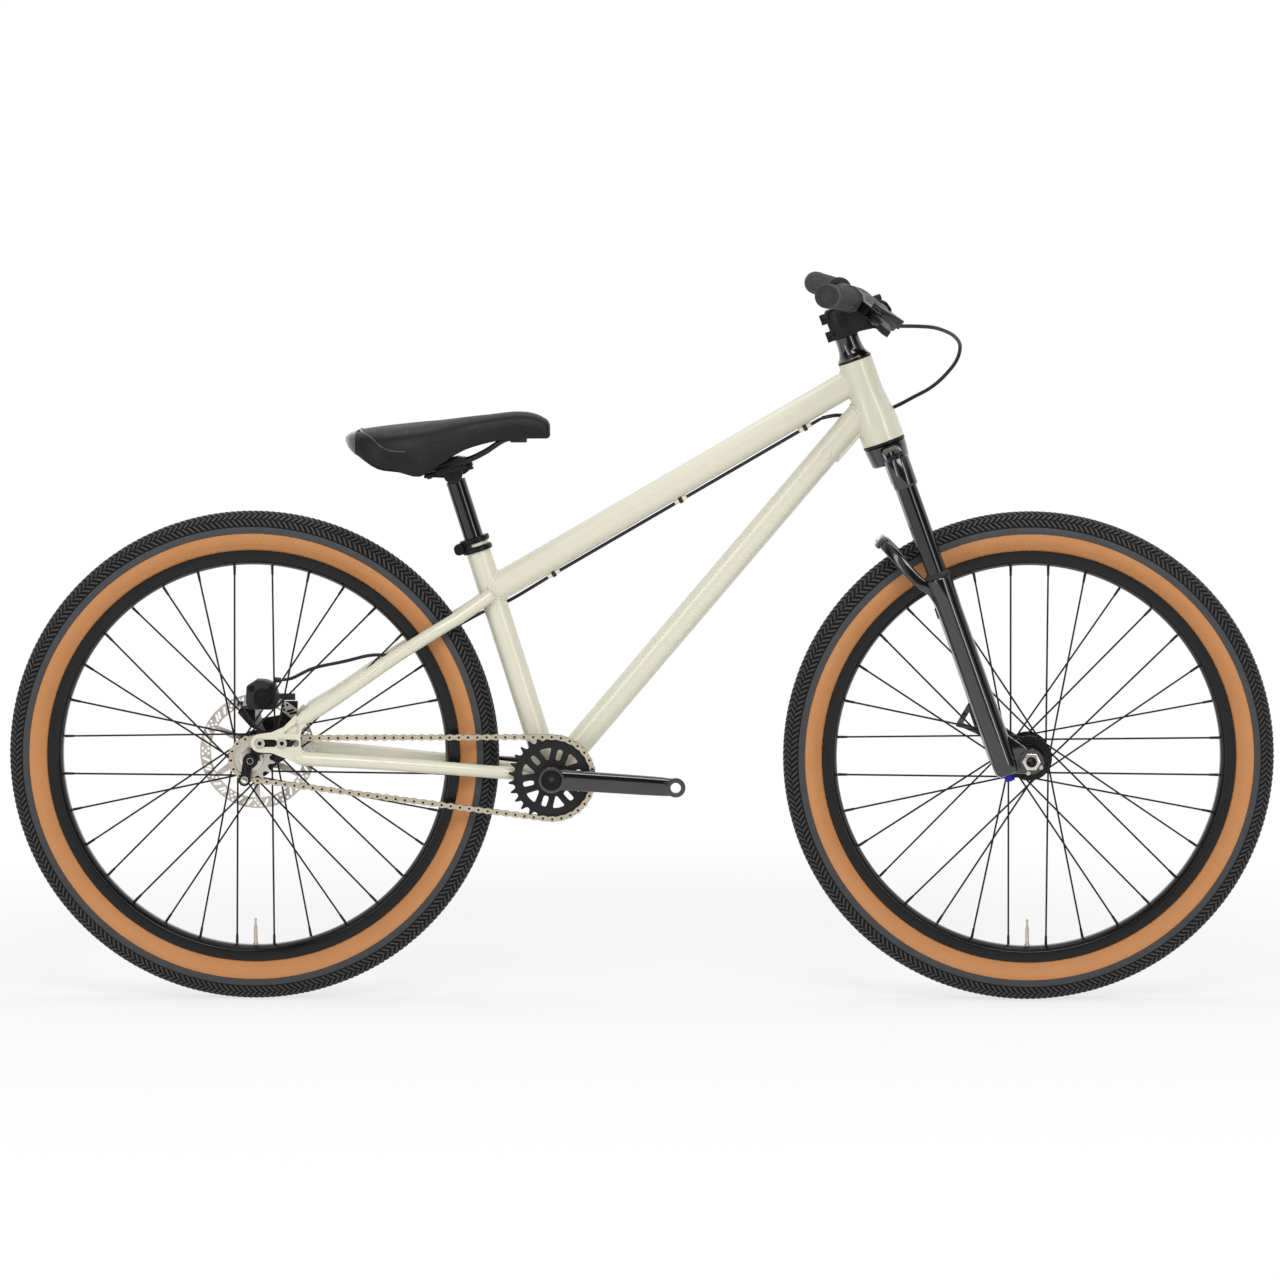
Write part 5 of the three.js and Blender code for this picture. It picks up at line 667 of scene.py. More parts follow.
class Finishes:
    """Every finish on the bike."""

    # Powder coat on steel, under clear lacquer: even, glossy, with a faint orange peel.
    CREAM = Finish("cream_powder_coat", "cream_paint", "#d6d3c0", "#d2cfbb", roughness=0.32,
                   roughness_spread=0.02, coat=0.7, coat_roughness=0.1, grain=12.0, relief=0.001,
                   patch=180)
    # Wet-look paint on the fork, cranks and spacer cone: deep black with sharp highlights.
    GLOSS = Finish("black_wet_paint", "black_gloss", "#0b0b0c", "#0e0e10", roughness=0.16,
                   roughness_spread=0.03, coat=1.0, grain=5.0, relief=0.004, patch=120)
    # Hard anodised aluminium, bead blasted first: soft grey highlights and a fine grain.
    ANODISED = Finish("black_anodised_aluminium", "black_satin", "#141415", "#19191a", roughness=0.36,
                      roughness_spread=0.06, metallic=0.55, grain=0.5, relief=0.015, patch=40)
    # Rolled rim extrusion, anodised: a little glossier than blasted parts.
    RIM = Finish("black_rim_extrusion", "black_satin", "#101011", "#141415", roughness=0.22,
                 roughness_spread=0.04, metallic=0.4, grain=0.9, relief=0.012, patch=70)
    # Stanchions and seatpost: ground, hard chromed black and polished.
    POLISHED = Finish("black_polished_tube", "black_gloss", "#0c0c0d", "#0f0f10", roughness=0.12,
                      roughness_spread=0.02, metallic=0.3, coat=0.6, coat_roughness=0.02, grain=3.0,
                      relief=0.001, patch=90)
    # Moulded rubber of the grips and seals, and the saddle's thread.
    RUBBER = Finish("black_moulded_rubber", "black_rubber", "#1b1b1c", "#222223", roughness=0.62,
                    ior=1.52, grain=0.6, relief=0.04, patch=25)
    # Hose: extruded nylon sleeve with a soft gloss.
    HOSE = Finish("black_hose_sleeve", "black_rubber", "#0e0e0f", "#121213", roughness=0.38,
                  roughness_spread=0.05, ior=1.52, grain=0.7, relief=0.01, patch=50)
    # Tread rubber: carbon black, on the blocks and the smooth shoulders.
    TREAD = Finish("tread_rubber", "tyre_rubber", "#2c2e31", "#393b3e", roughness=0.6, ior=1.52,
                   grain=1.1, relief=0.04, patch=30)
    # The same rubber, darkened as painted shade: the floor of the tread's grooves and dark plugs in bolt
    # sockets; matt.
    PAINTED_SHADE = Finish("painted_shade_rubber", "tyre_rubber", "#09090a", "#0e0e0f", roughness=0.9,
                    roughness_spread=0.05, ior=1.4, grain=1.1, relief=0.03, patch=30)
    # Drawn stainless wire with a black oxide skin.
    WIRE = Finish("black_oxide_wire", "black_gloss", "#080808", "#0b0b0b", roughness=0.45,
                  roughness_spread=0.05, ior=1.4, grain=0.6, relief=0.004, patch=40)
    # Hard shiny plastic of the saddle's bumper and piping.
    BUMPER = Finish("polished_black_plastic", "black_plastic", "#0c0c0d", "#101011", roughness=0.14,
                    roughness_spread=0.03, coat=0.6, coat_roughness=0.05, grain=3.0, relief=0.003)
    SIDEWALL = ThreadedSidewall("tan_sidewall", "tyre_rubber", "#bf8350", "#b57a45", roughness=0.62,
                                roughness_spread=0.06, grain=1.0)
    # Nickel plate on the chain and the valves, slightly warm.
    NICKEL = Finish("nickel_plated_steel", "silver_steel", "#ded3bf", "#ccc0aa", roughness=0.32,
                    roughness_spread=0.07, metallic=1.0, grain=1.5, relief=0.01, patch=14)
    # Ground stainless steel: rotor, cog, axle nuts and the bright bolts.
    STAINLESS = Finish("ground_stainless_steel", "silver_steel", "#e2ddd4", "#cfcac0", roughness=0.3,
                       roughness_spread=0.06, metallic=1.0, relief=0.012, patch=25)
    # Chain pins and the front axle's sockets: steel darkened nearly to black as painted shade.
    PIN = Finish("painted_shade_steel", "black_satin", "#1a1815", "#211e1a", roughness=0.42,
                 roughness_spread=0.06, metallic=0.6, grain=0.5, relief=0.01, patch=10)
    # Chainring, bar, rails and lever blade: bead blasted and anodised, more matt than the small parts.
    SATIN = Finish("blasted_anodised_aluminium", "black_satin", "#17171a", "#1c1c1e", roughness=0.46,
                   roughness_spread=0.06, metallic=0.35, grain=0.45, patch=45)
    VINYL = Leathery("grained_vinyl", "black_vinyl", "#0f0f10", "#141415", roughness=0.46,
                     roughness_spread=0.05, ior=1.36, grain=1.3, relief=0.09, patch=45)
    # Injection moulded nylon: matt with a spark-eroded texture.
    PLASTIC = Finish("moulded_nylon", "black_plastic", "#171718", "#1d1d1e", roughness=0.55,
                     roughness_spread=0.06, ior=1.53, grain=0.5, relief=0.03, patch=30)
    BLUE = Finish("blue_anodised_aluminium", "blue_anodised", "#2b2f9c", "#262a8c", roughness=0.3,
                  roughness_spread=0.05, metallic=0.9, grain=0.4, relief=0.01, patch=20)


# Forms that several sub-assemblies share


def across(spot: Vector) -> Matrix:
    """The placement at a spot whose Z axis points to the rider's left."""
    return Matrix.Translation(spot) @ Matrix.Rotation(-TURN / 4, 4, "X")


def spun(angle: float) -> Matrix:
    """A turn about the rider's left, from forward to up, in radians."""
    return Matrix.Rotation(-angle, 4, "Y")


def turns(count: int, offset: float = 0.0, first: float = 0.0) -> list[Matrix]:
    """Equal turns round a wheel.

    Args:
        count: How many.
        offset: A share of one turn by which all are moved on.
        first: The angle at which they start, in radians.

    Returns:
        The turns in order.
    """
    return [spun(TURN * (n + offset) / count + first) for n in range(count)]


def wheel_spot(radius: float, angle: float, side: float = 0.0) -> Vector:
    """A place in a wheel's own frame, by radius, angle from forward to up, and side."""
    return Vector((radius * math.cos(angle), side, radius * math.sin(angle)))


def mirrored(profile: Sequence[Pair]) -> list[Pair]:
    """A half profile of radius and place, followed by its mirror image along the axis."""
    return [*profile, *[(radius, -along) for radius, along in reversed(profile)]]


def washer(inner: float, outer: float, low: float, high: float) -> list[Pair]:
    """A flat ring's section, between two radii and two heights."""
    return [(inner, low), (outer, low), (outer, high), (inner, high)]


def eased(corners: Sequence[Pair], reach: float, steps: int = 4) -> list[Pair]:
    """An outline with its corners rounded.

    Args:
        corners: The sharp corners in order.
        reach: How far from each corner its rounding starts.
        steps: Number of stretches in each rounding.

    Returns:
        The rounded outline.
    """
    points = [Vector((*corner, 0)) for corner in corners]
    made = []
    for before, corner, after in zip([points[-1], *points], points, [*points[1:], points[0]]):
        start = corner + (before - corner).normalized() * min(reach, (before - corner).length * 0.49)
        end = corner + (after - corner).normalized() * min(reach, (after - corner).length * 0.49)
        for step in range(steps + 1):
            share = step / steps
            spot = start.lerp(corner, share).lerp(corner.lerp(end, share), share)
            made.append((spot.x, spot.y))
    return made


def rounded_ring(spot: Vector, wide: Vector, thick: Vector, sharpness: float = 3.0,
                 count: int = 24) -> list[Triple]:
    """A rounded rectangular ring of corners.

    Args:
        spot: Its middle.
        wide: From the middle to one side.
        thick: From the middle to the next side.
        sharpness: 2 gives an ellipse, and more gives fuller corners.
        count: Number of corners.

    Returns:
        The corners in order.
    """
    ring = []
    for n in range(count):
        angle = TURN * (n + 0.5) / count
        across_share = math.copysign(abs(math.cos(angle)) ** (2 / sharpness), math.cos(angle))
        up_share = math.copysign(abs(math.sin(angle)) ** (2 / sharpness), math.sin(angle))
        ring.append(tuple(spot + wide * across_share + thick * up_share))
    return ring


def bolt_head(name: str, place: Matrix, radius: float, height: float, socket: float) -> Piece:
    """A round bolt head with a bevelled rim and a six-sided socket.

    Args:
        name: The piece's name.
        place: The foot of the head, with Z out of it.
        radius: Its radius.
        height: Its height.
        socket: Radius of the socket across its corners.

    Returns:
        The head, in millimetres.
    """
    rim = height * 0.25
    head = turned(name, [(0, 0), (radius, 0), (radius, height - rim), (radius - rim, height), (0, height)],
                  HOME, 32)
    hexagon = rod(f"{name}_socket", Vector((0, 0, height * 0.35)), Vector((0, 0, height * 1.5)), socket,
                  sides=6)
    cut(head, [hexagon])
    head.data.transform(place)
    return head


def bolt_shade(place: Matrix, height: float, socket: float) -> Piece:
    """A dark plug of painted shade in the socket of a bolt head of the given height."""
    shade = rod("socket_painted_shade", Vector((0, 0, height * 0.3)), Vector((0, 0, height * 0.72)), socket * 0.98,
                sides=6)
    shade.data.transform(place)
    return shade


# Wheels


@dataclass(frozen=True)
class Tyre:
    """A skinwall tyre: a tan casing under a band of black rubber with rows of slanted blocks."""

    end: str
    axle: Vector
    middle: float = 309  # radius at which the section is widest
    casing: float = 26.9
    casing_wall: float = 2.2
    casing_reach: float = 38  # degrees past its widest place at which the casing enters the rim
    lip_depth: float = 53.2
    seat: float = 277.8  # radius of the bead seat
    bead_side: float = 15.2
    band: float = 27.4
    crown: float = 29  # section radius over the blocks
    band_edge: float = -2  # degrees round the section at which the tread starts
    shoulder: float = 18  # and at which its smooth edge ends
    pitches: int = 264
    # Rows of ridges: from and to in degrees round the section, width and lean as shares of the pitch.
    rows: tuple[Section, ...] = ((19.5, 41, 0.46, 0.95), (42.5, 62, 0.44, -0.8), (64, 87, 0.44, 0.7))
    steps: int = 160

    def build(self) -> None:
        """Makes and dresses the casing and the tread."""
        place = Matrix.Translation(self.axle)
        body, node = f"{self.end}_wheel", f"{self.end}_tyre"
        dressed(settled(self.casing_ring(), place), Finishes.SIDEWALL, body, node)
        # The band under the ridges takes the painted shade finish: the tread's rubber, darker.
        dressed(settled(self.base_band(), place), Finishes.PAINTED_SHADE, body, node, angle=30)
        dressed(settled(self.tread(), place), Finishes.TREAD, body, node, angle=30)

    def arc(self, radius: float, start: float, end: float, steps: int) -> list[Pair]:
        """Places on an arc of the section, from one angle to another in degrees."""
        angles = [math.radians(start + (end - start) * n / steps) for n in range(steps + 1)]
        return [(self.middle + radius * math.sin(a), radius * math.cos(a)) for a in angles]

    def casing_ring(self) -> Piece:
        """The casing, from one bead over the crown to the other."""
        start, end = -self.casing_reach, 180 + self.casing_reach
        outer = self.arc(self.casing, start, end, 28)
        inner = self.arc(self.casing - self.casing_wall, end, start, 28)
        lip = BIKE.tyre_radius - self.lip_depth
        profile = [(self.seat, self.bead_side), (lip, self.bead_side), *outer, (lip, -self.bead_side),
                   (self.seat, -self.bead_side), (self.seat, 3 - self.bead_side), *inner,
                   (self.seat, self.bead_side - 3)]
        return turned(f"{self.end}_tyre_casing", profile, across(ORIGIN), self.steps)

    def base_band(self) -> Piece:
        """The band of rubber that the ridges stand on, coloured darker than the ridges as painted shade."""
        edge = self.band_edge
        outer = self.arc(self.band, edge + 2, 178 - edge, 26)
        inner = self.arc(self.casing + 0.05, 180 - edge, edge, 26)
        return turned(f"{self.end}_tyre_base", [*outer, *inner], across(ORIGIN), self.steps)

    def block(self, low: float, high: float, width: float, slant: float) -> Piece:
        """One slanted tread block between two angles of the section."""
        pitch = TURN / self.pitches
        rings = []
        for height, shrink in ((self.band - 0.4, 1.0), (self.crown, 0.84)):
            half = pitch * width * shrink / 2
            lean = pitch * slant
            inset = (high - low) * (1 - shrink) / 2
            ring = []
            for turn, section in ((-half, low + inset), (half, low + inset), (half + lean, high - inset),
                                  (lean - half, high - inset)):
                angle = math.radians(section)
                ring.append(tuple(wheel_spot(self.middle + height * math.sin(angle), turn,
                                             height * math.cos(angle))))
            rings.append(ring)
        return lofted("block", rings)

    def tread(self) -> Piece:
        """The tread: a smooth edge on each shoulder and rows of ridges between them."""
        pieces = []
        for start, end in ((self.band_edge, self.shoulder), (180 - self.shoulder, 180 - self.band_edge)):
            outer = self.arc(self.band + 0.7, start + 1, end - 1, 6)
            inner = self.arc(self.band - 0.3, end, start, 6)
            pieces.append(turned(f"{self.end}_tyre_tread", [*outer, *inner], across(ORIGIN), self.steps))
        blocks = []
        for n, (low, high, width, slant) in enumerate(self.rows):
            right = self.block(low, high, width, slant)
            right.data.transform(spun(TURN / self.pitches * 0.5 * (n % 2)))
            left = self.block(180 - low, 180 - high, width, slant)
            left.data.transform(spun(TURN / self.pitches * 0.5 * ((n + 1) % 2)))
            blocks += [right, left]
        unit = cleaned(joined(blocks))
        around = copies(unit, turns(self.pitches))
        return joined([*pieces, around], f"{self.end}_tyre_tread")


@dataclass(frozen=True)
class Rim:
    """A box-section rim with a drop centre, and the valve at its foot."""

    end: str
    axle: Vector
    lip: float = 284.5
    inner: float = 264
    half: float = 17.5
    bed_half: float = 7.5
    valve: float = 2.6
    valve_length: float = 37

    def build(self) -> None:
        """Makes and dresses the rim and its valve."""
        place = Matrix.Translation(self.axle)
        body, node = f"{self.end}_wheel", f"{self.end}_rim"
        dressed(settled(self.ring(), place), Finishes.RIM, body, node)
        dressed(settled(self.valve_stem(), place), Finishes.NICKEL, body, node)

    def ring(self) -> Piece:
        """The rim's own section, spun round the wheel."""
        top = self.lip
        side = [(self.inner, self.bed_half - 1.5), (self.inner + 0.5, self.bed_half),
                (self.inner + 5, self.half - 1.2), (self.inner + 6.6, self.half - 0.2),
                (self.inner + 8, self.half), (top - 0.6, self.half), (top, self.half - 0.6),
                (top, self.half - 1.6), (top - 0.7, self.half - 2), (top - 6.4, self.half - 2),
                (top - 7, self.half - 3), (top - 7.6, self.half - 6), (top - 12, self.half - 9)]
        return turned(f"{self.end}_rim_extrusion", mirrored(side), across(ORIGIN), 160)

    def valve_stem(self) -> Piece:
        """The threaded valve stem with its nut and cap."""
        foot = Vector((0, 0, -self.inner - 1))
        height = self.valve_length + 1
        profile = [(0, 0), (self.valve, 0), (self.valve, 2), (3.6, 2), (3.6, 4), (self.valve, 4),
                   (self.valve, height * 0.62), (self.valve * 0.9, height * 0.7),
                   (self.valve * 0.5, height * 0.82), (self.valve * 0.45, height * 0.9),
                   (self.valve * 0.7, height * 0.91), (self.valve * 0.7, height - 1),
                   (self.valve * 0.4, height), (0, height)]
        return turned(f"{self.end}_valve", profile, Matrix.Translation(foot), 20)


@dataclass(frozen=True)
class Lacing:
    """Thirty-two spokes laced three-cross, with a nipple on each."""

    end: str
    axle: Vector
    right_flange: float
    left_flange: float
    count: int = 32
    crossings: int = 3
    hole_circle: float = 27
    head_lift: float = 1.6
    rim: float = 263.6
    rim_offset: float = 1.3
    wire: float = 1.3
    nipple: float = 2.0
    nipple_length: float = 13

    def build(self) -> None:
        """Makes and dresses the spokes and the nipples."""
        place = Matrix.Translation(self.axle)
        body, node = f"{self.end}_wheel", f"{self.end}_hub_and_spokes"
        quarter = self.count // 4
        wires, nipples = [], []
        for n in range(4):
            start, end = self.ends(n)
            run = (end - start).normalized()
            wires += [rod("wire", start, end, self.wire, sides=10), self.elbow(start, run)]
            nipples.append(rod("nipple", end - run * self.nipple_length, end, self.nipple * 0.85,
                               self.nipple, 10))
        for name, pieces, finish in (("spokes", wires, Finishes.WIRE), ("nipples", nipples, Finishes.WIRE)):
            whole = copies(joined(pieces, f"{self.end}_{name}"), turns(quarter))
            dressed(settled(whole, place), finish, body, node, angle=60)

    def ends(self, n: int) -> tuple[Vector, Vector]:
        """Where a spoke leaves its flange and where it meets the rim."""
        rim_angle = -TURN / 4 + TURN * (n + 0.5) / self.count
        on_right = n % 2 == 0
        leading = (n // 2) % 2 == 0
        hole_angle = rim_angle + (TURN * self.crossings / (self.count / 2)) * (1 if leading else -1)
        flange = -self.right_flange if on_right else self.left_flange
        side = flange + (self.head_lift if leading else -self.head_lift)
        rim_side = -self.rim_offset if on_right else self.rim_offset
        return wheel_spot(self.hole_circle, hole_angle, side), wheel_spot(self.rim, rim_angle, rim_side)

    def elbow(self, start: Vector, run: Vector) -> Piece:
        """The bent end of a spoke, through the flange to its flat head."""
        middle = -self.right_flange if start.y < 0 else self.left_flange
        through = 1 if start.y < middle else -1
        head = Vector((start.x, start.y + through * 5.2, start.z))
        stub = rod("stub", start - run * 0.3, head, self.wire, sides=10)
        button = rod("button", head, head + LEFT * through * 0.8, self.wire * 1.9, self.wire * 1.4, 12)
        return joined([stub, button])


@dataclass(frozen=True)
class RearHub:
    """The rear hub's shell with its disc mount."""

    right_flange: float = 22
    left_flange: float = 33

    def build(self) -> None:
        """Makes and dresses the hub, and laces it."""
        hole = 6.6
        profile = [(hole, -27), (16, -27), (17, -26.4), (20, -24.8), (30.2, -24.4), (31, -23.6),
                   (31, -20.4), (30.2, -19.6), (20, -19.2), (17, -17), (15.6, -8), (15.2, 4), (16, 20),
                   (17.4, 27), (20, 30.2), (30.2, 30.6), (31, 31.4), (31, 34.6), (30.2, 35.4), (20, 35.8),
                   (18, 37.5), (18, 41.8), (23.4, 41.8), (24, 42.4), (24, 50.2), (23.4, 50.8), (17.5, 50.8),
                   (17.5, 53.2), (9.5, 53.2), (9.5, 67), (9, 67.5), (hole, 67.5)]
        hub = turned("rear_hub_shell", profile, across(ORIGIN), 56)
        dressed(settled(hub, Matrix.Translation(BIKE.rear_axle)), Finishes.ANODISED, "rear_wheel",
                "rear_hub_and_spokes")
        Lacing("rear", BIKE.rear_axle, self.right_flange, self.left_flange).build()


@dataclass(frozen=True)
class FrontHub:
    """The front hub's shell."""

    flange: float = 28

    def build(self) -> None:
        """Makes and dresses the hub, and laces it."""
        side = [(10.7, 54.7), (13.4, 54.7), (14, 50), (16.6, 42), (17, 37), (18, 33), (20, 31),
                (30.2, 30.6), (31, 29.8), (31, 26.2), (30.2, 25.4), (20, 25), (17, 22.5), (15.4, 12),
                (15, 2)]
        hub = turned("front_hub_shell", mirrored(side), across(ORIGIN), 56)
        dressed(settled(hub, Matrix.Translation(BIKE.front_axle)), Finishes.ANODISED, "front_wheel",
                "front_hub_and_spokes")
        Lacing("front", BIKE.front_axle, self.flange, self.flange).build()


@dataclass(frozen=True)
class Rotor:
    """The brake rotor: a pierced band on six swept arms, held by six bolts."""

    radius: float = 80
    track: float = 15
    wall: float = 1.8
    spigot: float = 17.8
    spider: float = 28
    arm_width: float = 7
    arm_sweep: float = 30
    arms: int = 6
    groups: int = 12
    hole: float = 1.8
    slot: Pair = (5.4, 1.6)  # half of a slot's length and width
    bolt_circle: float = 22
    bolt: Triple = (4.4, 2.4, 2.2)  # a head's radius and height, and its socket's radius

    def build(self) -> None:
        """Makes and dresses the rotor and its bolts."""
        place = Matrix.Translation(BIKE.rear_axle)
        dressed(settled(self.disc(), place), Finishes.STAINLESS, "rear_wheel", "brake_rotor", angle=30)
        face = BIKE.rotor_side + self.wall / 2
        spots = [wheel_spot(self.bolt_circle, TURN * n / self.arms, face) for n in range(self.arms)]
        heads = [bolt_head(f"rotor_bolt_{n}", across(spot), *self.bolt) for n, spot in enumerate(spots)]
        dressed(settled(joined(heads, "rotor_bolts"), place), Finishes.ANODISED, "rear_wheel", "brake_rotor")

    def disc(self) -> Piece:
        """The stamped steel disc."""
        low, high = BIKE.rotor_side - self.wall / 2, BIKE.rotor_side + self.wall / 2
        inner = self.radius - self.track
        band = turned("brake_rotor_disc", washer(inner, self.radius, low, high), across(ORIGIN), 144)
        spider = turned("spider", washer(self.spigot, self.spider, low, high), across(ORIGIN), 72)
        sweep = math.radians(self.arm_sweep)
        reach = inner + 2
        half = self.arm_width / 2
        foot, tip = self.spider - 5, (reach * math.cos(sweep), reach * math.sin(sweep))
        arm = [(foot, -half * 1.7), (tip[0] * 0.6, tip[1] * 0.45 - half), (tip[0], tip[1] - half),
               (tip[0], tip[1] + half), (tip[0] * 0.55, tip[1] * 0.55 + half), (foot, half * 1.7)]
        arms = copies(plate("arm", arm, low, high), turns(self.arms))
        cut(band, [spider, arms], "UNION")
        return cut(band, [self.holes(low - 1, high + 1)])

    def holes(self, low: float, high: float) -> Piece:
        """What is pierced through the band: triangles of round holes between slanted slots."""
        middle = self.radius - self.track / 2
        half, thin = self.slot
        made = []
        for radius, turn in ((middle - 4, -0.05), (middle - 4, 0.05), (middle, 0.0), (middle + 4, -0.05),
                             (middle + 4, 0.05)):
            spot = wheel_spot(radius, turn)
            made.append(rod("hole", spot + LEFT * low, spot + LEFT * high, self.hole, sides=14))
        for turn in (-0.23, -0.16, 0.16):
            spot = wheel_spot(middle, turn)
            lean = turn - 0.6
            slot = [(spot.x + u * math.cos(lean) - v * math.sin(lean),
                     spot.z + u * math.sin(lean) + v * math.cos(lean))
                    for u, v in ((-half, -thin), (half, -thin), (half, thin), (-half, thin))]
            made.append(plate("slot", eased(slot, 1.5, 3), low, high))
        return copies(joined(made), turns(self.groups))


# Frame


@dataclass(frozen=True)
class Tube:
    """A round tube between two points, open inside."""

    name: str
    start: Vector
    end: Vector
    start_radius: float
    end_radius: float
    wall: float = 1.8

    def solid(self) -> Piece:
        """The tube's skin with its bore."""
        length = (self.end - self.start).length
        inner = (self.start_radius - self.wall, self.end_radius - self.wall)
        steps = max(int(length / 24), 1)
        taper = self.end_radius - self.start_radius
        profile = [(self.start_radius + taper * n / steps, length * n / steps) for n in range(steps + 1)]
        profile += [(inner[1], length), (inner[0], 0)]
        return turned(self.name, profile, aimed(self.start, self.end - self.start), 64)

    def weld(self, foot: Vector, axis: Vector, radius: float, at_end: bool, bead: float = 1.9) -> Piece:
        """The smoothed weld where this tube meets a round tube.

        Args:
            foot: A point on the other tube's axis.
            axis: The direction of that axis.
            radius: The other tube's radius.
            at_end: Whether it is met at this tube's far end.
            bead: Radius of the bead.

        Returns:
            The bead, in millimetres.
        """
        run = (self.end - self.start).normalized() * (1 if at_end else -1)
        own = self.end_radius if at_end else self.start_radius
        inside = self.end if at_end else self.start
        first = run.orthogonal().normalized()
        second = run.cross(first)
        line = axis.normalized()
        path = []
        for n in range(48):
            angle = TURN * n / 48
            spot = inside + (first * math.cos(angle) + second * math.sin(angle)) * (own + 0.1) - foot
            flat_spot, flat_run = spot - line * spot.dot(line), run - line * run.dot(line)
            a, b = flat_run.dot(flat_run), flat_spot.dot(flat_run)
            c = flat_spot.dot(flat_spot) - radius ** 2
            root = math.sqrt(max(b * b - a * c, 0.0))
            path.append(foot + spot + run * ((-b - root) / a))
        return swept(f"{self.name}_weld_{'front' if at_end else 'rear'}", path, bead, sides=12, cyclic=True)


@dataclass(frozen=True)
class MainFrame:
    """The head tube, the three main tubes, the bottom bracket shell and the hose guides."""

    head_foot_radius: float = 29.5
    head_top_radius: float = 23.75
    head_taper: Pair = (22, 78)  # heights between which the head tube narrows
    top_front: float = 18.5
    top_rear: float = 19.5
    down_radius: float = 17.8
    seat_radius: float = 17
    shell_radius: float = 21
    shell_width: float = 73
    top_below_head_top: float = 23.4
    top_below_seat_top: float = 77.7
    down_below_head_top: float = 60.6
    guide_shares: tuple[float, ...] = (0.148, 0.492, 0.828)
    guide_below: float = 22.7
    port_back: float = 92

    def on_steering(self, height: float) -> Vector:
        """A place on the steering axis."""
        return BIKE.steering @ Vector((0, 0, height))

    def on_seat(self, height: float) -> Vector:
        """A place on the seat tube's axis."""
        return BIKE.seating @ Vector((0, 0, height))

    @property
    def head_top(self) -> float:
        """Height of the head tube's top up the steering axis."""
        return BIKE.head_tube_foot + BIKE.head_tube_length

    @property
    def top_tube(self) -> Tube:
        """The top tube, from the seat tube's axis to the steering axis."""
        return Tube("top_tube_finished", self.on_seat(BIKE.seat_tube_length - self.top_below_seat_top),
                    self.on_steering(self.head_top - self.top_below_head_top), self.top_rear, self.top_front)

    @property
    def down_tube(self) -> Tube:
        """The down tube, from the bottom bracket to the steering axis."""
        return Tube("down_tube_finished", BIKE.bottom_bracket,
                    self.on_steering(self.head_top - self.down_below_head_top), self.down_radius,
                    self.down_radius)

    def build(self) -> None:
        """Makes and dresses the main frame."""
        head = self.head_tube()
        dressed(settled(head), Finishes.CREAM, "frame", "head_tube")
        steer_up = self.on_steering(1) - self.on_steering(0)
        seat_up = self.on_seat(1) - self.on_seat(0)
        foot, seat_foot = self.on_steering(0), self.on_seat(0)
        top, down = self.top_tube, self.down_tube
        seat = Tube("seat_tube_finished", seat_foot, self.on_seat(BIKE.seat_tube_length), self.seat_radius,
                    self.seat_radius, 3.0)
        tubes = {"top_tube": top, "down_tube": down, "seat_tube": seat}
        for node, tube in tubes.items():
            piece = tube.solid()
            cutters = [drill(self.on_steering(440), self.on_steering(620), self.head_top_radius - 3)]
            if node != "seat_tube":
                cutters.append(drill(self.on_seat(-20), self.on_seat(360), self.seat_radius - 3.1))
            shell = BIKE.bottom_bracket
            cutters.append(drill(shell - LEFT * 60, shell + LEFT * 60, self.shell_radius - 4))
            for cutter in cutters:
                cut(piece, [cutter])
            dressed(settled(cleaned(piece)), Finishes.CREAM, "frame", node)
        welds = [top.weld(foot, steer_up, self.head_top_radius + 0.3, True),
                 down.weld(foot, steer_up, self.head_foot_radius - 3.2, True),
                 top.weld(seat_foot, seat_up, self.seat_radius, False),
                 down.weld(BIKE.bottom_bracket, LEFT, self.shell_radius, False),
                 Tube("seat_tube_finished", BIKE.bottom_bracket, self.on_seat(200), self.seat_radius,
                      self.seat_radius).weld(BIKE.bottom_bracket, LEFT, self.shell_radius, False)]
        dressed(settled(joined(welds, "frame_welds")), Finishes.CREAM, "frame")
        dressed(settled(self.shell()), Finishes.CREAM, "frame", "bottom_bracket_shell")
        dressed(settled(self.gusset()), Finishes.CREAM, "frame", "down_tube")
        self.guides()

    def head_tube(self) -> Piece:
        """The head tube: wide below, narrowing to its top."""
        low, wide = self.head_foot_radius, self.head_foot_radius - self.head_top_radius
        length = BIKE.head_tube_length
        foot, head = self.head_taper
        profile = [(low - 0.8, 0), (low, 0.8), (low, foot)]
        for n in range(9):
            share = n / 8
            profile.append((low - wide * ease(share), foot + (head - foot) * share))
        top = self.head_top_radius
        profile += [(top, length - 0.8), (top - 0.8, length), (18.9, length), (18.9, length - 14),
                    (17.5, length - 16), (20.5, 16), (22.6, 14), (22.6, 0)]
        place = BIKE.steering @ Matrix.Translation((0, 0, BIKE.head_tube_foot))
        return turned("head_tube_finished", profile, place, 72)

    def shell(self) -> Piece:
        """The bottom bracket shell."""
        half = self.shell_width / 2
        side = [(self.shell_radius - 3.8, half), (self.shell_radius - 0.8, half),
                (self.shell_radius, half - 0.8), (self.shell_radius, 1)]
        return turned("bottom_bracket_finished", mirrored(side), across(BIKE.bottom_bracket), 64)

    def gusset(self) -> Piece:
        """The flat plate welded under the front of the down tube."""
        down = self.down_tube
        run = (down.end - down.start).normalized()
        under = Vector((run.z, 0, -run.x))
        back = down.end - run * (62 + self.head_foot_radius)
        front = down.end - run * (self.head_foot_radius * 0.75)
        rings = []
        for n in range(9):
            share = n / 8
            spot = back.lerp(front, share) + under * (self.down_radius - 1.2)
            half = 11 * math.sqrt(max(1 - (1 - min(share * 3, 1)) ** 2, 0.02))
            rings.append(rounded_ring(spot + under * 1.2, LEFT * half, under * 2.6, 4, 16))
        return lofted("down_tube_gusset", rings)

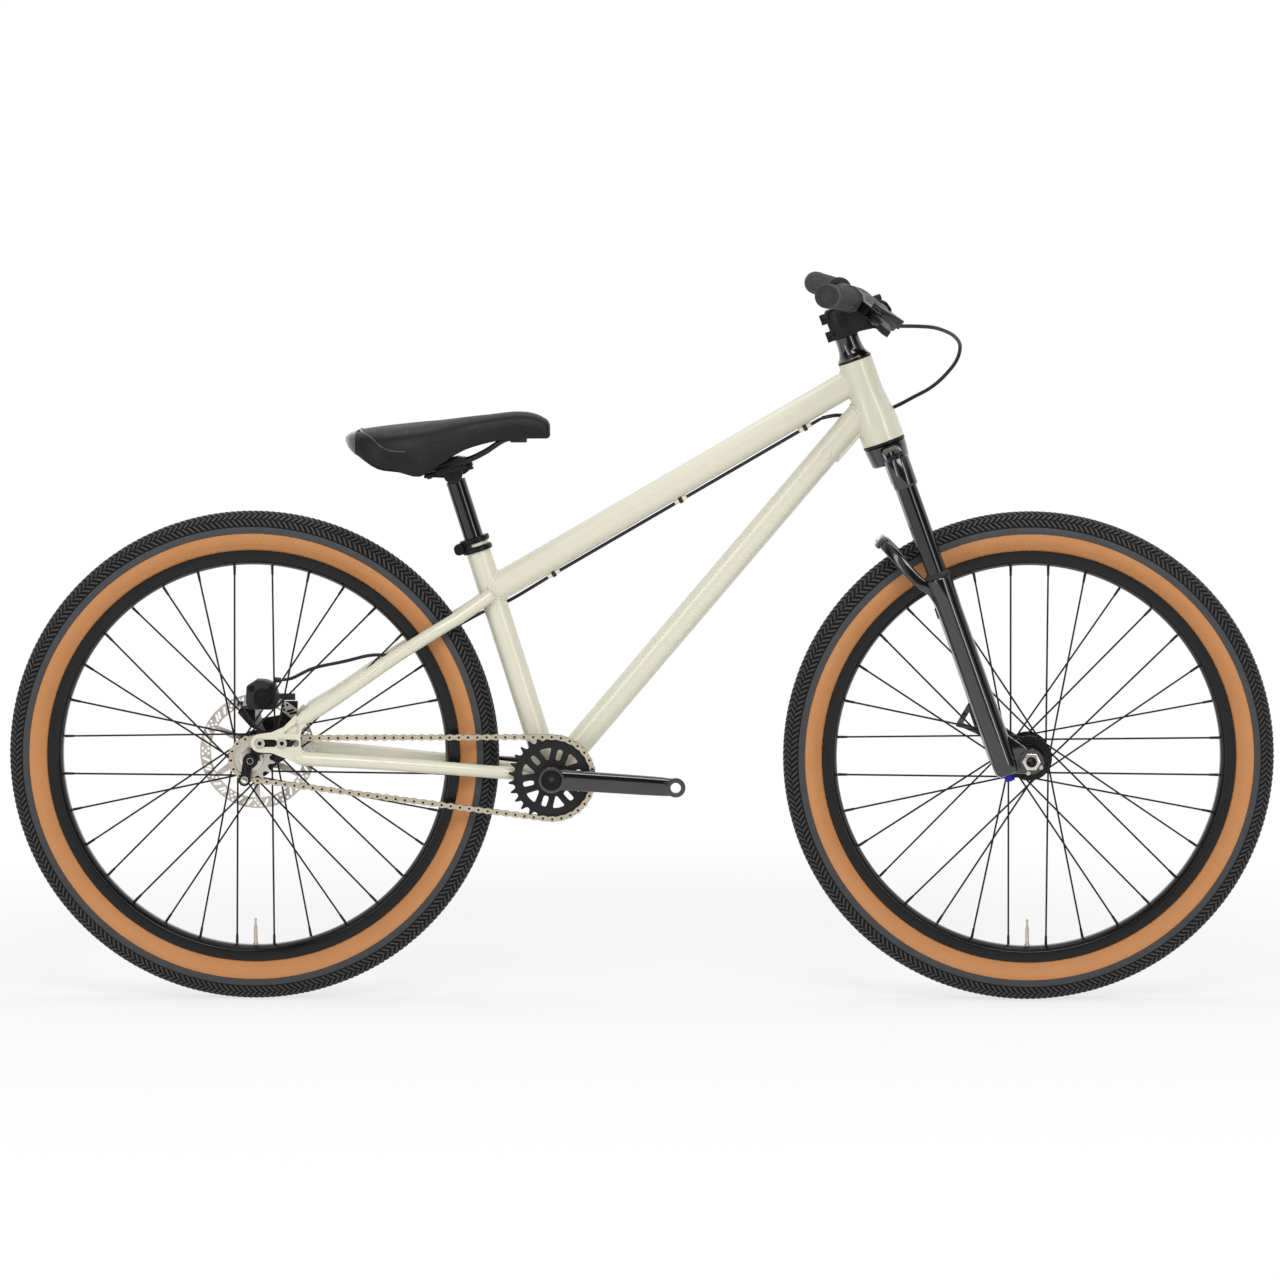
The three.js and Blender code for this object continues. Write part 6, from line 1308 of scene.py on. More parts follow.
    def guide_spot(self, share: float) -> Vector:
        """The middle of a hose guide under the top tube."""
        tube = self.top_tube
        run = (tube.end - tube.start).normalized()
        down = Vector((run.z, 0, -run.x))
        return tube.start.lerp(tube.end, share) + down * self.guide_below

    def port(self) -> Piece:
        """The blanked cable port on the right of the down tube: a round plug with a raised rim."""
        down = self.down_tube
        run = (down.end - down.start).normalized()
        spot = down.end - run * self.port_back - LEFT * (self.down_radius - 2.2)
        profile = [(0, 0), (7.4, 0), (7.4, 1.6), (6.9, 2.2), (6.2, 2.2), (5.6, 1.5), (0, 1.5)]
        return turned("port", profile, aimed(spot, LEFT * -1), 40)

    def guides(self) -> None:
        """Makes and dresses the hose guides under the top tube, their clips and the blanked port."""
        tube = self.top_tube
        run = (tube.end - tube.start).normalized()
        down = Vector((run.z, 0, -run.x))
        saddles, clips = [], []
        for share in self.guide_shares:
            spot = self.guide_spot(share)
            for end in (-1, 1):
                rings = []
                for along in (-3.4, -2.8, 2.8, 3.4):
                    trim = 0.8 if abs(along) > 3 else 1.0
                    middle = spot + run * (end * 6 + along) - down * 0.9
                    rings.append(rounded_ring(middle, LEFT * 4.8 * trim, down * 3.7 * trim, 3.4, 20))
                saddles.append(lofted("guide", rings))
            band = [(2.7, -2.6), (4.1, -2.6), (4.4, -2.2), (4.4, 2.2), (4.1, 2.6), (2.7, 2.6)]
            clips.append(turned("clip", band, aimed(spot, run), 32))
        saddles.append(self.port())
        lugs, bands = joined(saddles, "hose_guides"), joined(clips, "hose_clips")
        dressed(settled(lugs), Finishes.CREAM, "frame", "top_tube")
        dressed(settled(bands), Finishes.PLASTIC, "frame", "top_tube")


@dataclass(frozen=True)
class Rear:
    """The stays, dropouts, sliders and the rear axle."""

    chain_radius: float = 9.5
    chain_front: float = 8.6
    seat_radius: float = 9.5
    seat_front: float = 9.0
    stay_side: float = 76.1
    chain_start: Pair = (72.24, 3.3)
    seat_start: Pair = (74.76, 59.4)
    chain_side: float = 27
    seat_side: float = 22
    shell_bore: float = 17.6
    seat_bore: float = 14.1
    chain_shares: tuple[Triple, ...] = ((0, 0, 0), (0.22, 0.18, 0.17), (0.45, 0.4, 0.38), (0.68, 0.66, 0.67),
                                        (0.82, 0.83, 0.89), (1, 1, 1))
    seat_shares: tuple[Triple, ...] = ((0, 0, 0), (0.12, 0.11, 0.06), (0.5, 0.51, 0.42), (0.73, 0.73, 0.62),
                                       (0.84, 0.83, 0.79), (1, 1, 1))
    bolts: tuple[float, float] = (13.8, 44.1)
    bolt_up: float = 24.8
    bolt_face: float = 80.4
    bolt_radius: float = 7
    bolt_height: float = 2.4
    bolt_socket: float = 3.2
    pocket: tuple[Pair, ...] = ((45.5, 38.3), (62.8, 52.0), (66.2, 51.0), (66.2, 37.8))
    pocket_depth: float = 4.2
    hanger: Pair = (-8.2, -26.7)
    clip_spot: Triple = (-424, -72.5, 417)
    clip_hole: Triple = (-426, -75, 416)

    def path(self, side: Side, start: Pair, end: Vector, shares: Sequence[Triple]) -> list[Vector]:
        """Places along one stay, from the dropout to the front.

        Args:
            side: Which stay.
            start: How far ahead of and above the rear axle it starts.
            end: Where its middle ends on the rider's left.
            shares: Shares of the way forward, up and inward.

        Returns:
            The places.
        """
        foot = BIKE.rear_axle + Vector((start[0], self.stay_side, start[1]))
        run = end - foot
        points = [foot + Vector((run.x * ahead, run.y * inward, run.z * up)) for ahead, up, inward in shares]
        return [Vector((p.x, p.y * side.value, p.z)) for p in smooth_path(points, 8)]

    def build(self) -> None:
        """Makes and dresses the rear of the frame."""
        bracket = BIKE.bottom_bracket
        seat_end = BIKE.seating @ Vector((0, self.seat_side, BIKE.seat_tube_length - 81))
        for side in Side:
            lower = self.path(side, self.chain_start, bracket + LEFT * self.chain_side, self.chain_shares)
            upper = self.path(side, self.seat_start, seat_end, self.seat_shares)
            for name, path, rear, front in (("chainstay", lower, self.chain_radius, self.chain_front),
                                            ("seatstay", upper, self.seat_radius, self.seat_front)):
                last = len(path) - 1
                shares = [1 - (1 - front / rear) * n / last for n in range(last + 1)]
                stay = swept(f"{name}_{side.word}_finished", path, rear, shares, 32)
                if name == "chainstay":
                    cut(stay, [drill(bracket - LEFT * 60, bracket + LEFT * 60, self.shell_bore)])
                else:
                    cut(stay, [drill(BIKE.seating @ (UP * 100), BIKE.seating @ (UP * 330), self.seat_bore)])
                dressed(settled(stay), Finishes.CREAM, "frame", f"{name}_{side.word}")
            dressed(self.dropout(side), Finishes.CREAM, "frame", f"dropout_{side.word}")
            dressed(self.slider(side), Finishes.ANODISED, "frame", f"slider_{side.word}")
            self.adjusters(side)
        self.axle()
        self.trim()
        self.stay_clip()

    def tool(self, corners: Sequence[Pair], low: float, high: float, reach: float = 2.5) -> Piece:
        """A plate-shaped cutter in metres, outlined from the rear axle in millimetres."""
        return settled(plate("tool", eased(corners, reach), min(low, high), max(low, high),
                             Matrix.Translation(BIKE.rear_axle)))

    def dropout(self, side: Side) -> Piece:
        """The dropout's plate, softened, with a pocket sunk in its outer face."""
        piece = softened_copy(f"dropout_{side.word}", 1.0)
        face = self.bolt_face - 0.3
        low, high = side.value * (face - self.pocket_depth), side.value * (face + 4)
        return cut(piece, [self.tool(self.pocket, low, high)])

    def slider(self, side: Side) -> Piece:
        """The slider without its bolts, which are pieces of their own."""
        piece = softened_copy(f"slider_{side.word}", 0.5)
        ahead = self.bolts[1] + 20
        away = [(-40, -60), (ahead, -60), (ahead, 60), (-40, 60)]
        return cut(piece, [self.tool(away, side.value * (self.bolt_face - 0.1), side.value * 110)])

    def bolt_place(self, side: Side, ahead: float) -> Matrix:
        """Where an adjuster bolt's head stands on its slider, pointing outward."""
        spot = BIKE.rear_axle + Vector((ahead, side.value * self.bolt_face, self.bolt_up))
        return aimed(spot, LEFT * side.value)

    def adjusters(self, side: Side) -> None:
        """The two bright bolts that clamp a slider to its dropout."""
        heads = []
        for n, ahead in enumerate(self.bolts):
            heads.append(bolt_head(f"adjuster_{side.word}_{n}", self.bolt_place(side, ahead),
                                   self.bolt_radius, self.bolt_height, self.bolt_socket))
        bolts = joined(heads, f"adjuster_bolts_{side.word}")
        dressed(settled(bolts), Finishes.STAINLESS, "frame", f"slider_{side.word}")

    def axle(self) -> None:
        """The rear axle with a round head at each end."""
        side = [(0, 77.1), (3.4, 77.1), (4.2, 77.4), (8.6, 77.1), (9.5, 76.2), (9.5, 74.1), (6, 74.1), (6, 2)]
        piece = turned("rear_axle_finished", mirrored(side), across(BIKE.rear_axle), 40)
        dressed(settled(piece), Finishes.ANODISED, "frame", "rear_axle")

    def trim(self) -> None:
        """The bright rings of the axle's ends and the gear hanger, and dark plugs of painted shade in the
        adjusters' sockets.
        """
        trims = []
        for end in Side:
            out = end.value
            trims.append(turned("rim", washer(3.8, 4.4, out * 77, out * 77.7), across(BIKE.rear_axle), 40))
        hanger = BIKE.rear_axle + Vector((self.hanger[0], 0, self.hanger[1]))
        eye = [(4.4, -67.7), (4.4, -74.1), (5.2, -74.1), (5.2, -73.4), (4.9, -73.4), (4.9, -67.7)]
        trims.append(turned("eye", eye, across(hanger), 32))
        trim = joined(trims, "rear_axle_trim")
        # Dark plugs sunk in the adjuster bolts' sockets are painted shade.
        shades = [bolt_shade(self.bolt_place(end, ahead), self.bolt_height, self.bolt_socket)
                  for end in Side for ahead in self.bolts]
        socket_shade = joined(shades, "adjuster_socket_shade")
        dressed(settled(socket_shade), Finishes.PAINTED_SHADE, "frame", "slider_right", "slider_left")
        dressed(settled(trim), Finishes.STAINLESS, "frame", "rear_axle")

    def stay_clip(self) -> None:
        """The small hose tab welded under the right seat stay, unused on this bike."""
        spot, hole, run = Vector(self.clip_spot), Vector(self.clip_hole), Vector((0.77, 0, 0.64))
        rings = [rounded_ring(spot + run * along, LEFT * 3.6, Vector((2.4, 0, -2.9)), 4, 20)
                 for along in (-8, -7, 7, 8)]
        clip = lofted("stay_clip", rings)
        cut(clip, [drill(hole - LEFT * 15, hole + LEFT * 15, 1.6, 20)])
        dressed(settled(clip), Finishes.CREAM, "frame", "seatstay_right")


@dataclass(frozen=True)
class Bearings:
    """The headset and bottom bracket cups, and the seat clamp."""

    def build(self) -> None:
        """Makes and dresses the cups and the clamp."""
        top = BIKE.head_tube_foot + BIKE.head_tube_length
        upper = [(14.9, top - 11.7), (18.6, top - 11.7), (18.6, top + 0.3), (23.4, top + 0.3),
                 (23.75, top + 0.7), (23.6, top + 2.1), (14.9, top + 2.1)]
        low = BIKE.head_tube_foot - 0.3
        lower = [(20.3, low - 3.6), (28.9, low - 3.6), (29.5, low - 3), (29.5, low), (22.3, low),
                 (22.3, low + 12), (20.3, low + 12)]
        for name, profile in (("headset_upper_cup", upper), ("headset_lower_cup", lower)):
            piece = turned(f"{name}_finished", profile, BIKE.steering, 64)
            dressed(settled(piece), Finishes.ANODISED, "frame", name)
        for side in Side:
            profile = [(12.7, 27.8), (17, 27.8), (17, 36.8), (21, 36.8), (21, 38.6), (20, 39.5), (12.7, 39.5)]
            profile = [(radius, side.value * along) for radius, along in profile]
            piece = turned(f"bearing_cup_{side.word}_finished", profile, across(BIKE.bottom_bracket), 56)
            dressed(settled(piece), Finishes.ANODISED, "frame", f"bearing_cup_{side.word}")
        dressed(settled(self.clamp()), Finishes.ANODISED, "frame", "seat_clamp")

    def clamp(self) -> Piece:
        """The seat clamp: a grooved ring with a window, slit at the back and drawn shut by a bolt."""
        low, high = BIKE.seat_tube_length - 19.7, BIKE.seat_tube_length + 0.3
        profile = [(17.3, low), (20.2, low), (20.9, low + 0.8), (20.9, low + 5.6), (19.5, low + 7),
                   (19.5, low + 13), (20.9, low + 14.4), (20.9, high - 0.8), (20.2, high), (17.3, high)]
        ring = turned("seat_clamp_finished", profile, HOME, 64)
        middle = (low + high) / 2
        ear = [(-31, middle - 7), (-17.8, middle - 8.4), (-17.8, middle + 8.4), (-31, middle + 7)]
        cut(ring, [plate("ear", eased(ear, 6, 5), -8, 8)], "UNION")
        cut(ring, [plate("slit", washer(-40, 0, low - 5, high + 5), -1, 1)])
        cut(ring, [plate("window", eased(washer(-6, 40, middle - 2.2, middle + 2.2), 1.5), -40, 40)])
        spot = Vector((-24.8, 0, middle))
        bolt = rod("bolt", spot - LEFT * 9.6, spot + LEFT * 9.6, 4.6, sides=32)
        cut(bolt, [drill(spot - LEFT * 12, spot - LEFT * 7.6, 2.6, 6)])
        cut(ring, [bolt], "UNION")
        ring.data.transform(BIKE.seating)
        return ring


# Drive


@dataclass(frozen=True)
class ChainLine:
    """The chain's loop round the ring and the cog."""

    pitch: float = 12.7
    ring_teeth: int = 28
    cog_teeth: int = 14
    links: int = 86
    plate_half: float = 4.2
    waist_half: float = 2.7
    plate_wall: float = 0.9
    inner_side: float = 1.95
    roller: float = 3.85
    roller_half: float = 1.9  # half of its width, and the radius of its bore
    pin: float = 1.7
    pin_half: float = 4.0

    def radius(self, teeth: int) -> float:
        """Pitch radius of a wheel with this many teeth."""
        return self.pitch / (2 * math.sin(math.pi / teeth))

    def pins(self) -> list[Vector]:
        """The middle of each pin on the chain's line."""
        ring, cog = self.radius(self.ring_teeth), self.radius(self.cog_teeth)
        rear, front = BIKE.rear_axle, BIKE.bottom_bracket
        run = front - rear
        distance = run.length
        tilt = math.atan2(run.z, run.x)
        wrap = math.acos((ring - cog) / distance)
        straight = math.sqrt(distance ** 2 - (ring - cog) ** 2)
        ring_arc, cog_arc = ring * 2 * (math.pi - wrap), cog * 2 * wrap
        length = 2 * straight + ring_arc + cog_arc
        high, low = tilt + math.pi - wrap, tilt - math.pi + wrap
        side = Vector((0, -BIKE.chain_line, 0))

        def spot(s: float) -> Vector:
            """A place at a distance along the loop, measured forward from the cog's top."""
            s %= length
            if s < straight:
                return rear + wheel_spot(cog, high) + wheel_spot(s, high - TURN / 4)
            if s < straight + ring_arc:
                return front + wheel_spot(ring, high - (s - straight) / ring)
            if s < 2 * straight + ring_arc:
                return front + wheel_spot(ring, low) + wheel_spot(s - straight - ring_arc, low - TURN / 4)
            return rear + wheel_spot(cog, low - (s - 2 * straight - ring_arc) / cog)

        return [spot(straight + n * length / self.links) + side for n in range(self.links)]

    def build(self) -> None:
        """Makes and dresses the plates, rollers and pins."""
        pins = self.pins()
        plates: list[Piece] = []
        for inner in (True, False):
            low = self.inner_side if inner else self.inner_side + self.plate_wall
            pair = [plate("link", self.link_outline(), side * low, side * (low + self.plate_wall))
                    for side in (-1, 1)]
            unit = joined(pair)
            places = []
            for n, pin in enumerate(pins):
                if (n % 2 == 0) == inner:
                    run = pins[(n + 1) % len(pins)] - pin
                    stretch = Matrix.Scale(run.length / self.pitch, 4, Vector((1, 0, 0)))
                    places.append(Matrix.Translation(pin) @ spun(math.atan2(run.z, run.x)) @ stretch)
            plates.append(copies(unit, places))
        half = self.roller_half
        roller = turned("roller", washer(half, self.roller, -half, half), across(ORIGIN), 14)
        plates.append(copies(roller, [Matrix.Translation(pin) for pin in pins]))
        links = joined(plates, "chain_links")
        dressed(settled(links), Finishes.NICKEL, "frame", "chain", angle=40)
        # The pins' ends are nearly black: painted shade among the plates.
        pin = rod("chain_pins", LEFT * -self.pin_half, LEFT * self.pin_half, self.pin, sides=12)
        rivets = copies(pin, [Matrix.Translation(spot) for spot in pins])
        dressed(settled(rivets), Finishes.PIN, "frame", "chain", angle=40)

    def link_outline(self) -> list[Pair]:
        """One side plate: two round ends with a waist between them."""
        lobe, waist = self.plate_half, self.waist_half
        points = []
        for centre, facing in ((self.pitch, 0.0), (0.0, math.pi)):
            for n in range(7):
                angle = facing + math.radians(-105 + 35 * n)
                points.append((centre + lobe * math.cos(angle), lobe * math.sin(angle)))
            points.append((self.pitch / 2, waist if facing == 0 else -waist))
        return points


@dataclass(frozen=True)
class Sprockets:
    """The chainring with its windows, and the cog with its carrier."""

    line: ChainLine
    ring_disc: float = 51
    ring_wall: float = 3.6
    tooth_wall: float = 2.2
    tooth_shares: tuple[Pair, ...] = ((0, -1.12), (0.13, -1.04), (0.24, -0.76), (0.33, 0.0), (0.42, 0.78),
                                      (0.47, 0.88), (0.53, 0.88), (0.58, 0.78), (0.67, 0.0), (0.76, -0.76),
                                      (0.87, -1.04))
    windows: int = 6
    first_window: float = -0.297  # radians from forward at which the first wedge stands

    def build(self) -> None:
        """Makes and dresses both sprockets."""
        pins = self.line.pins()
        front, rear = BIKE.bottom_bracket, BIKE.rear_axle
        side = Vector((0, BIKE.chain_line, 0))
        first = pins[0] + side - front
        ring = self.chainring(math.atan2(first.z, first.x))
        dressed(settled(ring, Matrix.Translation(front)), Finishes.SATIN, "cranks", "chainring", angle=30)
        cog_radius = self.line.radius(self.line.cog_teeth)
        on_cog = next(pin for pin in pins if abs((pin + side - rear).length - cog_radius) < 0.001)
        gap = on_cog + side - rear
        self.cog(math.atan2(gap.z, gap.x), Matrix.Translation(rear))

    def teeth(self, name: str, count: int, first_gap: float) -> Piece:
        """A flat toothed disc on the chain line."""
        radius = self.line.radius(count)
        outline = []
        for tooth in range(count):
            for share, lift in self.tooth_shares:
                spot = wheel_spot(radius + lift * 3.9, first_gap + TURN * (tooth + share) / count)
                outline.append((spot.x, spot.z))
        half = self.tooth_wall / 2
        return plate(name, outline, -BIKE.chain_line - half, half - BIKE.chain_line)

    def chainring(self, first_gap: float) -> Piece:
        """The ring: teeth round a thicker disc, with wedges and slots cut through in turn."""
        low, high = -BIKE.chain_line - self.ring_wall / 2, self.ring_wall / 2 - BIKE.chain_line
        edge = self.ring_disc
        profile = [(12.3, low), (edge - 1, low), (edge, low + 1), (edge, high - 1), (edge - 1, high),
                   (12.3, high)]
        ring = turned("chainring_finished", profile, across(ORIGIN), 96)
        teeth = self.teeth("teeth", self.line.ring_teeth, first_gap)
        cut(teeth, [drill(LEFT * (low - 2), LEFT * (high + 2), edge - 3, 64)])
        cut(ring, [teeth], "UNION")
        inner, outer = edge * 0.5, edge * 0.8
        wide, thin = edge * 0.17, edge * 0.07
        wedge = eased([(inner, -1.2), (outer, -wide), (outer + 1.2, 0), (outer, wide), (inner, 1.2)], 3.2)
        slot = eased(washer(inner, outer, -thin, thin), 3.5)
        for outline, offset in ((wedge, 0.0), (slot, 0.5)):
            tool = plate("window", outline, low - 1, high + 1)
            cut(ring, [copies(tool, turns(self.windows, offset, self.first_window))])
        return ring

    def cog(self, first_gap: float, place: Matrix) -> None:
        """The cog, its lockring and the carrier that turns on the axle."""
        teeth = self.teeth("cog_teeth", self.line.cog_teeth, first_gap)
        cut(teeth, [drill(LEFT * -60, LEFT * -30, 15.5)])
        dressed(settled(teeth, place), Finishes.STAINLESS, "rear_cog", "rear_cog", angle=30)
        profile = [(6.6, -27.3), (17, -27.3), (17, -46.9), (17, -49.1), (17, -52.5), (16, -54.4), (12, -55),
                   (9.5, -55), (9.5, -66.8), (8.8, -67.5), (6.6, -67.5)]
        carrier = turned("cog_carrier", profile, across(ORIGIN), 56)
        dressed(settled(carrier, place), Finishes.STAINLESS, "rear_cog", "rear_cog")


@dataclass(frozen=True)
class Cranks:
    """The crank arms, their spindle and bolts."""

    length: float = 170
    dip: float = 3.2
    inner: float = 50.1
    outer: float = 75.1
    boss: float = 18
    flare: float = 14
    eye: float = 13.3
    eye_wall: float = 14
    spindle_bore: float = 12.3
    pedal_bore: float = 7

    def build(self) -> None:
        """Makes and dresses both arms and the spindle."""
        for side in Side:
            arm = self.arm(f"crank_arm_{side.word}_finished")
            if side is Side.LEFT:
                arm.data.transform(Matrix.Scale(-1, 4, LEFT))
                cleaned(arm)
            turn = -math.radians(self.dip) + (math.pi if side is Side.LEFT else 0)
            place = Matrix.Translation(BIKE.bottom_bracket) @ spun(turn)
            dressed(settled(arm, place), Finishes.GLOSS, "cranks", f"crank_arm_{side.word}", angle=40)
        self.spindle()

    def arm(self, name: str) -> Piece:
        """The right arm, pointing forward from the spindle."""
        root = -(self.inner + self.outer) / 2
        tip = root - self.flare
        sections = ((6, 29.5, 17.5, root), (26, 28.6, 16.6, root - 1.2), (70, 27.6, 14.8, root - 5.2),
                    (122, 27, 13.4, root - self.flare * 0.72), (150, 26, 12.4, root - self.flare * 0.92),
                    (165, 24.6, 12, tip))
        rings = [rounded_ring(Vector((along, side, 0)), LEFT * (wall / 2), UP * (height / 2), 3.6, 28)
                 for along, height, wall, side in sections]
        arm = lofted(name, rings)
        boss = [(0, -self.outer), (self.boss - 1.5, -self.outer), (self.boss, 1.5 - self.outer),
                (self.boss, -self.inner - 1), (self.boss - 1, -self.inner), (0, -self.inner)]
        low, high = tip - self.eye_wall / 2, tip + self.eye_wall / 2
        eye = [(0, low), (self.eye - 1.6, low), (self.eye, low + 1.6), (self.eye, high - 1.6),
               (self.eye - 1.6, high), (0, high)]
        ends = [turned("boss", boss, across(ORIGIN), 64),
                turned("eye", eye, across(Vector((self.length, 0, 0))), 64)]
        for end in ends:
            cut(arm, [end], "UNION")
        tip_spot = Vector((self.length, 0, 0))
        cut(arm, [drill(LEFT * -90, LEFT * -30, self.spindle_bore)])
        cut(arm, [drill(tip_spot - LEFT * 110, tip_spot - LEFT * 40, self.pedal_bore)])
        return cleaned(arm)

    def spindle(self) -> None:
        """The hollow spindle with a bolt cap at each end."""
        end = self.outer + 0.3
        side = [(3.6, end + 2.4), (7.4, end + 3), (8.2, end + 2.2), (8.2, end + 0.8), (11.8, end + 0.8),
                (12.4, end + 1.8), (13.6, end + 1.8), (14.2, end + 1), (14.2, end), (12, end), (12, 2)]
        inner = [(9, 2), (9, end - 3), (3.6, end - 3)]
        profile = [*mirrored(side), *[(radius, -along) for radius, along in reversed(inner)], *inner]
        piece = turned("crank_spindle_finished", profile, across(BIKE.bottom_bracket), 56)
        dressed(settled(piece), Finishes.ANODISED, "cranks", "crank_spindle")


# Fork


@dataclass(frozen=True)
class Fork:
    """The suspension fork, in the steering frame: crown, stanchions, lower legs and the axle."""

    leg_ahead: float = 7.5
    leg_side: float = 65
    crown_top: float = 471.7
    crown_low: float = 452
    socket: float = 16.8
    socket_foot: float = 411
    tube: float = 14
    tube_wall: float = 2
    tube_top: float = 454
    tube_foot: float = 132
    leg: float = 17.5
    leg_top: float = 280
    arch_top: float = 350
    arch_back: float = 47
    arch_wide: float = 8.2
    arch_thick: float = 4.4
    hose_tab: Triple = (411, 65, 530)
    foot_bolts: tuple[Pair, ...] = ((33.5, -13.5), (52.5, -12.0))
    lug: float = 17.5

    @property
    def axle_spot(self) -> Vector:
        """The middle of the axle in the steering frame."""
        return Vector((BIKE.fork_offset, 0, 0))

    def leg_place(self, side: Side) -> Matrix:
        """The frame of one leg: Z up its axis."""
        return BIKE.steering @ Matrix.Translation((self.leg_ahead, side.value * self.leg_side, 0))

    def build(self) -> None:
        """Makes and dresses the fork."""
        dressed(settled(self.crown()), Finishes.GLOSS, "steering", "fork_crown")
        self.steerer()
        for side in Side:
            place = self.leg_place(side)
            high, low, inner = self.tube_top, self.tube_foot, self.tube - self.tube_wall
            profile = [(0, high), (self.tube, high), (self.tube, low), (inner, low), (inner, high - 4),
                       (0, high - 4)]
            tube = turned(f"stanchion_{side.word}_finished", profile, place, 56)
            dressed(settled(tube), Finishes.POLISHED, "steering", f"stanchion_{side.word}")
            low = self.leg_top + 0.3
            lip = [(14.3, low), (18.2, low), (18.4, low + 0.4), (18.4, low + 3.6), (17.6, low + 4.2),
                   (16.4, low + 4.8), (15.6, low + 6.2), (15, low + 7), (14.3, low + 7)]
            seal = turned(f"wiper_{side.word}_finished", lip, place, 56)
            dressed(settled(seal), Finishes.RUBBER, "fork_lowers", f"wiper_seal_{side.word}")
            lid = [(0, high + 0.2), (12.6, high + 0.2), (12.6, high + 1.6), (11.8, high + 2.4),
                   (5, high + 2.4), (5, high + 1), (0, high + 1)]
            cap = turned(f"fork_cap_{side.word}", lid, place, 40)
            dressed(settled(cap), Finishes.ANODISED, "steering", f"stanchion_{side.word}")
        dressed(settled(self.lowers()), Finishes.GLOSS, "fork_lowers", "fork_lowers", angle=40)
        self.axle()
        self.knob()
        self.trim()

    def steerer(self) -> None:
        """Makes and dresses the steerer tube, which the headset hides."""
        profile = [(0, self.crown_low), (18.9, self.crown_low), (19.5, 488), (14.3, 528), (14.3, 667),
                   (12, 667), (12, 660), (0, 660)]
        dressed(settled(turned("steerer", profile, BIKE.steering, 48)), Finishes.ANODISED, "steering",
                "fork_crown")

    def crown(self) -> Piece:
        """The forged crown: a hub with a bridge that falls to a socket on each side."""
        place = BIKE.steering
        rise = self.crown_top - self.crown_low
        rows = ((0, 1.0, -0.36, 15), (0.3, 1.0, -0.34, 14.4), (0.5, 0.93, -0.36, 13.6),
                (0.72, 0.66, -0.48, 13.2), (0.92, 0.35, -0.56, 13), (1.06, 0.1, -0.58, 12),
                (1.17, 0.0, -0.52, 9.6))
        rings = []
        for share, high, low, depth in [(-s, h, lo, d) for s, h, lo, d in reversed(rows)] + list(rows[1:]):
            top, foot = self.crown_low + high * rise, self.crown_low + low * rise
            ahead = self.leg_ahead * min(abs(share), 1)
            middle = Vector((ahead, share * self.leg_side, (top + foot) / 2))
            rings.append(rounded_ring(middle, Vector((depth, 0, 0)), UP * ((top - foot) / 2), 4, 24))
        bridge = lofted("fork_crown_finished", rings, place)
        top = self.crown_top
        hub = [(0, top - 27), (24.5, top - 27), (26.6, top - 25), (28.6, top - 9), (29, top - 4),
               (29, top - 1), (28, top), (0, top)]
        cut(bridge, [turned("hub", hub, place, 64)], "UNION")
        for side in Side:
            foot, high = self.socket_foot, self.crown_low + 1
            profile = [(0, foot), (15.6, foot), (16.5, foot + 1.2), (self.socket, foot + 4),
                       (self.socket, high - 2), (self.socket - 1.4, high), (0, high)]
            cut(bridge, [turned("socket", profile, self.leg_place(side), 56)], "UNION")
        for side in Side:
            stem = self.leg_place(side)
            cut(bridge, [drill(stem @ (UP * 380), stem @ (UP * 500), self.tube + 0.2, 56)])
        return cleaned(bridge)

    def lowers(self) -> Piece:
        """The cast lower legs with their lugs, the brace behind them and the brake tab."""
        axle = BIKE.steering @ self.axle_spot
        parts = []
        for side in Side:
            place = self.leg_place(side)
            profile = [(0, -7), (12.5, -7), (15.4, -4.6), (17, 0), (self.leg, 8), (self.leg, 70), (16.9, 110),
                       (16.9, 236), (self.leg, 250), (self.leg, 277), (17, 279.4), (16.4, 280), (14.6, 280),
                       (14.6, 22), (0, 22)]
            parts.append(turned("leg", profile, place, 56))
            low = 55 * side.value
            high = 72.4 * side.value
            edge = 1.2 * side.value
            lug = [(10.3, low), (self.lug - 1.2, low), (self.lug, low + edge), (self.lug, high - edge),
                   (self.lug - 1.2, high), (10.3, high)]
            boss = turned("lug", lug, BIKE.steering @ across(self.axle_spot), 56)
            web = eased([(7.5, -4), (37, -16.4), (45, 16.8), (24, 46), (7.5, 58)], 9)
            arm = plate("web", web, min(low, high) + 1.2, max(low, high) - 1.2, BIKE.steering)
            bevelled(arm, 1.6, 2, 50)
            cut(arm, [drill(axle - LEFT * 90, axle + LEFT * 90, 12, 40)])
            cut(boss, [arm], "UNION")
            cut(boss, [drill(place @ (UP * 21), place @ (UP * 120), self.tube + 0.8)])
            parts.append(boss)
        tab = plate("tab", eased([(-8, 40), (-26.6, 58.2), (-38.3, 66), (-27.9, 75.1), (-8, 92)], 4),
                    self.leg_side - 4, self.leg_side + 4, BIKE.steering)
        opening = eased([(-13, 56), (-26, 66.2), (-13, 78)], 2)
        cut(tab, [plate("tool", opening, self.leg_side - 9, self.leg_side + 9, BIKE.steering)])
        parts.append(tab)
        parts.append(self.arch())
        return joined(parts, "fork_lowers_finished")

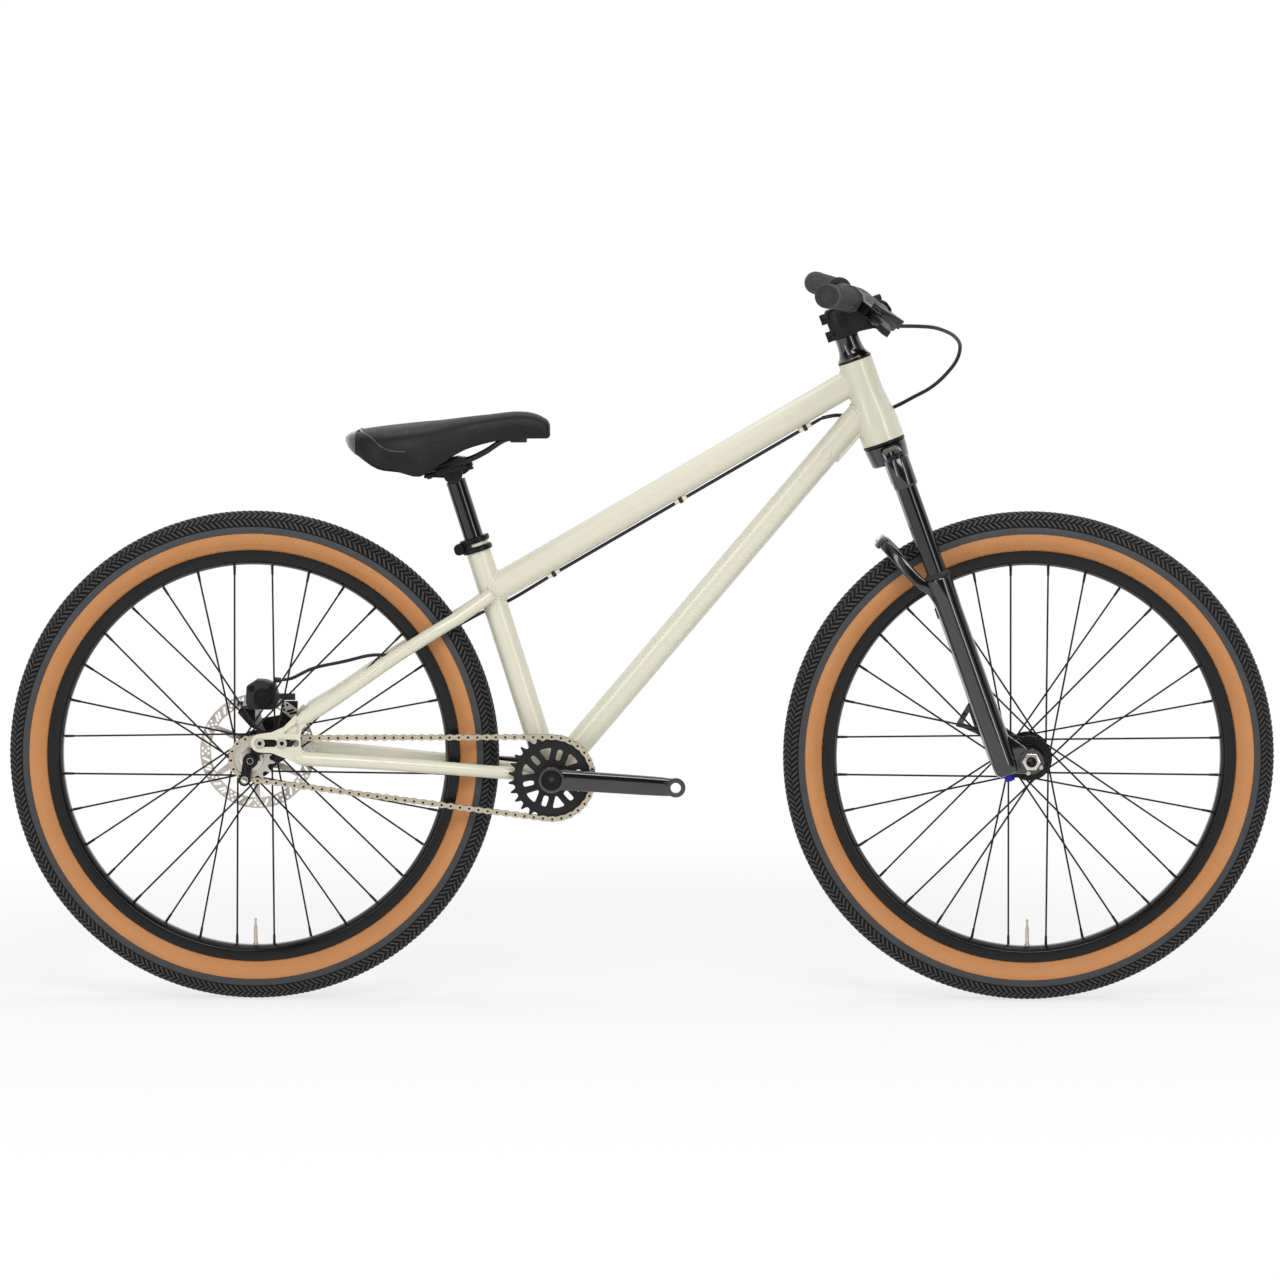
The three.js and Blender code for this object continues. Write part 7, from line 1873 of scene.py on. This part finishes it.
    def arch(self) -> Piece:
        """The brace that joins the legs behind the tyre."""
        shares = ((0.0, 1.0, -0.5), (0.12, 1.0, -0.2), (0.4, 0.98, 0.06), (0.75, 0.8, 0.62),
                  (0.97, 0.45, 0.95), (1.0, 0.0, 1.0))
        rise = self.arch_top - self.leg_top
        half = [Vector((self.leg_ahead - self.leg * 0.5 - self.arch_back * back, side * self.leg_side,
                        self.leg_top + rise * up)) for back, side, up in shares]
        path = smooth_path([*half, *other_side(half[:-1])], 5)
        fall = Vector((-self.arch_back, 0, rise)).normalized()
        normal = Vector((fall.z, 0, -fall.x))
        rings = []
        for n, spot in enumerate(path):
            ahead = (path[min(n + 1, len(path) - 1)] - path[max(n - 1, 0)]).normalized()
            thick = ahead.cross(normal).normalized()
            wide = thick.cross(ahead).normalized()
            rings.append(rounded_ring(spot, wide * self.arch_wide, thick * self.arch_thick, 3.2, 20))
        arch = lofted("arch", rings, BIKE.steering)
        top = Vector((self.leg_ahead - self.leg * 0.5 - self.arch_back, 0, self.arch_top))
        lip = []
        for side, trim in ((-34, 0.55), (-31, 0.9), (-18, 1), (18, 1), (31, 0.9), (34, 0.55)):
            spot = top + LEFT * side + Vector((-4.5, 0, -3.5)) * (1 - abs(side) / 90)
            lip.append(rounded_ring(spot, fall * 5 * trim, normal * 8 * trim, 3.2, 20))
        ledge = []
        for before, spot, after in list(zip(path, path[1:], path[2:]))[2:-2]:
            thick = (after - before).normalized().cross(fall)
            ledge.append(rounded_ring(spot + fall * 3.4 - normal * 4.5, thick * 2.2, fall * 3.2, 3, 12))
        return joined([arch, lofted("lip", lip, BIKE.steering), lofted("ledge", ledge, BIKE.steering)])

    def trim(self) -> None:
        """The hose tab behind the left leg and the two small bright bolts at the right leg's foot."""
        back = BIKE.steering.inverted() @ Vector(self.hose_tab)
        outer = washer(back.x - 3, back.x + 12, back.z - 8, back.z + 8)
        tab = plate("fork_hose_tab", eased(outer, 2), 62, 66, BIKE.steering)
        inner = washer(back.x, back.x + 9, back.z - 5, back.z + 5)
        cut(tab, [plate("tool", inner, 58, 70, BIKE.steering)])
        dressed(settled(tab), Finishes.GLOSS, "fork_lowers", "fork_lowers")
        heads = []
        for n, (along, up) in enumerate(self.foot_bolts):
            place = aimed(BIKE.steering @ Vector((along, -72.3, up)), BIKE.steering.to_3x3() @ -LEFT)
            heads.append(bolt_head(f"foot_bolt_{n}", place, 2.9, 1.8, 1.3))
        bolts = joined(heads, "fork_foot_bolts")
        dressed(settled(bolts), Finishes.STAINLESS, "fork_lowers", "front_axle")

    def axle(self) -> None:
        """The hollow front axle with a bright six-sided head at each end, and a dark ring of painted shade in
        each head's bore.
        """
        place = BIKE.steering @ across(self.axle_spot)
        middle = BIKE.steering @ self.axle_spot
        shaft = turned("front_axle_shaft", mirrored([(6, 72.6), (10, 72.6), (10, 1)]), place, 40)
        dressed(settled(shaft), Finishes.ANODISED, "fork_lowers", "front_axle")
        for side in Side:
            near, far = 72.7 * side.value, 77.5 * side.value
            nut = rod(f"front_axle_nut_{side.word}", middle + LEFT * near, middle + LEFT * far, 13, sides=6)
            bevelled(nut, 0.9, 2, 50)
            cut(nut, [drill(middle - LEFT * 90, middle + LEFT * 90, 7.4, 40)])
            dressed(settled(nut), Finishes.STAINLESS, "fork_lowers", "front_axle")
            # A dark six-sided ring in each head's bore is painted shade.
            inset = [(5, near), (7.3, near), (7.3, far - side.value), (5, far - side.value * 1.4)]
            ring = turned(f"front_axle_socket_{side.word}", inset, place, 6)
            dressed(settled(ring), Finishes.PIN, "fork_lowers", "front_axle")

    def knob(self) -> None:
        """The blue rebound knob under the right leg."""
        profile = [(0, -16.3), (5.4, -16.3), (6.3, -15.6), (7.6, -9.4), (7.2, -7.4), (0, -7.4)]
        knob = turned("rebound_knob_finished", profile, self.leg_place(Side.RIGHT), 40)
        dressed(settled(knob), Finishes.BLUE, "rebound_knob", "rebound_knob")


# Cockpit


@dataclass(frozen=True)
class Cockpit:
    """The spacer cone, stem, handlebar, grips and brake lever, in the steering frame."""

    reach: float = 49.7
    up: float = 644.5
    clamp: float = 15.9
    thin: float = 11.1
    straight: float = 35
    bend_end: Triple = (35.0, 150.0, 672.0)
    handle: float = 48
    backsweep: float = 0.2054
    upsweep: float = 0.1315
    half: float = 373
    grip_start: float = 243
    stem_foot: float = 629
    stem_height: float = 39

    @property
    def heading(self) -> Vector:
        """The direction of the left grip."""
        return Vector((-self.backsweep, 1, self.upsweep)).normalized()

    def on_grip(self, side: float) -> Vector:
        """A place on the bar's straight outer run, by its distance from the bike's middle."""
        return Vector(self.bend_end) + self.heading * ((side - self.bend_end[1]) / self.heading.y)

    def build(self) -> None:
        """Makes and dresses the cockpit."""
        self.cone()
        for node in ("stem", "stem_faceplate"):
            dressed(softened_copy(node, 0.9), Finishes.ANODISED, "steering", node)
        top = self.stem_foot + self.stem_height + 0.3
        cap = [(0, top), (17.2, top), (17.6, top + 0.4), (17.4, top + 1.6), (16, top + 3.1),
               (14.6, top + 3.4), (5.6, top + 3.4), (5, top + 2.2), (3, top + 1.6), (0, top + 1.6)]
        dressed(settled(turned("stem_cap_finished", cap, BIKE.steering, 48)), Finishes.ANODISED, "steering",
                "stem_cap")
        dressed(settled(self.bar()), Finishes.SATIN, "steering", "handlebar")
        for side in Side:
            dressed(settled(self.grip(side)), Finishes.RUBBER, "steering", f"grip_{side.word}", angle=30)
        dressed(softened_copy("brake_lever_body", 1.1), Finishes.ANODISED, "steering", "brake_lever_body")
        dressed(softened_copy("brake_lever_blade", 1.4), Finishes.SATIN, "brake_lever", "brake_lever_blade")

    def cone(self) -> None:
        """The flared spacer between the headset and the stem."""
        foot = BIKE.head_tube_foot + BIKE.head_tube_length + 2.4
        profile = [(14.6, foot), (23.2, foot), (23.6, foot + 0.4), (23.6, foot + 1.5), (23, foot + 2),
                   (20.6, foot + 5), (18.6, foot + 9), (17.3, foot + 14), (16.6, foot + 20),
                   (16.4, foot + 26), (16.4, 628.3), (16, 628.7), (14.6, 628.7)]
        dressed(settled(turned("headset_cone_finished", profile, BIKE.steering, 64)), Finishes.GLOSS,
                "steering", "headset_cone")

    def bar(self) -> Piece:
        """The riser bar, thick in the stem and thin under the grips."""
        heading, end = self.heading, Vector(self.bend_end)
        a, d = Vector((self.reach, self.straight, self.up)), end
        b, c = a + LEFT * self.handle, end - heading * self.handle
        half = [(Vector((self.reach, 0, self.up)), self.clamp),
                (Vector((self.reach, 27, self.up)), self.clamp)]
        steps = 22
        for n in range(steps + 1):
            t = n / steps
            spot = a * (1 - t) ** 3 + b * 3 * t * (1 - t) ** 2 + c * 3 * t * t * (1 - t) + d * t ** 3
            half.append((spot, self.clamp + (self.thin - self.clamp) * ease(min(t / 0.6, 1))))
        half.append((self.on_grip(self.half), self.thin))
        other = [(Vector((p.x, -p.y, p.z)), r) for p, r in reversed(half[1:])]
        run = other + half
        path = [p for p, _ in run]
        shares = [r / self.clamp for _, r in run]
        bar = swept("handlebar_finished", path, self.clamp, shares, 32)
        bar.data.transform(BIKE.steering)
        return bar

    def grip(self, side: Side) -> Piece:
        """A grip with a flange, rows of ribs and a plain ring on its end."""
        start = self.on_grip(self.grip_start)
        length = (self.on_grip(self.half) - start).length
        profile = [(11.4, 0), (17.4, 0), (18, 0.6), (18, 3.2), (17.2, 4), (15.2, 4.6)]
        ribs = 18
        first, last = 7.0, length * 0.9
        for n in range(ribs):
            at = first + (last - first) * n / (ribs - 1)
            pitch = (last - first) / (ribs - 1)
            profile += [(14.7, at - pitch * 0.36), (16.0, at - pitch * 0.22), (16.0, at + pitch * 0.22),
                        (14.7, at + pitch * 0.36)]
        end = length + 4.3
        profile += [(15.4, length * 0.925), (16.4, length * 0.935), (16.1, end - 1.6), (15.0, end - 0.2),
                    (14.4, end), (12.4, end), (11.6, end - 0.7), (9.4, end - 0.7), (8.6, end), (0, end),
                    (0, length + 0.3), (11.4, length + 0.3)]
        grip = turned(f"grip_{side.word}_finished", profile, aimed(start, self.heading), 48)
        if side is Side.RIGHT:
            grip.data.transform(Matrix.Scale(-1, 4, LEFT))
            cleaned(grip)
        grip.data.transform(BIKE.steering)
        return grip


# Saddle


@dataclass(frozen=True)
class Seat:
    """The seatpost, saddle clamp, rails, base and padded cover."""

    show: float = 92
    post: float = 13.6
    insertion: float = 118
    barrel_radius: float = 13
    barrel_half: float = 17
    rail: float = 3.5
    rail_side: float = 22
    rail_tilt: float = 14.7
    rail_level: float = 14
    rail_rise: float = 44
    length: float = 279.5
    width: float = 135
    height: float = 87.4
    tail_back: float = 146.8
    foot_drop: float = 0.7
    padding: float = 22
    rail_shares: tuple[Triple, ...] = ((-0.3, 0.93, 1.5), (-0.2, 0.39, 1.25), (-0.14, 0.08, 1.06),
                                       (-0.09, 0, 1), (-0.04, 0, 1), (0.04, 0, 1), (0.1, 0, 1),
                                       (0.18, 0.1, 0.98), (0.292, 0.32, 0.72), (0.356, 0.26, 0.4))
    # Sections from tail to nose: shares of the length, the width, and the height of top and edge.
    sections: tuple[Section, ...] = (
        (0, 0.2, 0.6, 0.53), (0.025, 0.5, 0.66, 0.42), (0.075, 0.78, 0.71, 0.3), (0.165, 0.97, 0.755, 0.12),
        (0.27, 1, 0.795, 0.07), (0.37, 0.92, 0.83, 0), (0.475, 0.7, 0.86, 0.2), (0.585, 0.5, 0.905, 0.4),
        (0.7, 0.4, 0.945, 0.51), (0.825, 0.35, 0.99, 0.58), (0.885, 0.335, 0.985, 0.575),
        (0.93, 0.315, 0.955, 0.575), (0.965, 0.3, 0.905, 0.575), (0.99, 0.27, 0.85, 0.578),
        (1, 0.21, 0.79, 0.6))
    # One side of a section, from its top to its edge: shares of the half width and of the height.
    corners: tuple[Pair, ...] = ((0.2, 0.995), (0.42, 0.97), (0.62, 0.93), (0.8, 0.86), (0.92, 0.72),
                                 (0.98, 0.55), (1, 0.32), (1, 0.1), (0.94, 0))

    # The seam: a share of the length and a height above the lowest side, from the tail to the nose.
    seam: tuple[Pair, ...] = ((0.072, 61.5), (0.085, 59.5), (0.105, 57), (0.135, 52), (0.172, 43.5),
                              (0.22, 36.5), (0.3, 34.2), (0.4, 38.2), (0.505, 47), (0.677, 62), (0.842, 70),
                              (0.965, 66))
    piped_to: float = 0.36
    pipe: float = 1.35
    thread: float = 0.65
    bumper_to: float = 0.056

    @property
    def barrel(self) -> Vector:
        """The middle of the seatpost's head."""
        return BIKE.seating @ Vector((0, 0, BIKE.seat_tube_length + self.show))

    @property
    def tilted(self) -> Matrix:
        """The rails' frame: X along them, from the middle of the seatpost's head."""
        return Matrix.Translation(self.barrel) @ Matrix.Rotation(-math.radians(self.rail_tilt), 4, "Y")

    def build(self) -> None:
        """Makes and dresses the seatpost and the saddle."""
        self.seatpost()
        dressed(softened_copy("saddle_clamp", 0.9), Finishes.ANODISED, "saddle", "saddle_clamp")
        dressed(joined([softened_copy("saddle_cradle", 0.9), settled(self.wings())]), Finishes.ANODISED,
                "saddle", "saddle_cradle")
        dressed(settled(self.rails()), Finishes.SATIN, "saddle", "saddle_rails")
        dressed(softened_copy("saddle_base", 0.6), Finishes.PLASTIC, "saddle", "saddle_base")
        cover = dressed(settled(self.cover()), Finishes.VINYL, "saddle", "saddle_cover", angle=60)
        dressed(settled(self.piping()), Finishes.BUMPER, "saddle", "saddle_cover", angle=60)
        dressed(settled(self.stitches()), Finishes.RUBBER, "saddle", "saddle_cover", angle=60)
        dressed(settled(self.bumper()), Finishes.BUMPER, "saddle", "saddle_cover", angle=50)

    def seatpost(self) -> None:
        """Makes and dresses the seatpost."""
        foot = BIKE.seat_tube_length - self.insertion
        top = BIKE.seat_tube_length + self.show
        profile = [(11.6, foot), (self.post - 0.4, foot), (self.post, foot + 0.4), (self.post, top - 9),
                   (0, top - 9), (0, top - 26), (11.6, top - 26)]
        shaft = turned("seatpost_shaft", profile, BIKE.seating, 56)
        half = self.barrel_half
        barrel = [(0, -half), (self.barrel_radius - 1, -half), (self.barrel_radius, 1 - half),
                  (self.barrel_radius, half - 1), (self.barrel_radius - 1, half), (0, half)]
        head = turned("seatpost_head", barrel, across(self.barrel), 56)
        cut(shaft, [head], "UNION")
        dressed(settled(shaft), Finishes.POLISHED, "seatpost", "seatpost")

    def wings(self) -> Piece:
        """The cradle's foot, which reaches fore and aft under the rails to its two bolts."""
        outline = eased([(-39, 9.6), (-40, 4.5), (-26, 2.5), (-12, -2), (12, -4.5), (20, -2), (29, 3.6),
                         (29, 9.6)], 2.5)
        wings = bevelled(plate("wings", outline, -15, 15), 1.0, 2, 40)
        cut(wings, [drill(LEFT * -40, LEFT * 40, self.barrel_radius + 0.7)])
        bolts = [bolt_head("bolt", aimed(Vector((ahead, 0, up)), Vector((0, 0, -1))), 3.6, 3, 2)
                 for ahead, up in ((-33, 4.4), (25.5, 2.6))]
        wings = joined([wings, *bolts])
        wings.data.transform(self.tilted)
        return wings

    def rails(self) -> Piece:
        """The rail rod, from one tail end round the nose to the other."""
        half = [Vector((ahead * self.length, side * self.rail_side, self.rail_level + up * self.rail_rise))
                for ahead, up, side in self.rail_shares]
        path = smooth_path([*half, *other_side(half)], 5)
        rails = swept("saddle_rails_finished", path, self.rail, sides=20)
        rails.data.transform(self.tilted)
        return rails

    def place(self, along: float, side: float, up: float) -> Triple:
        """A place on the saddle: a share of its length, then millimetres left and up from its lowest side."""
        spot = self.barrel + Vector((along * self.length - self.tail_back, side, up - self.foot_drop))
        return (spot.x, spot.y, spot.z)

    def smooth_sections(self, steps: int) -> list[Section]:
        """The sections with more between them, on smooth curves."""
        near = [Vector((s[0] * 4, s[1], s[2])) for s in self.sections]
        far = [Vector((s[0] * 4, s[3], 0)) for s in self.sections]
        first, second = smooth_path(near, steps), smooth_path(far, steps)
        return [(max(a.x / 4, 0.0), a.y, a.z, b.y) for a, b in zip(first, second)]

    def ring(self, along: float, top: float, side: Sequence[Pair], low: float) -> list[Triple]:
        """A closed section: from its top down one side, across at its lowest and up the other side."""
        other = [(-y, z) for y, z in reversed(side)]
        return [self.place(along, y, z) for y, z in [(0, top), *side, (0, low), *other]]

    def cover(self) -> Piece:
        """The padded cover, from its top down round its sides to the base."""
        rings = []
        for along, wide, top_share, edge_share in self.smooth_sections(3):
            half, top, edge = self.width / 2 * wide, self.height * top_share, self.height * edge_share
            ceiling = top - min(self.padding, (top - edge) * 0.7)
            side = [(half * out, edge + (top - edge) * up) for out, up in self.corners]
            side += [(half * 0.86, edge + 0.3), (half * 0.74, ceiling)]
            rings.append(self.ring(along, top, side, ceiling))
        return lofted("saddle_cover_finished", rings)

    def skin(self, along: float, up: float, lift: float = 0.0) -> float:
        """How far out the cover's side is at a share of its length and a height."""
        rows = self.smooth_sections(6)
        near = min(rows, key=lambda row: abs(row[0] - along))
        half, top, edge = self.width / 2 * near[1], self.height * near[2], self.height * near[3]
        share = min(max((up - edge) / (top - edge), 0.0), 0.995)
        for (out_a, up_a), (out_b, up_b) in zip(self.corners, self.corners[1:]):
            if up_b <= share <= up_a:
                mix = (share - up_b) / (up_a - up_b)
                return half * (out_b + (out_a - out_b) * mix) + lift
        return half + lift

    def seam_spots(self, sign: int, lift: float) -> list[Vector]:
        """Places along the seam on one side, from the tail to the nose."""
        return [Vector(self.place(along, sign * self.skin(along, up, lift), up)) for along, up in self.seam]

    def piping(self) -> Piece:
        """The piping round the tail, where the top panel meets the side panels."""
        right, left = ([spot for spot, (along, _) in zip(self.seam_spots(sign, 0.2), self.seam)
                        if along <= self.piped_to] for sign in (-1, 1))
        rows = self.smooth_sections(6)
        back = min(rows, key=lambda row: abs(row[0] - self.seam[0][0] + 0.012))
        over = []
        for sign, out, fall in ((-1, 0.42, 0.985), (-1, 0.2, 0.998), (1, 0.2, 0.998), (1, 0.42, 0.985)):
            side, up = sign * self.width / 2 * back[1] * out, self.height * back[2] * fall + 0.3
            over.append(Vector(self.place(back[0], side, up)))
        path = smooth_path([*reversed(right), *over, *left], 8)
        return swept("saddle_piping", path, self.pipe, sides=10)

    def stitches(self) -> Piece:
        """The stitched seam from the piping to the nose, one short thread after another."""
        threads = []
        for sign in (-1, 1):
            path = smooth_path(self.seam_spots(sign, 0.1)[6:], 20)
            for n in range(0, len(path) - 2, 3):
                threads.append(rod("thread", path[n], path[n + 2], self.thread, sides=6))
        return joined(threads, "saddle_stitches")

    def bumper(self) -> Piece:
        """The hard shiny bumper round the saddle's tail."""
        rings = []
        for along, wide, top_share, edge_share in self.smooth_sections(6):
            if along > self.bumper_to:
                break
            half = self.width / 2 * wide + 0.6
            top, edge = self.height * top_share + 0.5, self.height * edge_share - 0.4
            side = [(half * out, edge + (top - edge) * up) for out, up in self.corners]
            rings.append(self.ring(along - 0.0015, top, side, edge))
        return lofted("saddle_bumper", rings)


# Brake


@dataclass(frozen=True)
class Brake:
    """The rear caliper, its bracket and both lengths of hose."""

    caliper_ahead: float = 8
    caliper_up: float = 79
    hose_radius: float = 2.6
    # The front length, from the lever round the loop and past the head tube's left side to the top tube.
    front_path: tuple[Triple, ...] = (
        (340.1, -183.6, 935.7), (343.2, -170.8, 935.0), (352.5, -161.3, 934.6), (373.9, -145.1, 933.8),
        (394.7, -128.4, 931.7), (411.6, -108.5, 926.2), (425.2, -86.9, 918.2), (433.8, -62.0, 904.7),
        (430, -40, 884), (413.8, -22, 861.7), (396, -1, 845), (375.8, 18, 832.7), (343.8, 35, 815.7),
        (305.8, 37, 806.5), (283, 25, 806.2), (265, 7.5, 806.8), (248.2, 0.0, 803.8))
    joint_start: Triple = (433.8, -62.0, 904.7)
    joint_end: Triple = (305.8, 38.0, 805.7)

    def build(self) -> None:
        """Makes and dresses the brake."""
        dressed(softened_copy("rear_caliper", 2.2, 3), Finishes.PLASTIC, "frame", "rear_caliper")
        dressed(settled(self.caliper_caps()), Finishes.ANODISED, "frame", "rear_caliper")
        dressed(softened_copy("caliper_bracket", 1.2), Finishes.ANODISED, "frame", "caliper_bracket")
        dressed(rounded(merged_copy("brake_hose_rear"), 1), Finishes.HOSE, "frame", "brake_hose_rear",
                angle=60)
        path = smooth_path([Vector(spot) for spot in self.front_path], 7)
        front = settled(swept("brake_hose_front_finished", path, self.hose_radius, sides=16))
        smoothed(front, 60)
        front.data.materials.clear()
        front.data.materials.append(Finishes.HOSE.material())
        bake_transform(front)
        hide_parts("brake_hose_front")
        log.info("%s bends between steering and frame", front.name)

    def caliper_caps(self) -> Piece:
        """The caliper's piston caps and body bolts, on the wheel's side and outside."""
        middle = BIKE.rear_axle + Vector((self.caliper_ahead, 0, self.caliper_up))
        pieces = []
        for face, out in ((BIKE.rotor_side - 15, -1), (BIKE.rotor_side + 15, 1)):
            spot = Vector((middle.x, face - out * 0.5, middle.z))
            cap = [(0, 0), (13.8, 0), (13.8, 1.6), (12.8, 2.6), (11, 2.6), (10.2, 1.9), (3.4, 1.9),
                   (2.8, 2.6), (0, 2.6)]
            pieces.append(turned("cap", cap, aimed(spot + Vector((1.5, 0, -4)), LEFT * out), 44))
            for ahead, up in ((-15.5, 9.5), (13.5, 11.0)):
                place = aimed(spot + Vector((ahead, 0, up)), LEFT * out)
                pieces.append(bolt_head("bolt", place, 4.4, 3.2, 2.1))
        return joined(pieces, "rear_caliper_caps")


# Studio


@dataclass(frozen=True)
class Lamp:
    """A soft lamp: where it stands, how large it is and its power in watts."""

    name: str
    spot: Triple
    size: Pair
    power: float


@dataclass(frozen=True)
class Studio:
    """A white studio: pale floor, soft lamps and the camera at the photograph's angle."""

    camera_spot: Triple = (88.8, -7500.0, 1163.3)
    yaw: float = -0.69
    pitch: float = 5.07
    lens: float = 153.85
    sensor: float = 36
    aim: Triple = (0, 0, 0.5)  # the place in metres that every lamp is turned to
    paper: float = 0.87
    paper_glow: float = 0.72  # how white the paper is under the bike without its shadow
    fade: Pair = (0.9, 1.9)  # metres from the middle between which the paper turns to the backdrop's white
    sky: float = 0.5
    # What gloss shows: a dim front, a white backdrop, and a pale screen to the left and to the right.
    dark_side: float = 0.06
    front_to_back: Pair = (-0.3, 0.35)  # the direction's Y, from the dim front to the backdrop
    side_glow: float = 0.5
    screen_near: Pair = (0.3, 0.42)  # the direction's X, to either side, over which a screen starts
    screen_far: Pair = (0.72, 0.84)  # and ends
    lamps: tuple[Lamp, ...] = (Lamp("front_box", (0.5, -3.9, 3.5), (2.6, 1.8), 88.0),
                               Lamp("right_strip", (2.1, -2.7, 1.5), (0.45, 2.6), 18.0),
                               Lamp("left_strip", (-2.3, -2.6, 1.4), (0.75, 2.6), 22.0),
                               Lamp("top_box", (0.0, 0.3, 3.2), (2.6, 1.4), 25.0))

    def build(self) -> None:
        """Makes the floor, the world, the lamps and the camera."""
        self.floor()
        self.world()
        for lamp in self.lamps:
            self.lamp(lamp)
        self.camera()

    def floor(self) -> None:
        """The floor: matt white paper that keeps the bike's shadow and fades into the backdrop."""
        bpy.ops.object.select_all(action="DESELECT")
        bpy.ops.mesh.primitive_plane_add(size=24, location=(0, 0, 0))
        floor = bpy.context.object
        floor.name = "floor"
        material = bpy.data.materials.new("matt_white_paper")
        material.use_nodes = True
        tree = material.node_tree
        tree.nodes.clear()
        matt = add(tree, "ShaderNodeBsdfDiffuse", {"Color": (self.paper, self.paper, self.paper, 1.0)})
        glow = add(tree, "ShaderNodeEmission", {"Color": (1.0, 1.0, 1.0, 1.0), "Strength": 1.0})
        ray = add(tree, "ShaderNodeLightPath")
        seen = add(tree, "ShaderNodeMath", {0: ray.outputs["Is Camera Ray"], 1: ray.outputs["Is Glossy Ray"]},
                   operation="MAXIMUM")
        seen = add(tree, "ShaderNodeMath", {0: seen.outputs[0], 1: ray.outputs["Is Transmission Ray"]},
                   operation="MAXIMUM")
        # Near the bike the paper shows its shadow: farther out it is as white as the backdrop.
        spot = add(tree, "ShaderNodeTexCoord").outputs["Object"]
        away = add(tree, "ShaderNodeVectorMath", {0: spot}, operation="LENGTH")
        share = ramp(tree, away.outputs["Value"], self.fade, (self.paper_glow, 1.0))
        share = add(tree, "ShaderNodeMath", {0: seen.outputs[0], 1: share.outputs[0]}, operation="MULTIPLY")
        mix = add(tree, "ShaderNodeMixShader", {0: share.outputs[0], 1: matt.outputs[0], 2: glow.outputs[0]})
        add(tree, "ShaderNodeOutputMaterial", {"Surface": mix.outputs[0]})
        floor.data.materials.append(material)

    def world(self) -> None:
        """An even sky. Gloss reflects a white backdrop, a dim front and a pale screen to either side."""
        world = bpy.data.worlds.new("studio")
        bpy.context.scene.world = world
        world.use_nodes = True
        tree = world.node_tree
        tree.nodes.clear()
        ray = add(tree, "ShaderNodeLightPath")
        spot = add(tree, "ShaderNodeSeparateXYZ", {0: add(tree, "ShaderNodeTexCoord").outputs["Generated"]})
        mirror = ramp(tree, spot.outputs[1], self.front_to_back, (self.dark_side, 1.0))
        aside = add(tree, "ShaderNodeMath", {0: spot.outputs[0]}, operation="ABSOLUTE")
        near = ramp(tree, aside.outputs[0], self.screen_near, (0.0, self.side_glow))
        far = ramp(tree, aside.outputs[0], self.screen_far, (1.0, 0.0))
        screens = add(tree, "ShaderNodeMath", {0: near.outputs[0], 1: far.outputs[0]}, operation="MULTIPLY")
        mirror = add(tree, "ShaderNodeMath", {0: mirror.outputs[0], 1: screens.outputs[0]},
                     operation="MAXIMUM")
        level = add(tree, "ShaderNodeMix", {0: ray.outputs["Is Glossy Ray"], 2: self.sky,
                                            3: mirror.outputs[0]}, data_type="FLOAT")
        seen = add(tree, "ShaderNodeMath", {0: ray.outputs["Is Camera Ray"],
                                            1: ray.outputs["Is Transmission Ray"]}, operation="MAXIMUM")
        level = add(tree, "ShaderNodeMix", {0: seen.outputs[0], 2: level.outputs[0], 3: 1.0},
                    data_type="FLOAT")
        white = add(tree, "ShaderNodeBackground", {"Color": (1.0, 1.0, 1.0, 1.0),
                                                   "Strength": level.outputs[0]})
        add(tree, "ShaderNodeOutputWorld", {"Surface": white.outputs[0]})

    def lamp(self, lamp: Lamp) -> None:
        """One soft lamp, turned to the middle of the bike."""
        data = bpy.data.lights.new(lamp.name, "AREA")
        data.shape = "RECTANGLE"
        data.size, data.size_y = lamp.size
        data.energy = lamp.power
        light = bpy.data.objects.new(lamp.name, data)
        bpy.context.scene.collection.objects.link(light)
        run = Vector(self.aim) - Vector(lamp.spot)
        light.matrix_world = Matrix.Translation(lamp.spot) @ run.to_track_quat("-Z", "Y").to_matrix().to_4x4()

    def camera(self) -> None:
        """The camera, at the photograph's place and angle."""
        data = bpy.data.cameras.new("camera")
        data.lens = self.lens
        data.sensor_width = self.sensor
        camera = bpy.data.objects.new("camera", data)
        bpy.context.scene.collection.objects.link(camera)
        yaw, pitch = math.radians(self.yaw), math.radians(self.pitch)
        ahead = Vector((math.sin(yaw) * math.cos(pitch), math.cos(yaw) * math.cos(pitch), -math.sin(pitch)))
        spot = Vector(self.camera_spot) * MM
        camera.matrix_world = Matrix.Translation(spot) @ ahead.to_track_quat("-Z", "Y").to_matrix().to_4x4()
        bpy.context.scene.camera = camera


def main() -> None:
    """Builds the bike from the ground up, then the studio round it."""
    logging.basicConfig(level=logging.INFO, format="%(name)s: %(message)s")
    line = ChainLine()
    parts = [Tyre("rear", BIKE.rear_axle), Tyre("front", BIKE.front_axle), Rim("rear", BIKE.rear_axle),
             Rim("front", BIKE.front_axle), RearHub(), FrontHub(), Rotor(), MainFrame(), Rear(), Bearings(),
             line, Sprockets(line), Cranks(), Fork(), Cockpit(), Seat(), Brake()]
    for part in parts:
        part.build()
        log.info("%s done", type(part).__name__)
    Studio().build()
    bpy.context.scene.view_settings.view_transform = "Standard"


if __name__ == "__main__":
    main()
